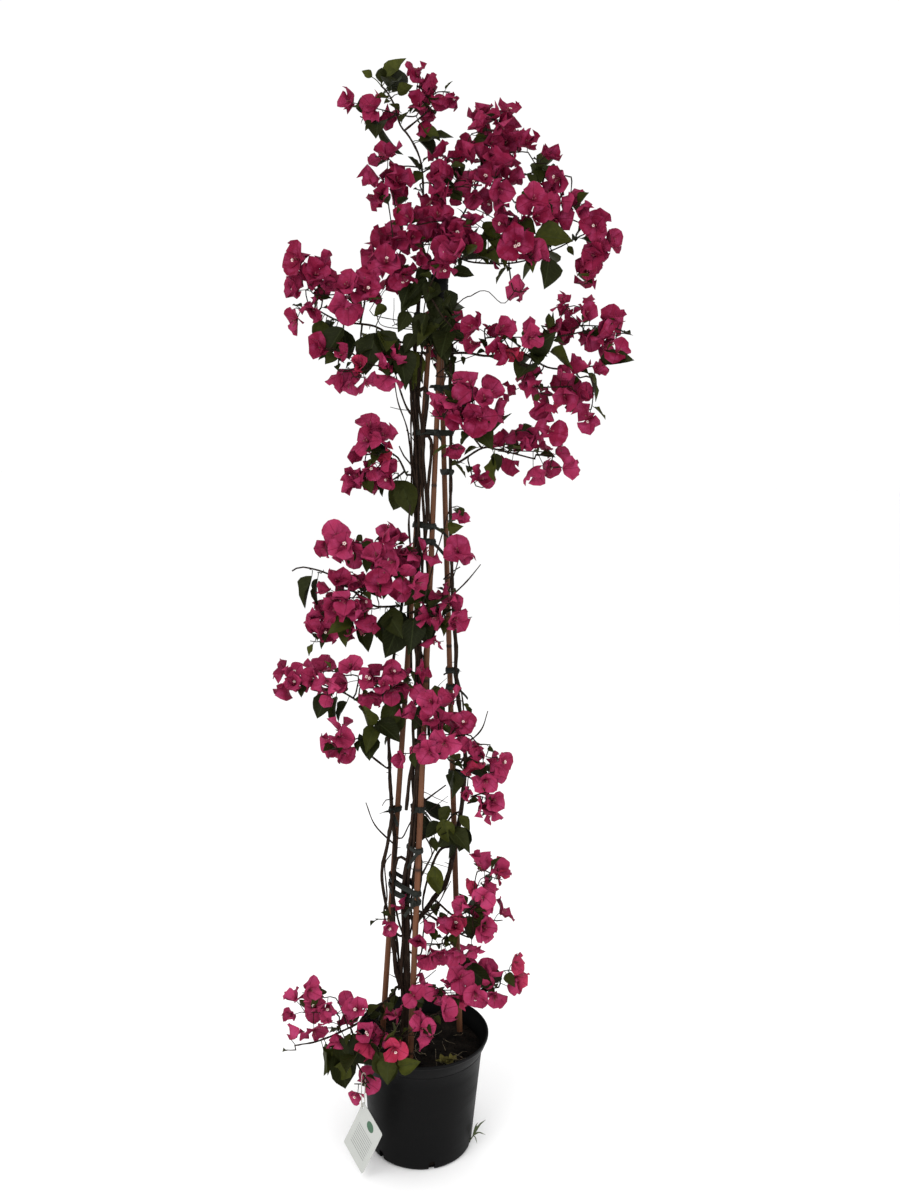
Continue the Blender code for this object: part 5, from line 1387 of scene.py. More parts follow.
@dataclass
class Skin:
    """The faces of a piece under way."""

    corners: list[tuple] = field(default_factory=list)
    faces: list[tuple[int, ...]] = field(default_factory=list)
    values: dict[str, list[float]] = field(default_factory=dict)

    def add(self, corners: Iterable, faces: Iterable[Sequence[int]], **values: Any) -> None:
        """Add some corners and the faces between them.

        Args:
            corners: The new corners.
            faces: The new faces, numbered from the first new corner.
            **values: A number for each named attribute, or one for each new corner.
        """
        start = len(self.corners)
        corners = [tuple(float(axis) for axis in corner) for corner in corners]
        self.corners += corners
        self.faces += [tuple(start + index for index in face) for face in faces]
        for name in set(values) | set(self.values):
            given = values.get(name, 0.0)
            row = list(given) if np.ndim(given) else [float(given)] * len(corners)
            self.values[name] = self.values.get(name, [0.0] * start) + row

    def add_rod(self, rod: Rod, sides: int, **values: Any) -> None:
        """Add a round rod with closed ends.

        Args:
            rod: The rod.
            sides: How many faces go round it.
            **values: A number for each named attribute, or one for each point of the rod.
        """
        shared = {name: np.repeat(value, sides) if np.ndim(value) else value
                  for name, value in values.items()}
        self.add(np.concatenate(rod.rings(sides)), tube_faces(len(rod.points), sides), **shared)

    def add_turned(self, profile: Sequence[tuple[float, float]], steps: int,
                   centre: tuple = (0.0, 0.0)) -> None:
        """Add a solid that is turned round an upright axis.

        Args:
            profile: Its outline as radius and height, with both ends on the axis.
            steps: How many faces go round it.
            centre: Where the axis stands.
        """
        corners: list[tuple] = []
        rings: list[int] = []
        for radius, height in profile:
            turns = np.arange(steps if radius > 0.0 else 1) * 2 * math.pi / steps
            rings += [len(corners) + index % len(turns) for index in range(steps)]
            corners += [(centre[0] + radius * math.cos(turn), centre[1] + radius * math.sin(turn), height)
                        for turn in turns]
        sides = tube_faces(len(profile), steps)[:-2]
        self.add(corners, [tuple(dict.fromkeys(rings[corner] for corner in face)) for face in sides])

    def add_lump(self, centre: np.ndarray, radii: Triple, seed: int) -> None:
        """Add a small uneven lump.

        Args:
            centre: Its middle.
            radii: Its radius along each axis.
            seed: What its unevenness is drawn from.
        """
        draw = np.random.default_rng(seed)
        ball = bmesh.new()
        bmesh.ops.create_icosphere(ball, subdivisions=2, radius=1.0)
        waves = draw.normal(size=(4, 3)) * 2.2
        corners = []
        for corner in ball.verts:
            way = np.array(corner.co)
            swell = 1.0 + 0.09 * float(np.sin(waves @ way + np.arange(4)).sum())
            corners.append(np.array(centre) + way * np.array(radii) * swell)
        faces = [tuple(corner.index for corner in face.verts) for face in ball.faces]
        ball.free()
        self.add(corners, faces)

    def add_ribbon(self, path: np.ndarray, wide: np.ndarray, out: np.ndarray, width: float, thickness: float,
                   closed: bool = False) -> None:
        """Add a flat band along a path.

        Args:
            path: The points of the band's middle, on its inner face.
            wide: The way of its width at each point.
            out: The way of its thickness at each point.
            width: Its width.
            thickness: Its thickness.
            closed: Whether its ends meet.
        """
        corners = []
        for place, across, outward in zip(path, wide, out):
            low, high = place - across * width / 2, place + across * width / 2
            corners += [low, high, high + outward * thickness, low + outward * thickness]
        self.add(corners, tube_faces(len(path), 4, closed))

    def mesh(self, name: str) -> bpy.types.Mesh:
        """Return the mesh, with its faces pointing out."""
        mesh = bpy.data.meshes.new(name)
        mesh.from_pydata(self.corners, [], self.faces)
        for title, row in self.values.items():
            layer = mesh.attributes.new(title, "FLOAT", "POINT")
            layer.data.foreach_set("value", np.array(row, dtype=np.float32))
        bm = bmesh.new()
        bm.from_mesh(mesh)
        bmesh.ops.recalc_face_normals(bm, faces=bm.faces)
        bm.to_mesh(mesh)
        bm.free()
        return mesh


def make_object(name: str, mesh: bpy.types.Mesh) -> bpy.types.Object:
    """Link a mesh to the scene as an object at the origin."""
    item = bpy.data.objects.new(name, mesh)
    bpy.context.scene.collection.objects.link(item)
    return item


def evaluated_mesh(item: bpy.types.Object, name: str) -> bpy.types.Mesh:
    """Return an object's mesh with its modifiers applied, as plain mesh data."""
    bpy.context.view_layer.update()
    graph = bpy.context.evaluated_depsgraph_get()
    solved = item.evaluated_get(graph)
    mesh = bpy.data.meshes.new_from_object(solved, preserve_all_data_layers=True, depsgraph=graph)
    mesh.name = name
    return mesh


def settle(item: bpy.types.Object, nodes: Sequence[str] = ()) -> bpy.types.Object:
    """Make a finished object a piece of the plant.

    Args:
        item: The object, at the origin.
        nodes: The nodes of the frame that it stands for.

    Returns:
        The object.
    """
    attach(item, BODY)
    if nodes:
        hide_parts(*nodes)
    LOG.info("%s: %d faces, stands for %s", item.name, len(item.data.polygons), ", ".join(nodes) or "itself")
    return item


def smooth(mesh: bpy.types.Mesh, angle: float = 35.0) -> bpy.types.Mesh:
    """Shade a mesh smooth, with its sharp edges kept."""
    mesh.shade_smooth()
    mesh.set_sharp_from_angle(angle=math.radians(angle))
    return mesh


def piece_from(name: str, skin: Skin, material: bpy.types.Material, nodes: Sequence[str] = (),
               angle: float = 35.0) -> bpy.types.Object:
    """Make a piece from a skin.

    Args:
        name: Its name.
        skin: Its faces.
        material: Its material.
        nodes: The nodes of the frame that it stands for.
        angle: The angle in degrees past which an edge is sharp.

    Returns:
        The piece.
    """
    mesh = smooth(skin.mesh(name), angle)
    mesh.materials.append(material)
    return settle(make_object(name, mesh), nodes)


def cut_out(name: str, blank: bpy.types.Object, cutters: Sequence[bpy.types.Object]) -> bpy.types.Mesh:
    """Take cutters out of a blank, and remove them all.

    Args:
        name: The name of the result.
        blank: What is cut.
        cutters: What is taken out of it.

    Returns:
        The mesh that is left, with no material.
    """
    for cutter in cutters:
        cut = blank.modifiers.new(cutter.name, "BOOLEAN")
        cut.object, cut.operation, cut.solver = cutter, "DIFFERENCE", "EXACT"
    mesh = evaluated_mesh(blank, name)
    for item in (*cutters, blank):
        bpy.data.objects.remove(item, do_unlink=True)
    mesh.materials.clear()
    return mesh


class GrowingTree(Graph):
    """A Geometry Nodes tree under way, which sets shapes on points."""

    def __init__(self, name: str, inputs: Sequence[tuple[str, str]]) -> None:
        """Start a tree.

        Args:
            name: Its name.
            inputs: The name and kind of each input of its own, with its geometry first.
        """
        super().__init__(bpy.data.node_groups.new(name, "GeometryNodeTree"))
        shared = (("Shapes", "Collection"), ("Finish", "Material"), ("Crumple", "Float"), ("Waves", "Float"))
        for title, kind in (*inputs, *shared):
            self.tree.interface.new_socket(title, in_out="INPUT", socket_type="NodeSocket" + kind)
        self.tree.interface.new_socket("Pieces", in_out="OUTPUT", socket_type="NodeSocketGeometry")
        self.given = self.add("NodeGroupInput", {}).outputs

    def named(self, name: str, kind: str) -> Socket:
        """Return an attribute of the points."""
        node = self.add("GeometryNodeInputNamedAttribute", {"Name": name}, data_type=kind)
        return node.outputs["Attribute"]

    def set_shapes(self, points: Socket, placing: dict[str, Socket]) -> bpy.types.NodeTree:
        """Set shapes on points and end the tree in real geometry, crumpled and with its finish set.

        Args:
            points: The points.
            placing: How each shape is chosen, turned and sized.

        Returns:
            The tree.
        """
        shapes = self.add("GeometryNodeCollectionInfo", {
            "Collection": self.given["Shapes"], "Separate Children": True, "Reset Children": True})
        placed = self.add("GeometryNodeInstanceOnPoints", {
            "Points": points, "Instance": shapes.outputs["Instances"], "Pick Instance": True, **placing})
        real = self.add("GeometryNodeRealizeInstances", {"Geometry": placed.outputs["Instances"]})
        seat = self.add("GeometryNodeInputPosition", {}).outputs["Position"]
        waves = self.add("ShaderNodeTexNoise", {
            "Vector": seat, "W": self.given["Seed"], "Scale": self.given["Waves"], "Detail": 1.0
        }, noise_dimensions="4D").outputs["Color"]
        centred = self.add("ShaderNodeVectorMath", {0: waves, 1: (0.5, 0.5, 0.5)}, operation="SUBTRACT")
        shift = self.add("ShaderNodeVectorMath", {0: centred.outputs[0], "Scale": self.given["Crumple"]},
                         operation="SCALE")
        moved = self.add("GeometryNodeSetPosition", {
            "Geometry": real.outputs["Geometry"], "Offset": shift.outputs[0]})
        even = self.add("GeometryNodeSetShadeSmooth", {"Geometry": moved.outputs["Geometry"]})
        dressed = self.add("GeometryNodeSetMaterial", {
            "Geometry": even.outputs["Geometry"], "Material": self.given["Finish"]})
        self.add("NodeGroupOutput", {"Pieces": dressed.outputs["Geometry"]})
        return self.tree


def placing_tree() -> bpy.types.NodeTree:
    """Return the tree that sets a shape on each point, as the point's own attributes say."""
    tree = GrowingTree("set_shapes_on_points", (("Points", "Geometry"), ("Seed", "Float")))
    turn = tree.add("FunctionNodeEulerToRotation", {"Euler": tree.named("turn", "FLOAT_VECTOR")})
    return tree.set_shapes(tree.given["Points"], {
        "Instance Index": tree.named("kind", "INT"), "Rotation": turn.outputs["Rotation"],
        "Scale": tree.named("size", "FLOAT_VECTOR")})


def strewing_tree() -> bpy.types.NodeTree:
    """Return the tree that strews shapes over a surface, turned and sized by chance from a fixed seed."""
    tree = GrowingTree("strew_shapes_over_surface", (
        ("Surface", "Geometry"), ("Density", "Float"), ("Least Size", "Float"), ("Greatest Size", "Float"),
        ("Seed", "Int")))
    given, seed = tree.given, {"Seed": tree.given["Seed"]}
    spots = tree.add("GeometryNodeDistributePointsOnFaces", {
        "Mesh": given["Surface"], "Density": given["Density"], **seed})
    turn = tree.add("FunctionNodeRandomValue", {0: (0.0, 0.0, 0.0), 1: (6.28, 6.28, 6.28), **seed},
                    data_type="FLOAT_VECTOR")
    rotation = tree.add("FunctionNodeEulerToRotation", {"Euler": turn.outputs["Value"]})
    size = tree.add("FunctionNodeRandomValue", {2: given["Least Size"], 3: given["Greatest Size"], **seed},
                    data_type="FLOAT")
    return tree.set_shapes(spots.outputs["Points"], {
        "Rotation": rotation.outputs["Rotation"], "Scale": size.outputs[1]})


def grown(name: str, base: bpy.types.Mesh, tree: bpy.types.NodeTree, sizes: dict[str, Any]) -> bpy.types.Mesh:
    """Run a Geometry Nodes tree on a mesh and return the plain mesh that it gives.

    Args:
        name: The name of the result.
        base: The points or the surface that it starts from.
        tree: The tree.
        sizes: What each of its named inputs gets.

    Returns:
        The mesh.
    """
    item = make_object(name, base)
    modifier = item.modifiers.new("grow", "NODES")
    modifier.node_group = tree
    for socket in tree.interface.items_tree:
        if socket.item_type == "SOCKET" and socket.name in sizes:
            modifier[socket.identifier] = sizes[socket.name]
    mesh = evaluated_mesh(item, name)
    item.modifiers.remove(modifier)
    bpy.data.objects.remove(item, do_unlink=True)
    for title in ("turn", "size", "kind"):
        if title in mesh.attributes:
            mesh.attributes.remove(mesh.attributes[title])
    return mesh


@dataclass
class Points:
    """Points that each carry a shape's turn, size, kind and tone."""

    places: list = field(default_factory=list)
    turns: list = field(default_factory=list)
    sizes: list = field(default_factory=list)
    kinds: list = field(default_factory=list)
    tones: list = field(default_factory=list)
    blushes: list = field(default_factory=list)

    def add(self, place: np.ndarray, turn: np.ndarray, size: Triple, kind: int, tone: float,
            blush: float = 0.0) -> None:
        """Add a point.

        Args:
            place: Where it is.
            turn: A 3 by 3 matrix, with the shape's own axes as columns.
            size: The shape's scale along each of its axes.
            kind: Which shape of the collection it gets.
            tone: From 0, dark, to 1, bright.
            blush: From 0 to 1, how red it is.
        """
        self.places.append(tuple(float(axis) for axis in place))
        self.turns.append(tuple(Matrix(turn.tolist()).to_euler("XYZ")))
        self.sizes.append(size)
        self.kinds.append(kind)
        self.tones.append(tone)
        self.blushes.append(blush)

    def mesh(self, name: str) -> bpy.types.Mesh:
        """Return the points as a mesh with their attributes."""
        mesh = bpy.data.meshes.new(name)
        mesh.from_pydata(self.places, [], [])
        for title, kind, row in (("turn", "FLOAT_VECTOR", self.turns), ("size", "FLOAT_VECTOR", self.sizes),
                                 ("kind", "INT", self.kinds), ("tone", "FLOAT", self.tones),
                                 ("blush", "FLOAT", self.blushes)):
            layer = mesh.attributes.new(title, kind, "POINT")
            layer.data.foreach_set("vector" if kind == "FLOAT_VECTOR" else "value", np.array(row).ravel())
        return mesh


def shape_collection(name: str, meshes: Sequence[bpy.types.Mesh]) -> bpy.types.Collection:
    """Return a collection with an object for each shape, in their order."""
    collection = bpy.data.collections.new(name)
    bpy.context.scene.collection.children.link(collection)
    for index, mesh in enumerate(meshes):
        collection.objects.link(bpy.data.objects.new(f"{name}_{index:02d}", mesh))
    return collection


def clear_collection(collection: bpy.types.Collection) -> None:
    """Remove a collection and the shapes in it."""
    for item in list(collection.objects):
        bpy.data.objects.remove(item, do_unlink=True)
    bpy.data.collections.remove(collection)


@dataclass(frozen=True)
class BladeShape:
    """A thin closed blade a unit long, with its stalk end at the origin and its upper face up.

    Its outline is the half width at each share of its length, and its columns are the shares of that
    half width where it has its corners.
    """

    outline: tuple[tuple[float, float], ...]
    rise: float
    droop: float
    wave: float
    turns: float
    phase: float
    thickness: float = 0.011
    columns: tuple[float, ...] = (-1.0, -0.55, 0.0, 0.55, 1.0)

    def height(self, along: float, across: float, half: float) -> float:
        """Return how high the upper face is.

        Args:
            along: Share of the length.
            across: From -1 to 1, the share of the half width.
            half: The half width there.

        Returns:
            The height.
        """
        lift = self.rise * abs(across) ** 1.5 * half * 2.0
        turn = self.turns * along * 2 * math.pi + self.phase
        ripple = math.sin(turn) + 0.55 * math.sin(2.3 * turn + 4.0 * across)
        curl = self.wave * half * across * abs(across) * ripple
        return lift + curl - self.droop * along ** 2.4

    def mesh(self, name: str) -> bpy.types.Mesh:
        """Return the blade's mesh, with its length and width as its UV map."""
        corners: list[tuple] = []
        faces: list[tuple[int, ...]] = []
        upper, lower = [], []
        for along, half in self.outline:
            top, under = [], []
            for across in self.columns if half > 0.0 else (0.0,):
                height = self.height(along, across, half)
                top.append(len(corners))
                corners.append((along, across * half, height))
                if half > 0.0 and abs(across) < 1.0:
                    corners.append((along, across * half, height - self.thickness))
                under.append(len(corners) - 1)
            upper.append(top if half > 0.0 else top * len(self.columns))
            lower.append(under if half > 0.0 else under * len(self.columns))
        for rows, flip in ((upper, False), (lower, True)):
            for near, far in zip(rows, rows[1:]):
                for index in range(len(self.columns) - 1):
                    face = tuple(dict.fromkeys((near[index], far[index], far[index + 1], near[index + 1])))
                    faces.append(face if flip else face[::-1])
        faces.append(tuple(dict.fromkeys([*upper[0], *lower[0][::-1]])))
        mesh = Skin(corners, faces).mesh(name)
        chart = mesh.uv_layers.new(name="UVMap")
        for loop in mesh.loops:
            corner = mesh.vertices[loop.vertex_index].co
            chart.data[loop.index].uv = (corner.x, corner.y + 0.5)
        return mesh


def bract_shapes() -> list[bpy.types.Mesh]:
    """Return the shapes of bract: broad, long, hooked and wavy."""
    broad = ((0.0, 0.06), (0.07, 0.26), (0.19, 0.44), (0.37, 0.55), (0.56, 0.56), (0.75, 0.48), (0.91, 0.28),
             (1.0, 0.0))
    long = ((0.0, 0.05), (0.08, 0.22), (0.21, 0.38), (0.39, 0.49), (0.58, 0.50), (0.77, 0.42), (0.92, 0.24),
            (1.02, 0.0))
    rows = ((broad, 0.18, 0.05, 0.30, 1.5, 0.4), (long, 0.30, -0.04, 0.34, 1.2, 2.1),
            (broad, 0.08, 0.16, 0.40, 1.9, 3.6), (long, 0.16, 0.10, 0.42, 1.6, 5.2),
            (broad, 0.36, -0.06, 0.26, 1.3, 1.3), (long, -0.16, 0.14, 0.36, 1.7, 0.9))
    return [BladeShape(*row).mesh(f"bract_{index}") for index, row in enumerate(rows)]


def leaf_shapes() -> list[bpy.types.Mesh]:
    """Return the shapes of leaf: ovate with a drip tip, narrower, and cupped."""
    ovate = ((0.0, 0.03), (0.07, 0.15), (0.19, 0.27), (0.35, 0.335), (0.53, 0.305), (0.71, 0.21),
             (0.86, 0.105), (0.95, 0.035), (1.0, 0.0))
    narrow = tuple((along, half * 0.86) for along, half in ovate)
    rows = ((ovate, 0.22, 0.12, 0.16, 1.4, 0.8), (narrow, 0.30, 0.16, 0.20, 1.7, 2.9),
            (ovate, 0.34, 0.06, 0.10, 1.1, 4.4))
    return [BladeShape(*row, thickness=0.009).mesh(f"leaf_{index}") for index, row in enumerate(rows)]


def flower_shapes() -> list[bpy.types.Mesh]:
    """Return the shapes of true flower, a unit long: a bud, a riper bud and an open star."""
    rows = (("bud", 0.88, False), ("ripe_bud", 1.0, False), ("star", 1.0, True))
    return [flower_shape(*row) for row in rows]


def flower_shape(name: str, length: float, is_open: bool) -> bpy.types.Mesh:
    """Return a flower's tube, with its star of ten points or its closed tip.

    Args:
        name: The mesh's name.
        length: Its length.
        is_open: Whether it has opened.

    Returns:
        The mesh.
    """
    sides = 10 if is_open else 6
    rings = [(0.0, 0.036, 0.0), (0.30, 0.062, 0.0), (0.62, 0.050, 0.0)]
    rings += [(0.93, 0.070, 0.0), (1.0, 0.215, 1.0), (0.985, 0.115, 1.0)] if is_open else [(0.88, 0.082, 0.0)]
    corners, part = [], []
    for number, (height, radius, value) in enumerate(rings):
        for side in range(sides):
            turn = 2 * math.pi * side / sides
            reach = radius * (0.70 if is_open and number == 4 and side % 2 else 1.0)
            corners.append((height * length, reach * math.cos(turn), reach * math.sin(turn)))
            part.append(value)
    *tube, foot, rim = tube_faces(len(rings), sides)
    tip = [(*edge, len(corners)) for edge in zip(rim, (*rim[1:], rim[0]))]
    corners.append(((0.93 if is_open else 1.0) * length, 0.0, 0.0))
    part.append(2.0 if is_open else 0.4)
    skin = Skin()
    skin.add(corners, [*tube, *tip, foot], part=part)
    return skin.mesh(name)


def thorn_shape() -> bpy.types.Mesh:
    """Return a curved thorn, a unit long."""
    path = np.array(((-0.10, 0.0, 0.0), (0.30, 0.0, 0.02), (0.68, 0.0, 0.11), (1.0, 0.0, 0.27)))
    skin = Skin()
    skin.add_rod(Rod(path, np.array((0.085, 0.070, 0.045, 0.008))), 5)
    return skin.mesh("thorn")


def crumb_shapes() -> list[bpy.types.Mesh]:
    """Return three shapes of soil crumb, about a unit across."""
    found = []
    for seed in range(3):
        draw = np.random.default_rng((91, seed))
        ball = bmesh.new()
        bmesh.ops.create_icosphere(ball, subdivisions=1, radius=0.5)
        for corner in ball.verts:
            corner.co = Vector(np.array(corner.co) * draw.uniform(0.62, 1.15) * np.array((1.0, 0.8, 0.6)))
        mesh = bpy.data.meshes.new(f"crumb_{seed}")
        ball.to_mesh(mesh)
        ball.free()
        found.append(mesh)
    return found


def cross_turn(first: tuple, second: tuple, third: tuple) -> float:
    """Return the turn from one flat point over a second to a third."""
    return ((second[0] - first[0]) * (third[1] - first[1])
            - (second[1] - first[1]) * (third[0] - first[0]))


def hull_outline(circles: Iterable[Triple], sides: int) -> list[tuple[float, float]]:
    """Return the convex outline, anticlockwise, of some circles.

    Args:
        circles: The middle and the radius of each.
        sides: How many corners stand for a circle.

    Returns:
        The outline's corners.
    """
    points = []
    for x, y, radius in circles:
        for turn in np.arange(sides) * 2 * math.pi / sides:
            points.append((x + radius * math.cos(turn), y + radius * math.sin(turn)))
    points.sort()
    outline: list[tuple[float, float]] = []
    for row in (points, points[::-1]):
        chain: list[tuple[float, float]] = []
        for point in row:
            while len(chain) > 1 and cross_turn(chain[-2], chain[-1], point) <= 1e-9:
                chain.pop()
            chain.append(point)
        outline += chain[:-1]
    return outline


def even_loop(outline: Sequence, step: float) -> np.ndarray:
    """Return a closed outline's points at even steps."""
    points = np.array([*outline, outline[0]])
    runs = np.linalg.norm(np.diff(points, axis=0), axis=1)
    reach = np.concatenate(((0.0,), np.cumsum(runs)))
    stops = np.linspace(0.0, reach[-1], max(12, round(reach[-1] / step)), endpoint=False)
    return np.column_stack([np.interp(stops, reach, points[:, axis]) for axis in range(points.shape[1])])


def facing_frame(along: np.ndarray, face: np.ndarray) -> np.ndarray:
    """Return a 3 by 3 matrix for a blade that runs one way and faces about another."""
    along = unit(np.array(along, dtype=float))
    face = np.array(face, dtype=float)
    face = unit(face - np.dot(face, along) * along)
    return np.column_stack((along, np.cross(face, along), face))


@dataclass
class NurseryPot:
    """The nursery pot: a tapered wall with a rolled lip, and drain notches at its foot."""

    finish: PlasticFinish
    steps: int = 120
    notch_width: float = 0.011
    notch_height: float = 0.018

    def outline(self) -> list[tuple[float, float]]:
        """Return the wall's outline, from the middle of the floor round the lip to the middle of the foot."""
        neck = POT_HEIGHT - 0.0280
        inner = [(0.0, POT_FLOOR), (FOOT_RADIUS - 0.0070, POT_FLOOR), (FOOT_RADIUS - 0.0036, 0.0052),
                 (FOOT_RADIUS - POT_WALL, 0.0100),
                 *stepped(NECK_RADIUS - POT_WALL, neck, ((-0.2, -4.0), (0.4, 0.0)))]
        lip = stepped(RIM_RADIUS, POT_HEIGHT, (
            (-7.2, -16.0), (-3.4, -4.0), (-2.7, -0.8), (-1.9, 0.0), (-0.9, -0.2), (0.0, -1.3), (0.0, -4.4),
            (-1.0, -5.6), (-2.0, -8.5), (-4.6, -16.0), (-8.0, -23.2)))
        wall = stepped(NECK_RADIUS, neck, ((0.4, 0.0), (0.6, -1.2), (-0.3, -2.4)))
        for share in (0.15, 0.3, 0.45, 0.6, 0.75, 0.9):
            height = neck - share * (neck - 0.007)
            wall.append((NECK_RADIUS + share * (FOOT_RADIUS + 0.0004 - NECK_RADIUS) - 0.0002, height))
        foot = stepped(FOOT_RADIUS, 0.0, ((0.4, 7.0), (-0.2, 4.5), (-1.4, 2.2), (-3.0, 0.7), (-5.0, 0.0)))
        return [*inner, *lip, *wall, *foot, (0.0, 0.0)]

    def notch(self, number: int) -> bpy.types.Object:
        """Return the cutter of one drain notch, with a rounded top."""
        half = self.notch_width / 2
        spring = self.notch_height - 0.001 - half * 0.7
        outline = [(half, -0.001), *((half * math.cos(turn), spring + half * 0.7 * math.sin(turn))
                                     for turn in np.linspace(0.0, math.pi, 9)), (-half, -0.001)]
        angle = NOTCH_FIRST_ANGLE + 2 * math.pi * number / NOTCH_COUNT
        place = Matrix.Rotation(angle, 4, "Z") @ Matrix.Translation((FOOT_RADIUS, 0.0, 0.0))
        corners = [place @ Vector((depth, *spot)) for depth in (-0.008, 0.008) for spot in outline]
        skin = Skin()
        skin.add(corners, tube_faces(2, len(outline)))
        return make_object(f"notch_cutter_{number}", skin.mesh(f"notch_cutter_{number}"))

    def build(self) -> bpy.types.Object:
        """Turn the pot, cut its notches and return it."""
        skin = Skin()
        skin.add_turned(self.outline(), self.steps)
        cutters = [self.notch(number) for number in range(NOTCH_COUNT)]
        mesh = cut_out("nursery_pot", make_object("pot_blank", skin.mesh("pot_blank")), cutters)
        mesh.materials.append(self.finish.make())
        return settle(make_object("nursery_pot", smooth(mesh, 32.0)), ("pot",))


@dataclass
class Compost:
    """The filling of the pot: a lumpy bed, loose crumbs, dry straw and a seedling."""

    finish: SoilFinish
    straw_finish: StrawFinish
    sprout_finish: LeafFinish
    steps: int = 72
    crumb_density: float = 15000.0
    straw_count: int = 40

    def height(self, x: float, y: float) -> float:
        """Return how high the bed is at a place."""
        dome = SOIL_TOP + 0.0035 - 0.0060 * (math.hypot(x, y) / 0.107) ** 2
        coarse = noise.noise(Vector((x * 34.0, y * 34.0, 0.3))) * 0.0028
        return dome + coarse + noise.noise(Vector((x * 120.0, y * 120.0, 1.7))) * 0.0014

    def bed(self) -> bpy.types.Object:
        """Return the bed, closed underneath."""
        top = NECK_RADIUS - POT_WALL - 0.0008
        rings = [(radius, 1.0) for radius in (0.0, *np.linspace(0.007, top - 0.001, 15))]
        under = [(top, SOIL_TOP - 0.006), (FOOT_RADIUS - POT_WALL - 0.0008, 0.0118),
                 (FOOT_RADIUS - 0.0078, POT_FLOOR + 0.0005), (0.0, POT_FLOOR + 0.0005)]
        skin = Skin()
        skin.add_turned([*rings, *under], self.steps)
        skin.corners = [(x, y, self.height(x, y)) if z == 1.0 else (x, y, z) for x, y, z in skin.corners]
        return piece_from("compost_bed", skin, self.finish.make(), ("soil",), 50.0)

    def crumbs(self) -> bpy.types.Object:
        """Return the loose crumbs."""
        skin = Skin()
        skin.add_turned([(radius, 1.0) for radius in (0.0, *np.linspace(0.01, 0.1035, 10))], 36)
        skin.corners = [(x, y, self.height(x, y) + 0.0002) for x, y, _ in skin.corners]
        shapes = shape_collection("crumbs", crumb_shapes())
        sizes = {"Shapes": shapes, "Finish": self.finish.make(), "Density": self.crumb_density,
                 "Least Size": 0.0012, "Greatest Size": 0.0050, "Crumple": 0.0004, "Waves": 300.0, "Seed": 5}
        mesh = grown("loose_crumbs", skin.mesh("bed_top"), strewing_tree(), sizes)
        clear_collection(shapes)
        return settle(make_object("loose_crumbs", smooth(mesh, 40.0)))

    def straw(self) -> bpy.types.Object:
        """Return the straw fibres that lie on the bed."""
        draw = np.random.default_rng(23)
        skin = Skin()
        for _ in range(self.straw_count):
            reach, turn, heading = 0.098 * math.sqrt(draw.random()), *draw.uniform(0.0, 2 * math.pi, 2)
            middle = np.array((reach * math.cos(turn), reach * math.sin(turn)))
            length = draw.uniform(0.016, 0.052)
            way = np.array((math.cos(heading), math.sin(heading)))
            path = []
            for share in (-0.5, -0.2, 0.15, 0.5):
                spot = middle + way * share * length + draw.normal(size=2) * 0.0012
                spot *= min(1.0, 0.1035 / max(float(np.linalg.norm(spot)), 1e-6))
                path.append((*spot, self.height(*spot) + 0.0012 + abs(draw.normal()) * 0.0012))
            skin.add_rod(smooth_rod(path, 0.00034, 0.00020, 0.004), 5)
        return piece_from("straw_fibres", skin, self.straw_finish.make())

    def seedling(self, leaf_tree: bpy.types.NodeTree) -> bpy.types.Object:
        """Return the seedling that has come up in the bed.

        Args:
            leaf_tree: The tree that sets a shape on each point.

        Returns:
            The seedling.
        """
        draw = np.random.default_rng(29)
        points = Points()
        for x, y, height in ((0.045, -0.076, 0.012), (0.052, -0.070, 0.016), (0.038, -0.068, 0.009)):
            root = np.array((x, y, self.height(x, y)))
            for number in range(5):
                turn = 2.4 * number + x * 90.0
                along = np.array((math.cos(turn), math.sin(turn), 0.7))
                spot = root + np.array((0.0, 0.0, height * (0.3 + 0.14 * number)))
                size = (draw.uniform(0.011, 0.017),) * 3
                tone = draw.uniform(0.5, 1.0)
                points.add(spot, facing_frame(along, (0.0, 0.0, 1.0)), size, number % 3, tone)
        material = self.sprout_finish.make()
        return foliage_piece("bed_seedling", points, leaf_shapes(), leaf_tree, material)

    def build(self, leaf_tree: bpy.types.NodeTree) -> None:
        """Make the bed and what lies on it."""
        self.bed()
        self.crumbs()
        self.straw()
        self.seedling(leaf_tree)


def foliage_piece(name: str, points: Points, shapes: list[bpy.types.Mesh], tree: bpy.types.NodeTree,
                  material: bpy.types.Material, nodes: Sequence[str] = (), crumple: float = 0.0,
                  seed: float = 1.0, angle: float = 60.0) -> bpy.types.Object:
    """Set shapes on points and make a piece of the result.

    Args:
        name: The piece's name.
        points: The points.
        shapes: The shapes that they choose from.
        tree: The tree that sets a shape on each point.
        material: The piece's material.
        nodes: The nodes of the frame that it stands for.
        crumple: How far the surface is pushed about, in metres.
        seed: Which waves push it about.
        angle: The angle in degrees past which an edge is sharp.

    Returns:
        The piece.
    """
    collection = shape_collection(name + "_shapes", shapes)
    sizes = {"Shapes": collection, "Finish": material, "Crumple": crumple, "Waves": 62.0, "Seed": seed}
    mesh = grown(name, points.mesh(name + "_points"), tree, sizes)
    clear_collection(collection)
    return settle(make_object(name, smooth(mesh, angle)), nodes)


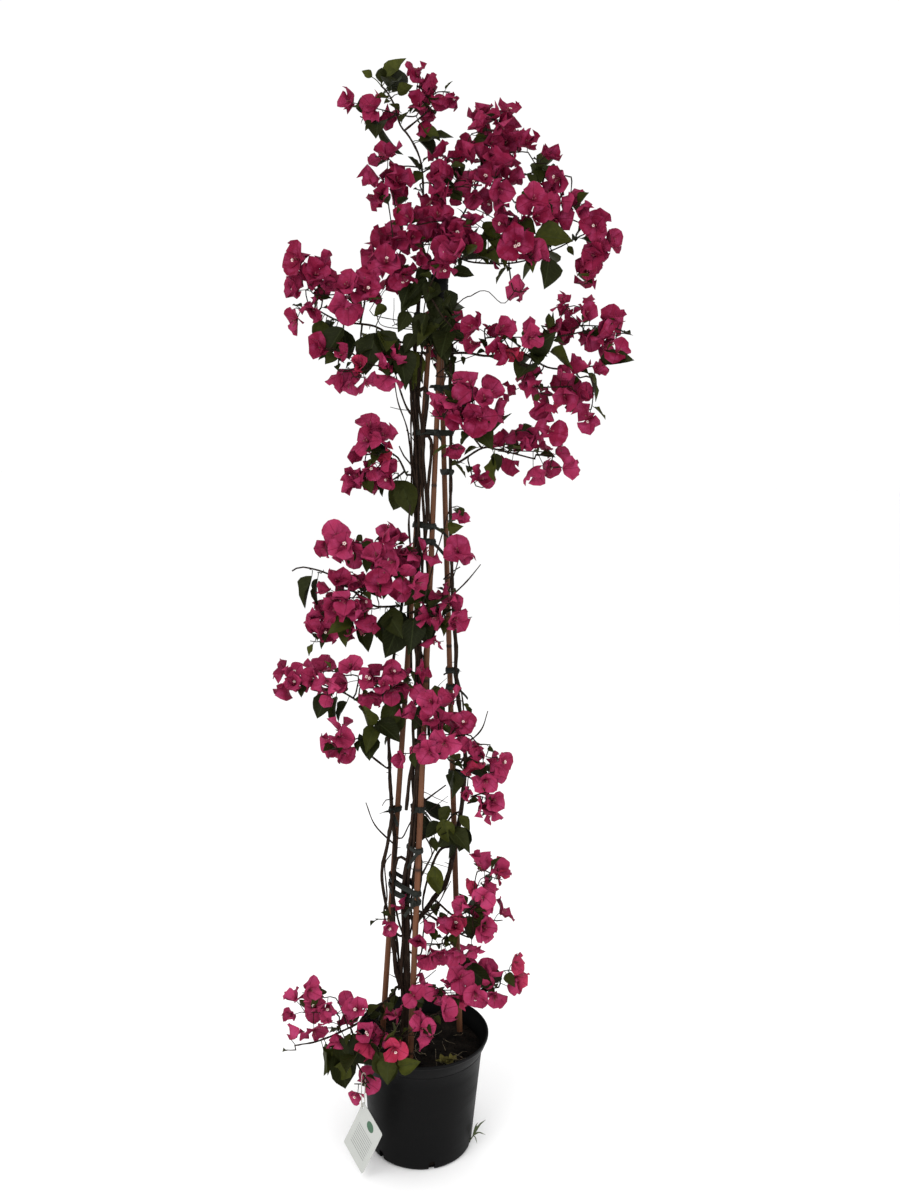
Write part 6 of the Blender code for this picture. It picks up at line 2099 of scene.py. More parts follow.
@dataclass
class BambooCane:
    """One cane, with a ridge and a dark band at each joint."""

    name: str
    number: int
    sides: int = 14
    step: float = 0.018

    def build(self, material: bpy.types.Material) -> bpy.types.Object:
        """Make the cane and return it."""
        axis = cane_rod(self.name)
        run = axis.points[1] - axis.points[0]
        length = float(np.linalg.norm(run))
        joints = np.arange(0.09 + 0.05 * self.number, length - 0.05, CANE_RING_SPACING)
        beside = (-0.0080, -0.0042, -0.0024, -0.0012, 0.0, 0.0012, 0.0024, 0.0042, 0.0080)
        stops = sorted({0.0, length, *np.arange(self.step, length - 0.01, self.step),
                        *(joint + offset for joint in joints for offset in beside)})
        stops = [stop for stop, before in zip(stops, [-1.0, *stops]) if stop - before > 0.0005]
        radii, stains = [], []
        for stop in stops:
            away = float(np.min(np.abs(joints - stop)))
            ridge = 0.055 * math.exp(-(away / 0.0016) ** 2)
            groove = 0.035 * math.exp(-((away - 0.0042) / 0.0022) ** 2)
            radius = CANE_FOOT_RADIUS + (CANE_HEAD_RADIUS - CANE_FOOT_RADIUS) * stop / length
            radii.append(radius * (0.94 + ridge - groove))
            stains.append(math.exp(-(away / 0.0034) ** 2))
        path = axis.points[0] + np.outer(np.array(stops) / length, run)
        skin = Skin()
        skin.add_rod(Rod(path, np.array(radii)), self.sides, joint=stains)
        return piece_from(self.name.replace("cane_", "bamboo_"), skin, material, (self.name,))


@dataclass
class CaneCap:
    """The plastic cap that holds the cane heads."""

    finish: PlasticFinish
    steps: int = 48

    def build(self) -> bpy.types.Object:
        """Make the cap and return it."""
        top = stepped(CAP_RADIUS, CAP_TOP_Z, (
            (-6.0, -0.1), (-3.2, -0.6), (-1.2, -1.8), (-0.2, -3.6), (-0.2, -12.0), (-0.9, -12.8),
            (-0.9, -15.0), (-0.3, -15.8)))
        mouth = stepped(CAP_RADIUS, CAP_BOTTOM_Z, ((-1.0, 3.0), (-1.4, 0.6), (-2.4, 0.0)))
        skin = Skin()
        skin.add_turned([(0.0, CAP_TOP_Z), *top, *mouth, (0.0, CAP_BOTTOM_Z)], self.steps, CAP_CENTRE)
        return piece_from("cane_head_cap", skin, self.finish.make(), ("cane_cap",), 30.0)


@dataclass
class WoodyStems:
    """The trunk, its side stems, the thin strands that climb with it, the bare spurs and the thorns."""

    growth: Growth
    finish: BarkFinish
    thin_finish: BarkFinish
    thorn_count: int = 110
    bare_below: float = 0.215

    def knotted(self, rod: Rod, start: float, end: float, seed: int, step: float = 0.009) -> Rod:
        """Return a finer rod with uneven girth and slight bends.

        Args:
            rod: The rod.
            start: Radius at the thick end.
            end: Radius at the thin end.
            seed: What the unevenness is drawn from.
            step: Length of a run.

        Returns:
            The rod.
        """
        fine = rod.finer(step, start, end)
        draw = np.random.default_rng((61, seed))
        reach = np.arange(len(fine.points)) * step
        swell = 1.0 + 0.07 * np.sin(reach * 150.0 + draw.uniform(0, 6)) + 0.05 * draw.normal(size=len(reach))
        for joint in np.arange(draw.uniform(0.02, 0.06), reach[-1], 0.055):
            swell += 0.20 * np.exp(-((reach - joint) / 0.005) ** 2)
        phases = draw.uniform(0, 6, 3)
        waves = [np.sin(reach * wave + phase) for wave, phase in zip((88.0, 71.0), phases)]
        sway = np.column_stack((*waves, np.zeros(len(reach))))
        sway *= 0.16 * np.minimum(1.0, reach / 0.04)[:, None] * end
        return Rod(fine.points + sway, fine.radii * np.clip(swell, 0.8, 1.35))

    def strand(self, start_turn: float, end_turn: float, low: float, high: float, gap: float) -> Rod:
        """Return a thin stem that climbs beside the trunk.

        Args:
            start_turn: On which side of the trunk it starts, in degrees.
            end_turn: On which side it ends.
            low: The height that it starts at.
            high: The height that it ends at.
            gap: How far it stands from the trunk's middle.

        Returns:
            The strand.
        """
        heights = np.arange(low, high, 0.05)
        turns = np.radians(np.linspace(start_turn, end_turn, len(heights)))
        path = []
        for height, turn in zip(heights, turns):
            middle, radius = rod_at(self.growth.stems["trunk"], float(height))
            stray = 0.003 * math.sin(41.0 * height + start_turn)
            path.append(middle + (radius + gap + stray) * np.array((math.cos(turn), math.sin(turn), 0.0)))
        return smooth_rod(path, 0.0024, 0.0015, 0.010)

    def bark(self) -> bpy.types.Object:
        """Return the trunk and its two side stems."""
        stems = self.growth.stems
        skin = Skin()
        skin.add_rod(self.knotted(stems["trunk"], 0.0074, 0.0033, 1, 0.008), 14)
        skin.add_rod(self.knotted(stems["left"], 0.0041, 0.0023, 2), 10)
        skin.add_rod(self.knotted(stems["right"], 0.0044, 0.0025, 3), 10)
        return piece_from("climbing_stems", skin, self.finish.make(), ("woody_stems",), 60.0)

    def thin(self) -> bpy.types.Object:
        """Return the thin strands and the bare spurs."""
        skin = Skin()
        climbs = (
            (-150.0, -40.0, 0.190, 1.440, 0.0030, 0.0030), (-60.0, -130.0, 0.330, 1.400, 0.0042, 0.0026),
            (30.0, -80.0, 0.190, 0.860, 0.0055, 0.0022), (-170.0, -20.0, 0.640, 1.460, 0.0075, 0.0030),
            (-10.0, -120.0, 0.760, 1.430, 0.0100, 0.0024), (200.0, 250.0, 0.880, 1.380, 0.0120, 0.0022))
        for number, (*climb, radius) in enumerate(climbs):
            skin.add_rod(self.knotted(self.strand(*climb), radius, radius * 0.6, 11 + number), 8)
        spurs = [(radius, metres(path)) for radius, *path in REAR_SPURS]
        for radius, near, far, *path in SEEN_STEMS:
            depths = np.linspace(near, far, len(path))
            spurs.append((radius, [seen_at(*spot, depth) for spot, depth in zip(path, depths)]))
        for number, (radius, path) in enumerate(spurs):
            start = spot_on(self.growth.stems.values(), np.array(path[0]))
            path = (start, *path) if np.linalg.norm(start - path[0]) > 0.002 else (start, *path[1:])
            thick, thin = radius / 1000, radius / 2000
            spur = smooth_rod(path, thick, thin, 0.008)
            skin.add_rod(self.knotted(spur, thick, thin, 20 + number, 0.008), 6)
        return piece_from("thin_strands", skin, self.thin_finish.make(), (), 60.0)

    def thorns(self, tree: bpy.types.NodeTree) -> bpy.types.Object:
        """Return the thorns.

        Args:
            tree: The tree that sets a shape on each point.

        Returns:
            The piece.
        """
        draw = np.random.default_rng(67)
        rods = self.growth.rods()
        lengths = np.array([rod.length() for rod in rods])
        points = Points()
        for _ in range(self.thorn_count):
            rod = rods[int(draw.choice(len(rods), p=lengths / lengths.sum()))]
            spot, run = rod.anywhere(draw)
            if spot[2] > self.bare_below:
                out = unit(np.cross(run, draw.normal(size=3)))
                size = (draw.uniform(0.008, 0.015),) * 3
                points.add(spot, facing_frame(out + 0.25 * run, -run), size, 0, 0.5)
        return foliage_piece("thorns", points, [thorn_shape()], tree, self.thin_finish.make())

    def build(self, tree: bpy.types.NodeTree) -> None:
        """Make the stems and what grows straight from them."""
        self.bark()
        self.thin()
        self.thorns(tree)


@dataclass
class TapeTie:
    """A tie of garden tape: wound twice, knotted at the front, with loose tails."""

    tie: Tie
    rods: dict[str, Rod]
    seed: int
    step: float = 0.0030

    def loop(self, skin: Skin, gap: float, width: float, rise: float, tilt: float) -> np.ndarray:
        """Add one winding.

        Args:
            skin: What it is added to.
            gap: How far it stands off the canes and stems.
            width: Its width.
            rise: How far it is above the tie's height.
            tilt: How much it slopes from side to side.

        Returns:
            The points that it follows.
        """
        height = self.tie.height
        held = [rod_at(self.rods[name], height) for name in self.tie.holds]
        circles = [(*middle[:2], radius + 0.0006 + gap) for middle, radius in held]
        flat = even_loop(hull_outline(circles, 24), self.step)
        count = len(flat)
        around = np.roll(flat, -1, axis=0) - np.roll(flat, 1, axis=0)
        outward = np.column_stack((around[:, 1], -around[:, 0], np.zeros(count)))
        outward /= np.linalg.norm(outward, axis=1)[:, None]
        turns = np.arange(count) * 2 * math.pi / count
        centred = flat - flat.mean(axis=0)
        ripple = 0.0006 * np.sin(3.0 * turns + self.seed) + tilt * centred[:, 0]
        path = np.column_stack((flat, height + rise + ripple))
        lean = 0.16 * np.sin(2.0 * turns + self.seed)
        wide = np.array((0.0, 0.0, 1.0)) * np.cos(lean)[:, None] + outward * np.sin(lean)[:, None]
        skin.add_ribbon(path, wide, outward, width, TIE_THICKNESS * 0.75, closed=True)
        return path

    def tail(self, skin: Skin, knot: np.ndarray, draw: np.random.Generator, side: float) -> None:
        """Add one loose end.

        Args:
            skin: What it is added to.
            knot: Where it starts.
            draw: What its shape is drawn from.
            side: Which side it leaves to.
        """
        length = draw.uniform(0.016, 0.034)
        way = (side * draw.uniform(0.3, 1.0), -draw.uniform(0.2, 0.7), draw.uniform(-1.0, 0.7))
        way = unit(np.array(way))
        droop = np.array((0.0, 0.0, -draw.uniform(0.1, 0.5)))
        shares = np.linspace(0.0, 1.0, 7)
        path = np.array([knot + length * (share * way + share ** 2 * droop) for share in shares])
        across = unit(np.cross(way, (0.1, -1.0, 0.3)))
        twist = draw.uniform(-1.4, 1.4)
        wide, out = [], []
        for share in shares:
            face = unit(np.cross(across, way))
            wide.append(across * math.cos(twist * share) + face * math.sin(twist * share))
            out.append(face * math.cos(twist * share) - across * math.sin(twist * share))
        skin.add_ribbon(path, np.array(wide), np.array(out), draw.uniform(0.0034, 0.0062), 0.0006)

    def build(self, material: bpy.types.Material, node: str | None) -> bpy.types.Object:
        """Make the tie.

        Args:
            material: The tape's material.
            node: The node of the frame that it stands for, if any.

        Returns:
            The piece.
        """
        draw = np.random.default_rng((73, self.seed))
        skin = Skin()
        base = self.loop(skin, 0.0, TIE_WIDTH * 0.86, 0.0, draw.uniform(-0.04, 0.04))
        self.loop(skin, 0.0011, TIE_WIDTH * 0.55, draw.uniform(-0.0022, 0.0022), draw.uniform(-0.10, 0.10))
        front = int(np.argmin(base[:, 1] + 0.35 * draw.uniform(-1, 1) * base[:, 0]))
        knot = base[front] + np.array((0.0, -0.0026, 0.0))
        skin.add_lump(knot, (0.0046, 0.0034, 0.0052), self.seed)
        for number in range(self.tie.tails):
            self.tail(skin, knot, draw, 1.0 if number % 2 else -1.0)
        name = "tape_" + self.tie.name.removeprefix("tie_")
        return piece_from(name, skin, material, (node,) if node else (), 40.0)


@dataclass
class PlantTag:
    """The printed label and its cord loop."""

    card_finish: CardFinish
    cord_finish: StrawFinish
    columns: int = 20
    rows: int = 38
    corner: float = 0.0045
    bend: float = 0.0012
    cord_sides: int = 8

    def place(self) -> Matrix:
        """Return where the card hangs and how it is turned."""
        turn = Matrix.Rotation(TAG_YAW, 4, "Z") @ Matrix.Rotation(TAG_TILT, 4, "Y")
        return Matrix.Translation(TAG_CORNER) @ turn

    def rounded(self, across: float, down: float) -> tuple[float, float]:
        """Return a place on the card, pulled in where it is outside a rounded corner."""
        near = [min(max(value, self.corner), size - self.corner)
                for value, size in zip((across, down), TAG_SIZE)]
        away = (across - near[0], down - near[1])
        reach = math.hypot(*away)
        if away[0] and away[1] and reach > self.corner:
            return near[0] + away[0] * self.corner / reach, near[1] + away[1] * self.corner / reach
        return across, down

    def blank(self) -> bpy.types.Object:
        """Return the flat card before its hole is cut."""
        width, height = TAG_SIZE
        corners, faces = [], []
        stops = [sorted({0.0, size, *(self.corner * share for share in (0.3, 0.65, 1.0)),
                         *(size - self.corner * share for share in (0.3, 0.65, 1.0)),
                         *np.linspace(0.008, size - 0.008, count)})
                 for size, count in ((width, self.columns), (height, self.rows))]
        wide, tall = len(stops[0]), len(stops[1])
        for side in (-TAG_THICKNESS / 2, TAG_THICKNESS / 2):
            for down in stops[1]:
                for across in stops[0]:
                    x, z = self.rounded(across, down)
                    corners.append((x, side, -z))
        for row in range(tall - 1):
            for column in range(wide - 1):
                first = row * wide + column
                face = (first, first + 1, first + wide + 1, first + wide)
                faces += [face, tuple(index + wide * tall for index in face)[::-1]]
        edge = [*range(wide), *(row * wide + wide - 1 for row in range(1, tall)),
                *((tall - 1) * wide + column for column in range(wide - 2, -1, -1)),
                *(row * wide for row in range(tall - 2, 0, -1))]
        for start, end in zip(edge, [*edge[1:], edge[0]]):
            faces.append((start, end, end + wide * tall, start + wide * tall))
        skin = Skin()
        skin.add(corners, faces)
        return make_object("card_blank", skin.mesh("card_blank"))

    def card(self) -> bpy.types.Object:
        """Return the card, with its hole, its print and a slight bend."""
        skin = Skin()
        punch = [(0.0, -0.005), (TAG_HOLE_RADIUS, -0.005), (TAG_HOLE_RADIUS, 0.005), (0.0, 0.005)]
        skin.add_turned(punch, 28)
        skin.corners = [(x + TAG_HOLE[0], -z, y + TAG_HOLE[1]) for x, y, z in skin.corners]
        mesh = cut_out("tag_board", self.blank(), (make_object("hole_cutter", skin.mesh("hole_cutter")),))
        width, height = TAG_SIZE
        chart = mesh.uv_layers.new(name="UVMap")
        for loop in mesh.loops:
            corner = mesh.vertices[loop.vertex_index].co
            chart.data[loop.index].uv = (corner.x / width, -corner.z / width)
        face = mesh.attributes.new("part", "FLOAT", "POINT")
        face.data.foreach_set("value", [1.0 if corner.co.y < 0.0 else 0.0 for corner in mesh.vertices])
        place = self.place()
        for corner in mesh.vertices:
            down, across = -corner.co.z / height, corner.co.x / width
            sway = self.bend * (math.sin(math.pi * down) + 0.6 * down * (across - 0.5))
            corner.co = place @ Vector((corner.co.x, corner.co.y + sway, corner.co.z))
        mesh.materials.append(self.card_finish.make())
        return settle(make_object("tag_board", smooth(mesh, 40.0)), ("tag_card",))

    def loop(self) -> bpy.types.Object:
        """Return the cord loop from the hole over the twig above it."""
        hole = np.array(self.place() @ Vector((TAG_HOLE[0], 0.0, TAG_HOLE[1])))
        outward = np.array((math.sin(TAG_YAW), -math.cos(TAG_YAW), 0.0))
        low = hole[2] + TAG_HOLE_RADIUS - LOOP_WIRE - 0.0004
        side = ((0.0019, low + 0.0004), (0.0034, low + 0.0026), (0.0037, LOOP_TWIG_Z),
                (0.0027, LOOP_TWIG_Z + 0.0029))
        back = [(-out, height) for out, height in side[::-1]]
        route = [(0.0, low), *side, (0.0, LOOP_TWIG_Z + 0.0040), *back]
        path = even_loop([(*(hole[:2] + outward[:2] * out), height) for out, height in route], 0.0022)
        ahead = np.roll(path, -1, axis=0) - np.roll(path, 1, axis=0)
        ahead /= np.linalg.norm(ahead, axis=1)[:, None]
        level = np.cross(outward, (0.0, 0.0, 1.0))
        corners = []
        for number, (spot, way) in enumerate(zip(path, ahead)):
            inward = np.cross(level, way)
            for turn in np.arange(self.cord_sides) * 2 * math.pi / self.cord_sides + number * 0.25:
                corners.append(spot + LOOP_WIRE * (math.cos(turn) * level + math.sin(turn) * inward))
        skin = Skin()
        skin.add(corners, tube_faces(len(path), self.cord_sides, closed=True))
        return piece_from("tag_cord", skin, self.cord_finish.make(), ("tag_loop",), 60.0)

    def build(self) -> None:
        """Make the card and its loop."""
        self.card()
        self.loop()


@dataclass
class WeedSprig:
    """The small weed that grows out of one drain notch."""

    finish: LeafFinish

    def build(self) -> bpy.types.Object:
        """Make the sprig and return it."""
        angle = NOTCH_FIRST_ANGLE + 2 * math.pi / NOTCH_COUNT
        outward = np.array((math.cos(angle), math.sin(angle), 0.0))
        upward = np.array((0.0, 0.0, 1.0))
        sideways = np.cross(upward, outward)
        root = outward * (FOOT_RADIUS - POT_WALL) + upward * 0.010
        fork = outward * 0.100 + upward * 0.022
        stem = smooth_rod((root, outward * 0.096 + upward * 0.014, fork), 0.0012, 0.0010, 0.004)
        skin = Skin()
        skin.add_rod(stem, 6, tone=0.6)
        blades = metres(((122, 56, 4, 3.8), (112, 50, -6, 3.2), (121, 22, 10, 3.0), (106, 42, 12, 2.7),
                         (122, 36, -10, 3.1), (110, 14, -8, 2.5)))
        for number, (reach, height, aside, width) in enumerate(blades):
            tip = outward * reach + upward * height + sideways * aside
            bend = (fork + tip) / 2 + upward * 0.005
            path = smooth_rod((fork, bend, tip), 1.0, 1.0, 0.003).points
            across = unit(np.cross(tip - fork, (0.3, 1.0, 0.2)))
            self.blade(skin, path, across, width, 0.35 + 0.12 * number)
        return piece_from("sprig_blades", skin, self.finish.make(), ("weed_sprig",), 60.0)

    def blade(self, skin: Skin, path: np.ndarray, across: np.ndarray, width: float, tone: float) -> None:
        """Add a narrow grass-like blade, folded along its middle.

        Args:
            skin: What it is added to.
            path: Its middle line.
            across: The way of its width.
            width: Its greatest width.
            tone: From 0, dark, to 1, fresh.
        """
        corners = []
        for share, spot in zip(np.linspace(0.0, 1.0, len(path)), path):
            half = width / 2 * max(0.08, math.sin(math.pi * min(1.0, 0.16 + 0.84 * share)) ** 0.8)
            dip = unit(np.cross(across, path[-1] - path[0])) * half * 0.5
            corners += [spot - across * half + dip, spot, spot + across * half + dip, spot + dip * 1.3]
        skin.add(corners, tube_faces(len(path), 4), tone=tone)


def swayed(turn: np.ndarray, nod: float, twist: float) -> np.ndarray:
    """Return a blade's matrix, nodded about its width and then twisted about its length, in radians."""
    along, sideways, face = turn.T
    along, face = math.cos(nod) * along + math.sin(nod) * face, math.cos(nod) * face - math.sin(nod) * along
    sideways, face = (math.cos(twist) * sideways + math.sin(twist) * face,
                      math.cos(twist) * face - math.sin(twist) * sideways)
    return np.column_stack((along, sideways, face))


@dataclass
class Foliage:
    """Everything that grows from the stems: twigs, stalks, leaves, blooms and their flowers."""

    growth: Growth
    tree: bpy.types.NodeTree
    bract: BractFinish
    flower: FlowerFinish
    leaf: LeafFinish
    twig: BarkFinish
    bract_scale: float = 0.99
    crumple: float = 0.0042
    open_share: float = 0.10
    flower_length: float = 0.0155
    young_spacing: float = 0.034

    def twigs(self) -> None:
        """Make the twigs of every shoot and the stalks of every bunch."""
        skin = Skin()
        number = 0
        for rods in self.growth.twigs.values():
            for index, rod in enumerate(rods):
                number += 1
                path, radii = rod.points, (0.0017, 0.0010)
                if index == 0:
                    path, radii = (spot_on(self.growth.stems.values(), path[0]), *path), (0.0022, 0.0013)
                skin.add_rod(self.kinked(smooth_rod(path, *radii, 0.009), number), 7)
        piece_from("leafy_twigs", skin, self.twig.make(), (), 60.0)
        stalks = Skin()
        rows = [(bunch.shoot, self.growth.stalks[bunch.name], self.growth.blooms[bunch.name])
                for bunch in BUNCHES]
        rows += [(spray.shoot, spray.stalk, spray.blooms) for spray in self.growth.sprays]
        for shoot_name, stalk, blooms in rows:
            number += 1
            stalks.add_rod(self.kinked(self.fine_stalk(shoot_name, stalk), number), 6)
            for bloom in blooms:
                start = spot_on((stalk,), bloom.root)
                rise = 0.10 * np.linalg.norm(bloom.place - start)
                middle = (start + bloom.place) / 2 + rise * np.array((0.0, 0.0, 1.0))
                end = bloom.place + bloom.axis * 0.0015
                stalks.add_rod(smooth_rod((start, middle, end), 0.00075, 0.00060, 0.007), 5)
        material = replace(self.twig, name="flower_stalk").make()
        piece_from("flower_stalks", stalks, material, (), 60.0)

    def fine_stalk(self, shoot: str, rod: Rod) -> Rod:
        """Return a stalk, rooted in the twig that it grows from."""
        path = (spot_on(self.growth.twigs[shoot], rod.points[0]), *rod.points)
        return smooth_rod(path, 0.0014, 0.0008, 0.009)

    def kinked(self, rod: Rod, seed: int) -> Rod:
        """Return a rod with small kinks and swollen joints."""
        draw = np.random.default_rng((89, seed))
        count = len(rod.points)
        kinks = np.cumsum(draw.normal(size=(count, 3)) * 0.00016, axis=0)
        kinks -= np.outer(np.linspace(0.0, 1.0, count), kinks[-1])
        swell = 1.0 + 0.22 * (np.sin(np.arange(count) * 2.1 + seed) > 0.86) + 0.05 * draw.normal(size=count)
        return Rod(rod.points + kinks, rod.radii * np.clip(swell, 0.85, 1.3))

    def blooms(self) -> None:
        """Make the bracts of each bunch, and all the flowers."""
        material = self.bract.make()
        flowers = Points()
        groups = [(bunch.name.removeprefix("bracts_") + "_blooms", self.growth.blooms[bunch.name],
                   (bunch.name,)) for bunch in BUNCHES]
        for shoot in SHOOTS:
            sprays = [spray for spray in self.growth.sprays if spray.shoot == shoot.name]
            extra = [bloom for spray in sprays for bloom in spray.blooms]
            if extra:
                groups.append((shoot.name.removeprefix("leafy_") + "_sprays", extra, ()))
        for number, (name, blooms, nodes) in enumerate(groups):
            draw = np.random.default_rng((97, number))
            points = Points()
            for bloom in blooms:
                self.bloom(bloom, draw, points, flowers)
            foliage_piece(name, points, bract_shapes(), self.tree, material, nodes, self.crumple,
                          float(number), 100.0)
        foliage_piece("true_flowers", flowers, flower_shapes(), self.tree, self.flower.make(), (),
                      0.0006, 7.0, 60.0)

    def bloom(self, bloom: Bloom, draw: np.random.Generator, points: Points, flowers: Points) -> None:
        """Add one bloom's bracts and flowers.

        Args:
            bloom: The bloom.
            draw: What its looks are drawn from.
            points: Where its bracts are added.
            flowers: Where its flowers are added.
        """
        # Painted light and shade: blooms low on the plant get a brighter tone, those high in the crown a
        # darker one, with random spread on top.
        low = 1.0 - min(1.0, max(0.0, (bloom.place[2] - 0.30) / 1.25))
        tone = 0.18 + 0.50 * low + draw.normal() * 0.13
        blush = float(draw.uniform(0.2, 0.5)) if draw.random() < 0.02 + 0.04 * low else 0.0
        grown_by = self.bract_scale * draw.uniform(0.88, 1.06)
        for turn in bloom.frames():
            length = bloom.length * grown_by * draw.uniform(0.96, 1.05)
            size = (length, length * draw.uniform(0.96, 1.16), length * draw.uniform(0.6, 1.6))
            turned = swayed(turn, 0.10 + draw.normal() * 0.16, draw.normal() * 0.28)
            shape = int(draw.integers(6))
            shade = float(np.clip(tone + draw.normal() * 0.07, 0.0, 1.0))
            points.add(bloom.place, turned, size, shape, shade, blush)
            is_open = draw.random() < self.open_share
            lean = unit(bloom.axis + (0.42 if is_open else 0.30) * turn[:, 0] + 0.10 * draw.normal(size=3))
            size = (self.flower_length * draw.uniform(0.82, 1.08) * min(1.0, bloom.length / 0.029),) * 3
            shape = 2 if is_open else int(draw.integers(2))
            flowers.add(bloom.place + bloom.axis * 0.0008, facing_frame(lean, turn[:, 1]), size, shape, 0.5)

    def leaves(self) -> None:
        """Make the leaves of each shoot, and the small leaves along twigs and stalks."""
        material = self.leaf.make()
        petioles = Skin()
        for number, shoot in enumerate(SHOOTS):
            draw = np.random.default_rng((101, number))
            points = Points()
            for leaf in self.growth.leaves[shoot.name]:
                size = leaf.length * draw.uniform(0.98, 1.08)
                # Painted shade: the leaves among the canes get their green darkened to 0.4 of its tone.
                tone = self.leaf_tone(draw) * (0.4 if shoot.name == "leafy_inner" else 1.0)
                scale = (size, size * draw.uniform(0.92, 1.15), size)
                points.add(leaf.base, leaf.frame(), scale, int(draw.integers(3)), tone)
                middle = (leaf.root + leaf.base) / 2 + np.array((0.0, 0.0, 0.0006))
                path = (leaf.root, middle, leaf.base + leaf.along * 0.002)
                petioles.add_rod(smooth_rod(path, 0.0008, 0.0006, 0.004), 5, tone=tone)
            self.young_leaves(shoot, draw, points, petioles)
            name = shoot.name.removeprefix("leafy_") + "_leaves"
            foliage_piece(name, points, leaf_shapes(), self.tree, material, (shoot.name,), 0.0022,
                          20.0 + number, 100.0)
        self.stray_leaves(material, petioles)
        piece_from("leaf_stems", petioles, material, (), 60.0)

    def stray_leaves(self, material: bpy.types.Material, petioles: Skin) -> None:
        """Make the leaves that stand apart.

        Args:
            material: Their material.
            petioles: Where their stems are added.
        """
        stray = Points()
        draw = np.random.default_rng(103)
        rods = self.growth.rods()
        for *pixels, near, far, tone in SEEN_LEAVES:
            base, tip = seen_at(*pixels[:2], near), seen_at(*pixels[2:], far)
            size = float(np.linalg.norm(tip - base))
            face = (0.45 * draw.normal(), -0.9, 0.35 + 0.3 * draw.normal())
            scale = (size, size * draw.uniform(0.95, 1.2), size)
            stray.add(base, facing_frame(tip - base, face), scale, int(draw.integers(3)), tone)
            start = spot_on(rods, base)
            middle = (start + base) / 2 + np.array((0.0, 0.0, 0.002))
            petioles.add_rod(smooth_rod((start, middle, base), 0.0009, 0.0007, 0.006), 5, tone=0.3)
        foliage_piece("stray_leaves", stray, leaf_shapes(), self.tree, material, (), 0.0020, 3.0,
                      100.0)

    def leaf_tone(self, draw: np.random.Generator) -> float:
        """Return how fresh a leaf's green is: most are dark, a few are olive."""
        return float(np.clip(draw.beta(0.9, 3.2) * 1.15, 0.0, 1.0))

    def young_leaves(self, shoot: Shoot, draw: np.random.Generator, points: Points, petioles: Skin) -> None:
        """Add the small leaves that grow along a shoot's twigs and its bunches' stalks.

        Args:
            shoot: The shoot.
            draw: What they are drawn from.
            points: Where the blades are added.
            petioles: Where their stems are added.
        """
        stalks = [self.growth.stalks[bunch.name] for bunch in BUNCHES if bunch.shoot == shoot.name]
        stalks += [spray.stalk for spray in self.growth.sprays if spray.shoot == shoot.name]
        for rod in (*self.growth.twigs[shoot.name], *stalks):
            for _ in range(max(1, round(rod.length() / self.young_spacing))):
                root, run = rod.anywhere(draw)
                out = unit(np.cross(run, draw.normal(size=3)) + np.array((0.0, -0.25, 0.0)))
                along = unit(out + 0.5 * run + np.array((0.0, 0.0, -0.25)))
                size = float(draw.uniform(0.014, 0.032))
                base = root + along * (0.004 + 0.10 * size)
                tone = self.leaf_tone(draw) * 0.8 + 0.12
                face = np.array((0.0, -0.4, 1.0)) + 0.4 * draw.normal(size=3)
                scale = (size, size * draw.uniform(0.85, 1.1), size)
                points.add(base, facing_frame(along, face), scale, int(draw.integers(3)), tone)
                petiole = Rod(np.array((root, base + along * 0.001)), np.array((0.0007, 0.0005)))
                petioles.add_rod(petiole, 4, tone=tone)

    def build(self) -> None:
        """Make all the growth."""
        self.twigs()
        self.leaves()
        self.blooms()


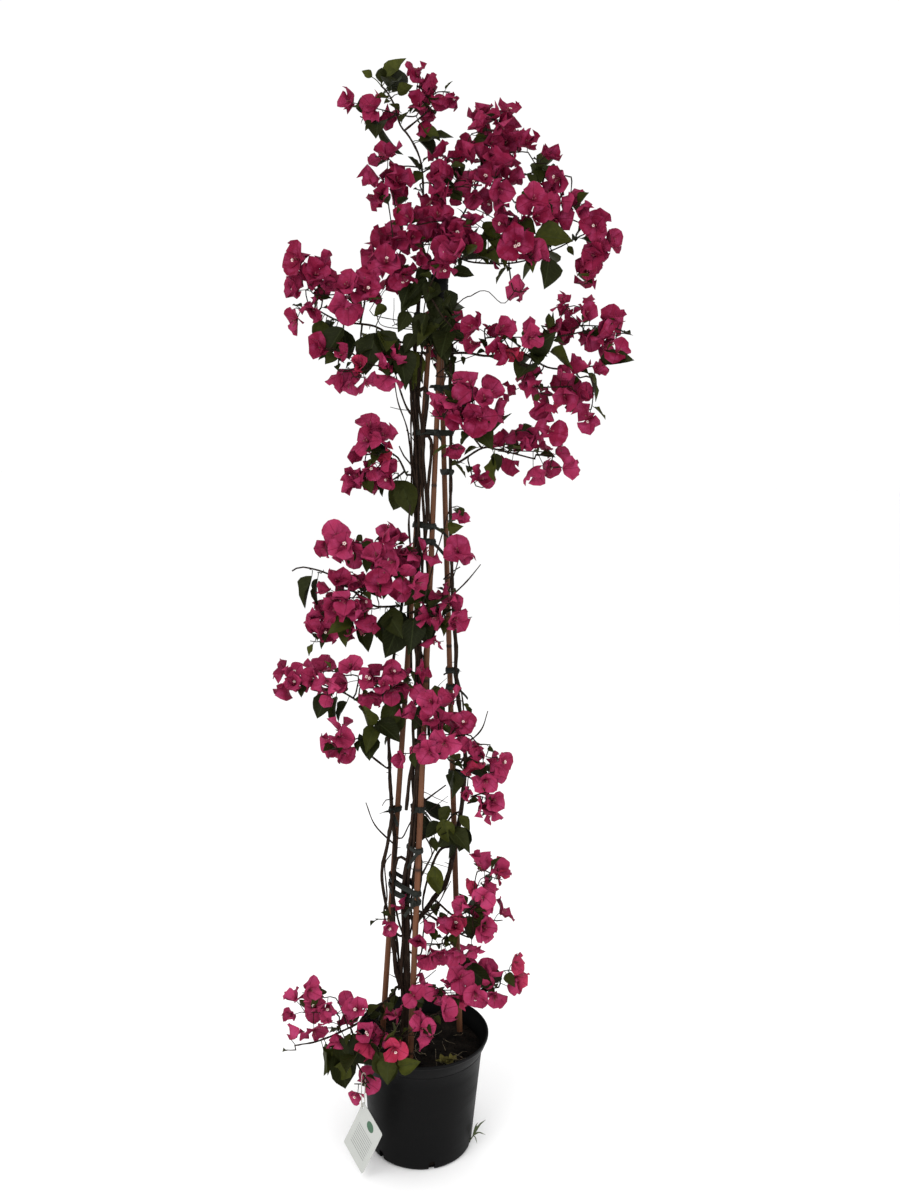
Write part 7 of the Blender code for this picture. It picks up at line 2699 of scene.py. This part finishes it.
@dataclass
class Studio:
    """A pale floor, soft light and the camera at the photograph's place."""

    floor_radius: float = 90.0
    world_light: float = 1.03

    def camera(self) -> None:
        """Set up the camera."""
        right, over, ahead = camera_axes()
        data = bpy.data.cameras.new("studio_camera")
        data.sensor_width = SENSOR_MM
        data.lens = SENSOR_MM * FOCAL_PIXELS / max(IMAGE_SIZE)
        data.clip_end = 200.0
        camera = bpy.data.objects.new("studio_camera", data)
        bpy.context.scene.collection.objects.link(camera)
        turn = Matrix(np.column_stack((right, over, -ahead)).tolist()).to_4x4()
        camera.matrix_world = Matrix.Translation(CAMERA_PLACE) @ turn
        bpy.context.scene.camera = camera

    def floor(self) -> None:
        """Lay the floor."""
        skin = Skin()
        outline = [(0.0, -0.0005), (self.floor_radius, -0.0005), (self.floor_radius, -0.05), (0.0, -0.05)]
        skin.add_turned(outline, 96)
        floor = make_object("studio_floor", skin.mesh("studio_floor"))
        floor.data.materials.append(FloorFinish().make())

    def lamp(self, name: str, place: Triple, aim: Triple, size: float, power: float) -> None:
        """Hang a soft square light.

        Args:
            name: Its name.
            place: Where it hangs.
            aim: What it points at.
            size: Its side.
            power: Its power in watts.
        """
        data = bpy.data.lights.new(name, "AREA")
        data.shape, data.size, data.energy = "SQUARE", size, power
        lamp = bpy.data.objects.new(name, data)
        bpy.context.scene.collection.objects.link(lamp)
        lamp.location = place
        lamp.rotation_euler = (Vector(aim) - Vector(place)).to_track_quat("-Z", "Y").to_euler()

    def build(self) -> None:
        """Set up the studio."""
        self.camera()
        self.floor()
        self.lamp("key_light", (-1.9, -2.6, 2.9), (0.0, 0.0, 0.9), 2.2, 60.0)
        self.lamp("fill_light", (2.4, -1.6, 1.3), (0.0, 0.0, 0.6), 2.0, 28.0)
        self.lamp("low_light", (-0.4, -2.8, 0.5), (0.0, 0.0, 0.5), 1.6, 18.0)
        world = bpy.data.worlds.new("pale_studio")
        bpy.context.scene.world = world
        world.use_nodes = True
        background = world.node_tree.nodes["Background"].inputs
        background["Color"].default_value = (1.0, 1.0, 1.0, 1.0)
        background["Strength"].default_value = self.world_light
        bpy.context.scene.view_settings.view_transform = "Standard"


def main() -> None:
    """Dress the whole plant, piece by piece."""
    logging.basicConfig(level=logging.INFO, format="%(name)s %(message)s")
    Studio().build()
    growth = Growth().draw()
    leaves, blooms = (sum(map(len, found.values())) for found in (growth.leaves, growth.blooms))
    LOG.info("drawn again: %d leaves, %d blooms", leaves, blooms)
    tree = placing_tree()
    NurseryPot(PlasticFinish("nursery_plastic")).build()
    seedling_green = LeafFinish("seedling_green", fresh=(0.14, 0.12, 0.03))
    Compost(SoilFinish(), StrawFinish("dry_straw"), seedling_green).build(tree)
    canes = {name: cane_rod(name) for name in CANE_FEET}
    bamboo = BambooFinish().make()
    for number, name in enumerate(canes):
        BambooCane(name, number).build(bamboo)
    CaneCap(PlasticFinish("cap_plastic", roughness=0.42)).build()
    WoodyStems(growth, BarkFinish("old_bark"), BarkFinish("thin_bark", relief=0.0005)).build(tree)
    tape = TapeFinish().make()
    rods = {**canes, **growth.stems}
    for seed, tie in enumerate((*TIES, *MORE_TIES)):
        TapeTie(tie, rods, seed).build(tape, tie.name if tie in TIES else None)
    PlantTag(CardFinish(), StrawFinish("pale_cord", pale=(0.42, 0.40, 0.34), dull=(0.25, 0.23, 0.19))).build()
    WeedSprig(LeafFinish("weed_green", old=(0.045, 0.060, 0.030), fresh=(0.130, 0.155, 0.075))).build()
    twig_bark = BarkFinish("twig_bark", relief=0.0004)
    Foliage(growth, tree, BractFinish(), FlowerFinish(), LeafFinish("leaf_green"), twig_bark).build()


if __name__ == "__main__":
    main()
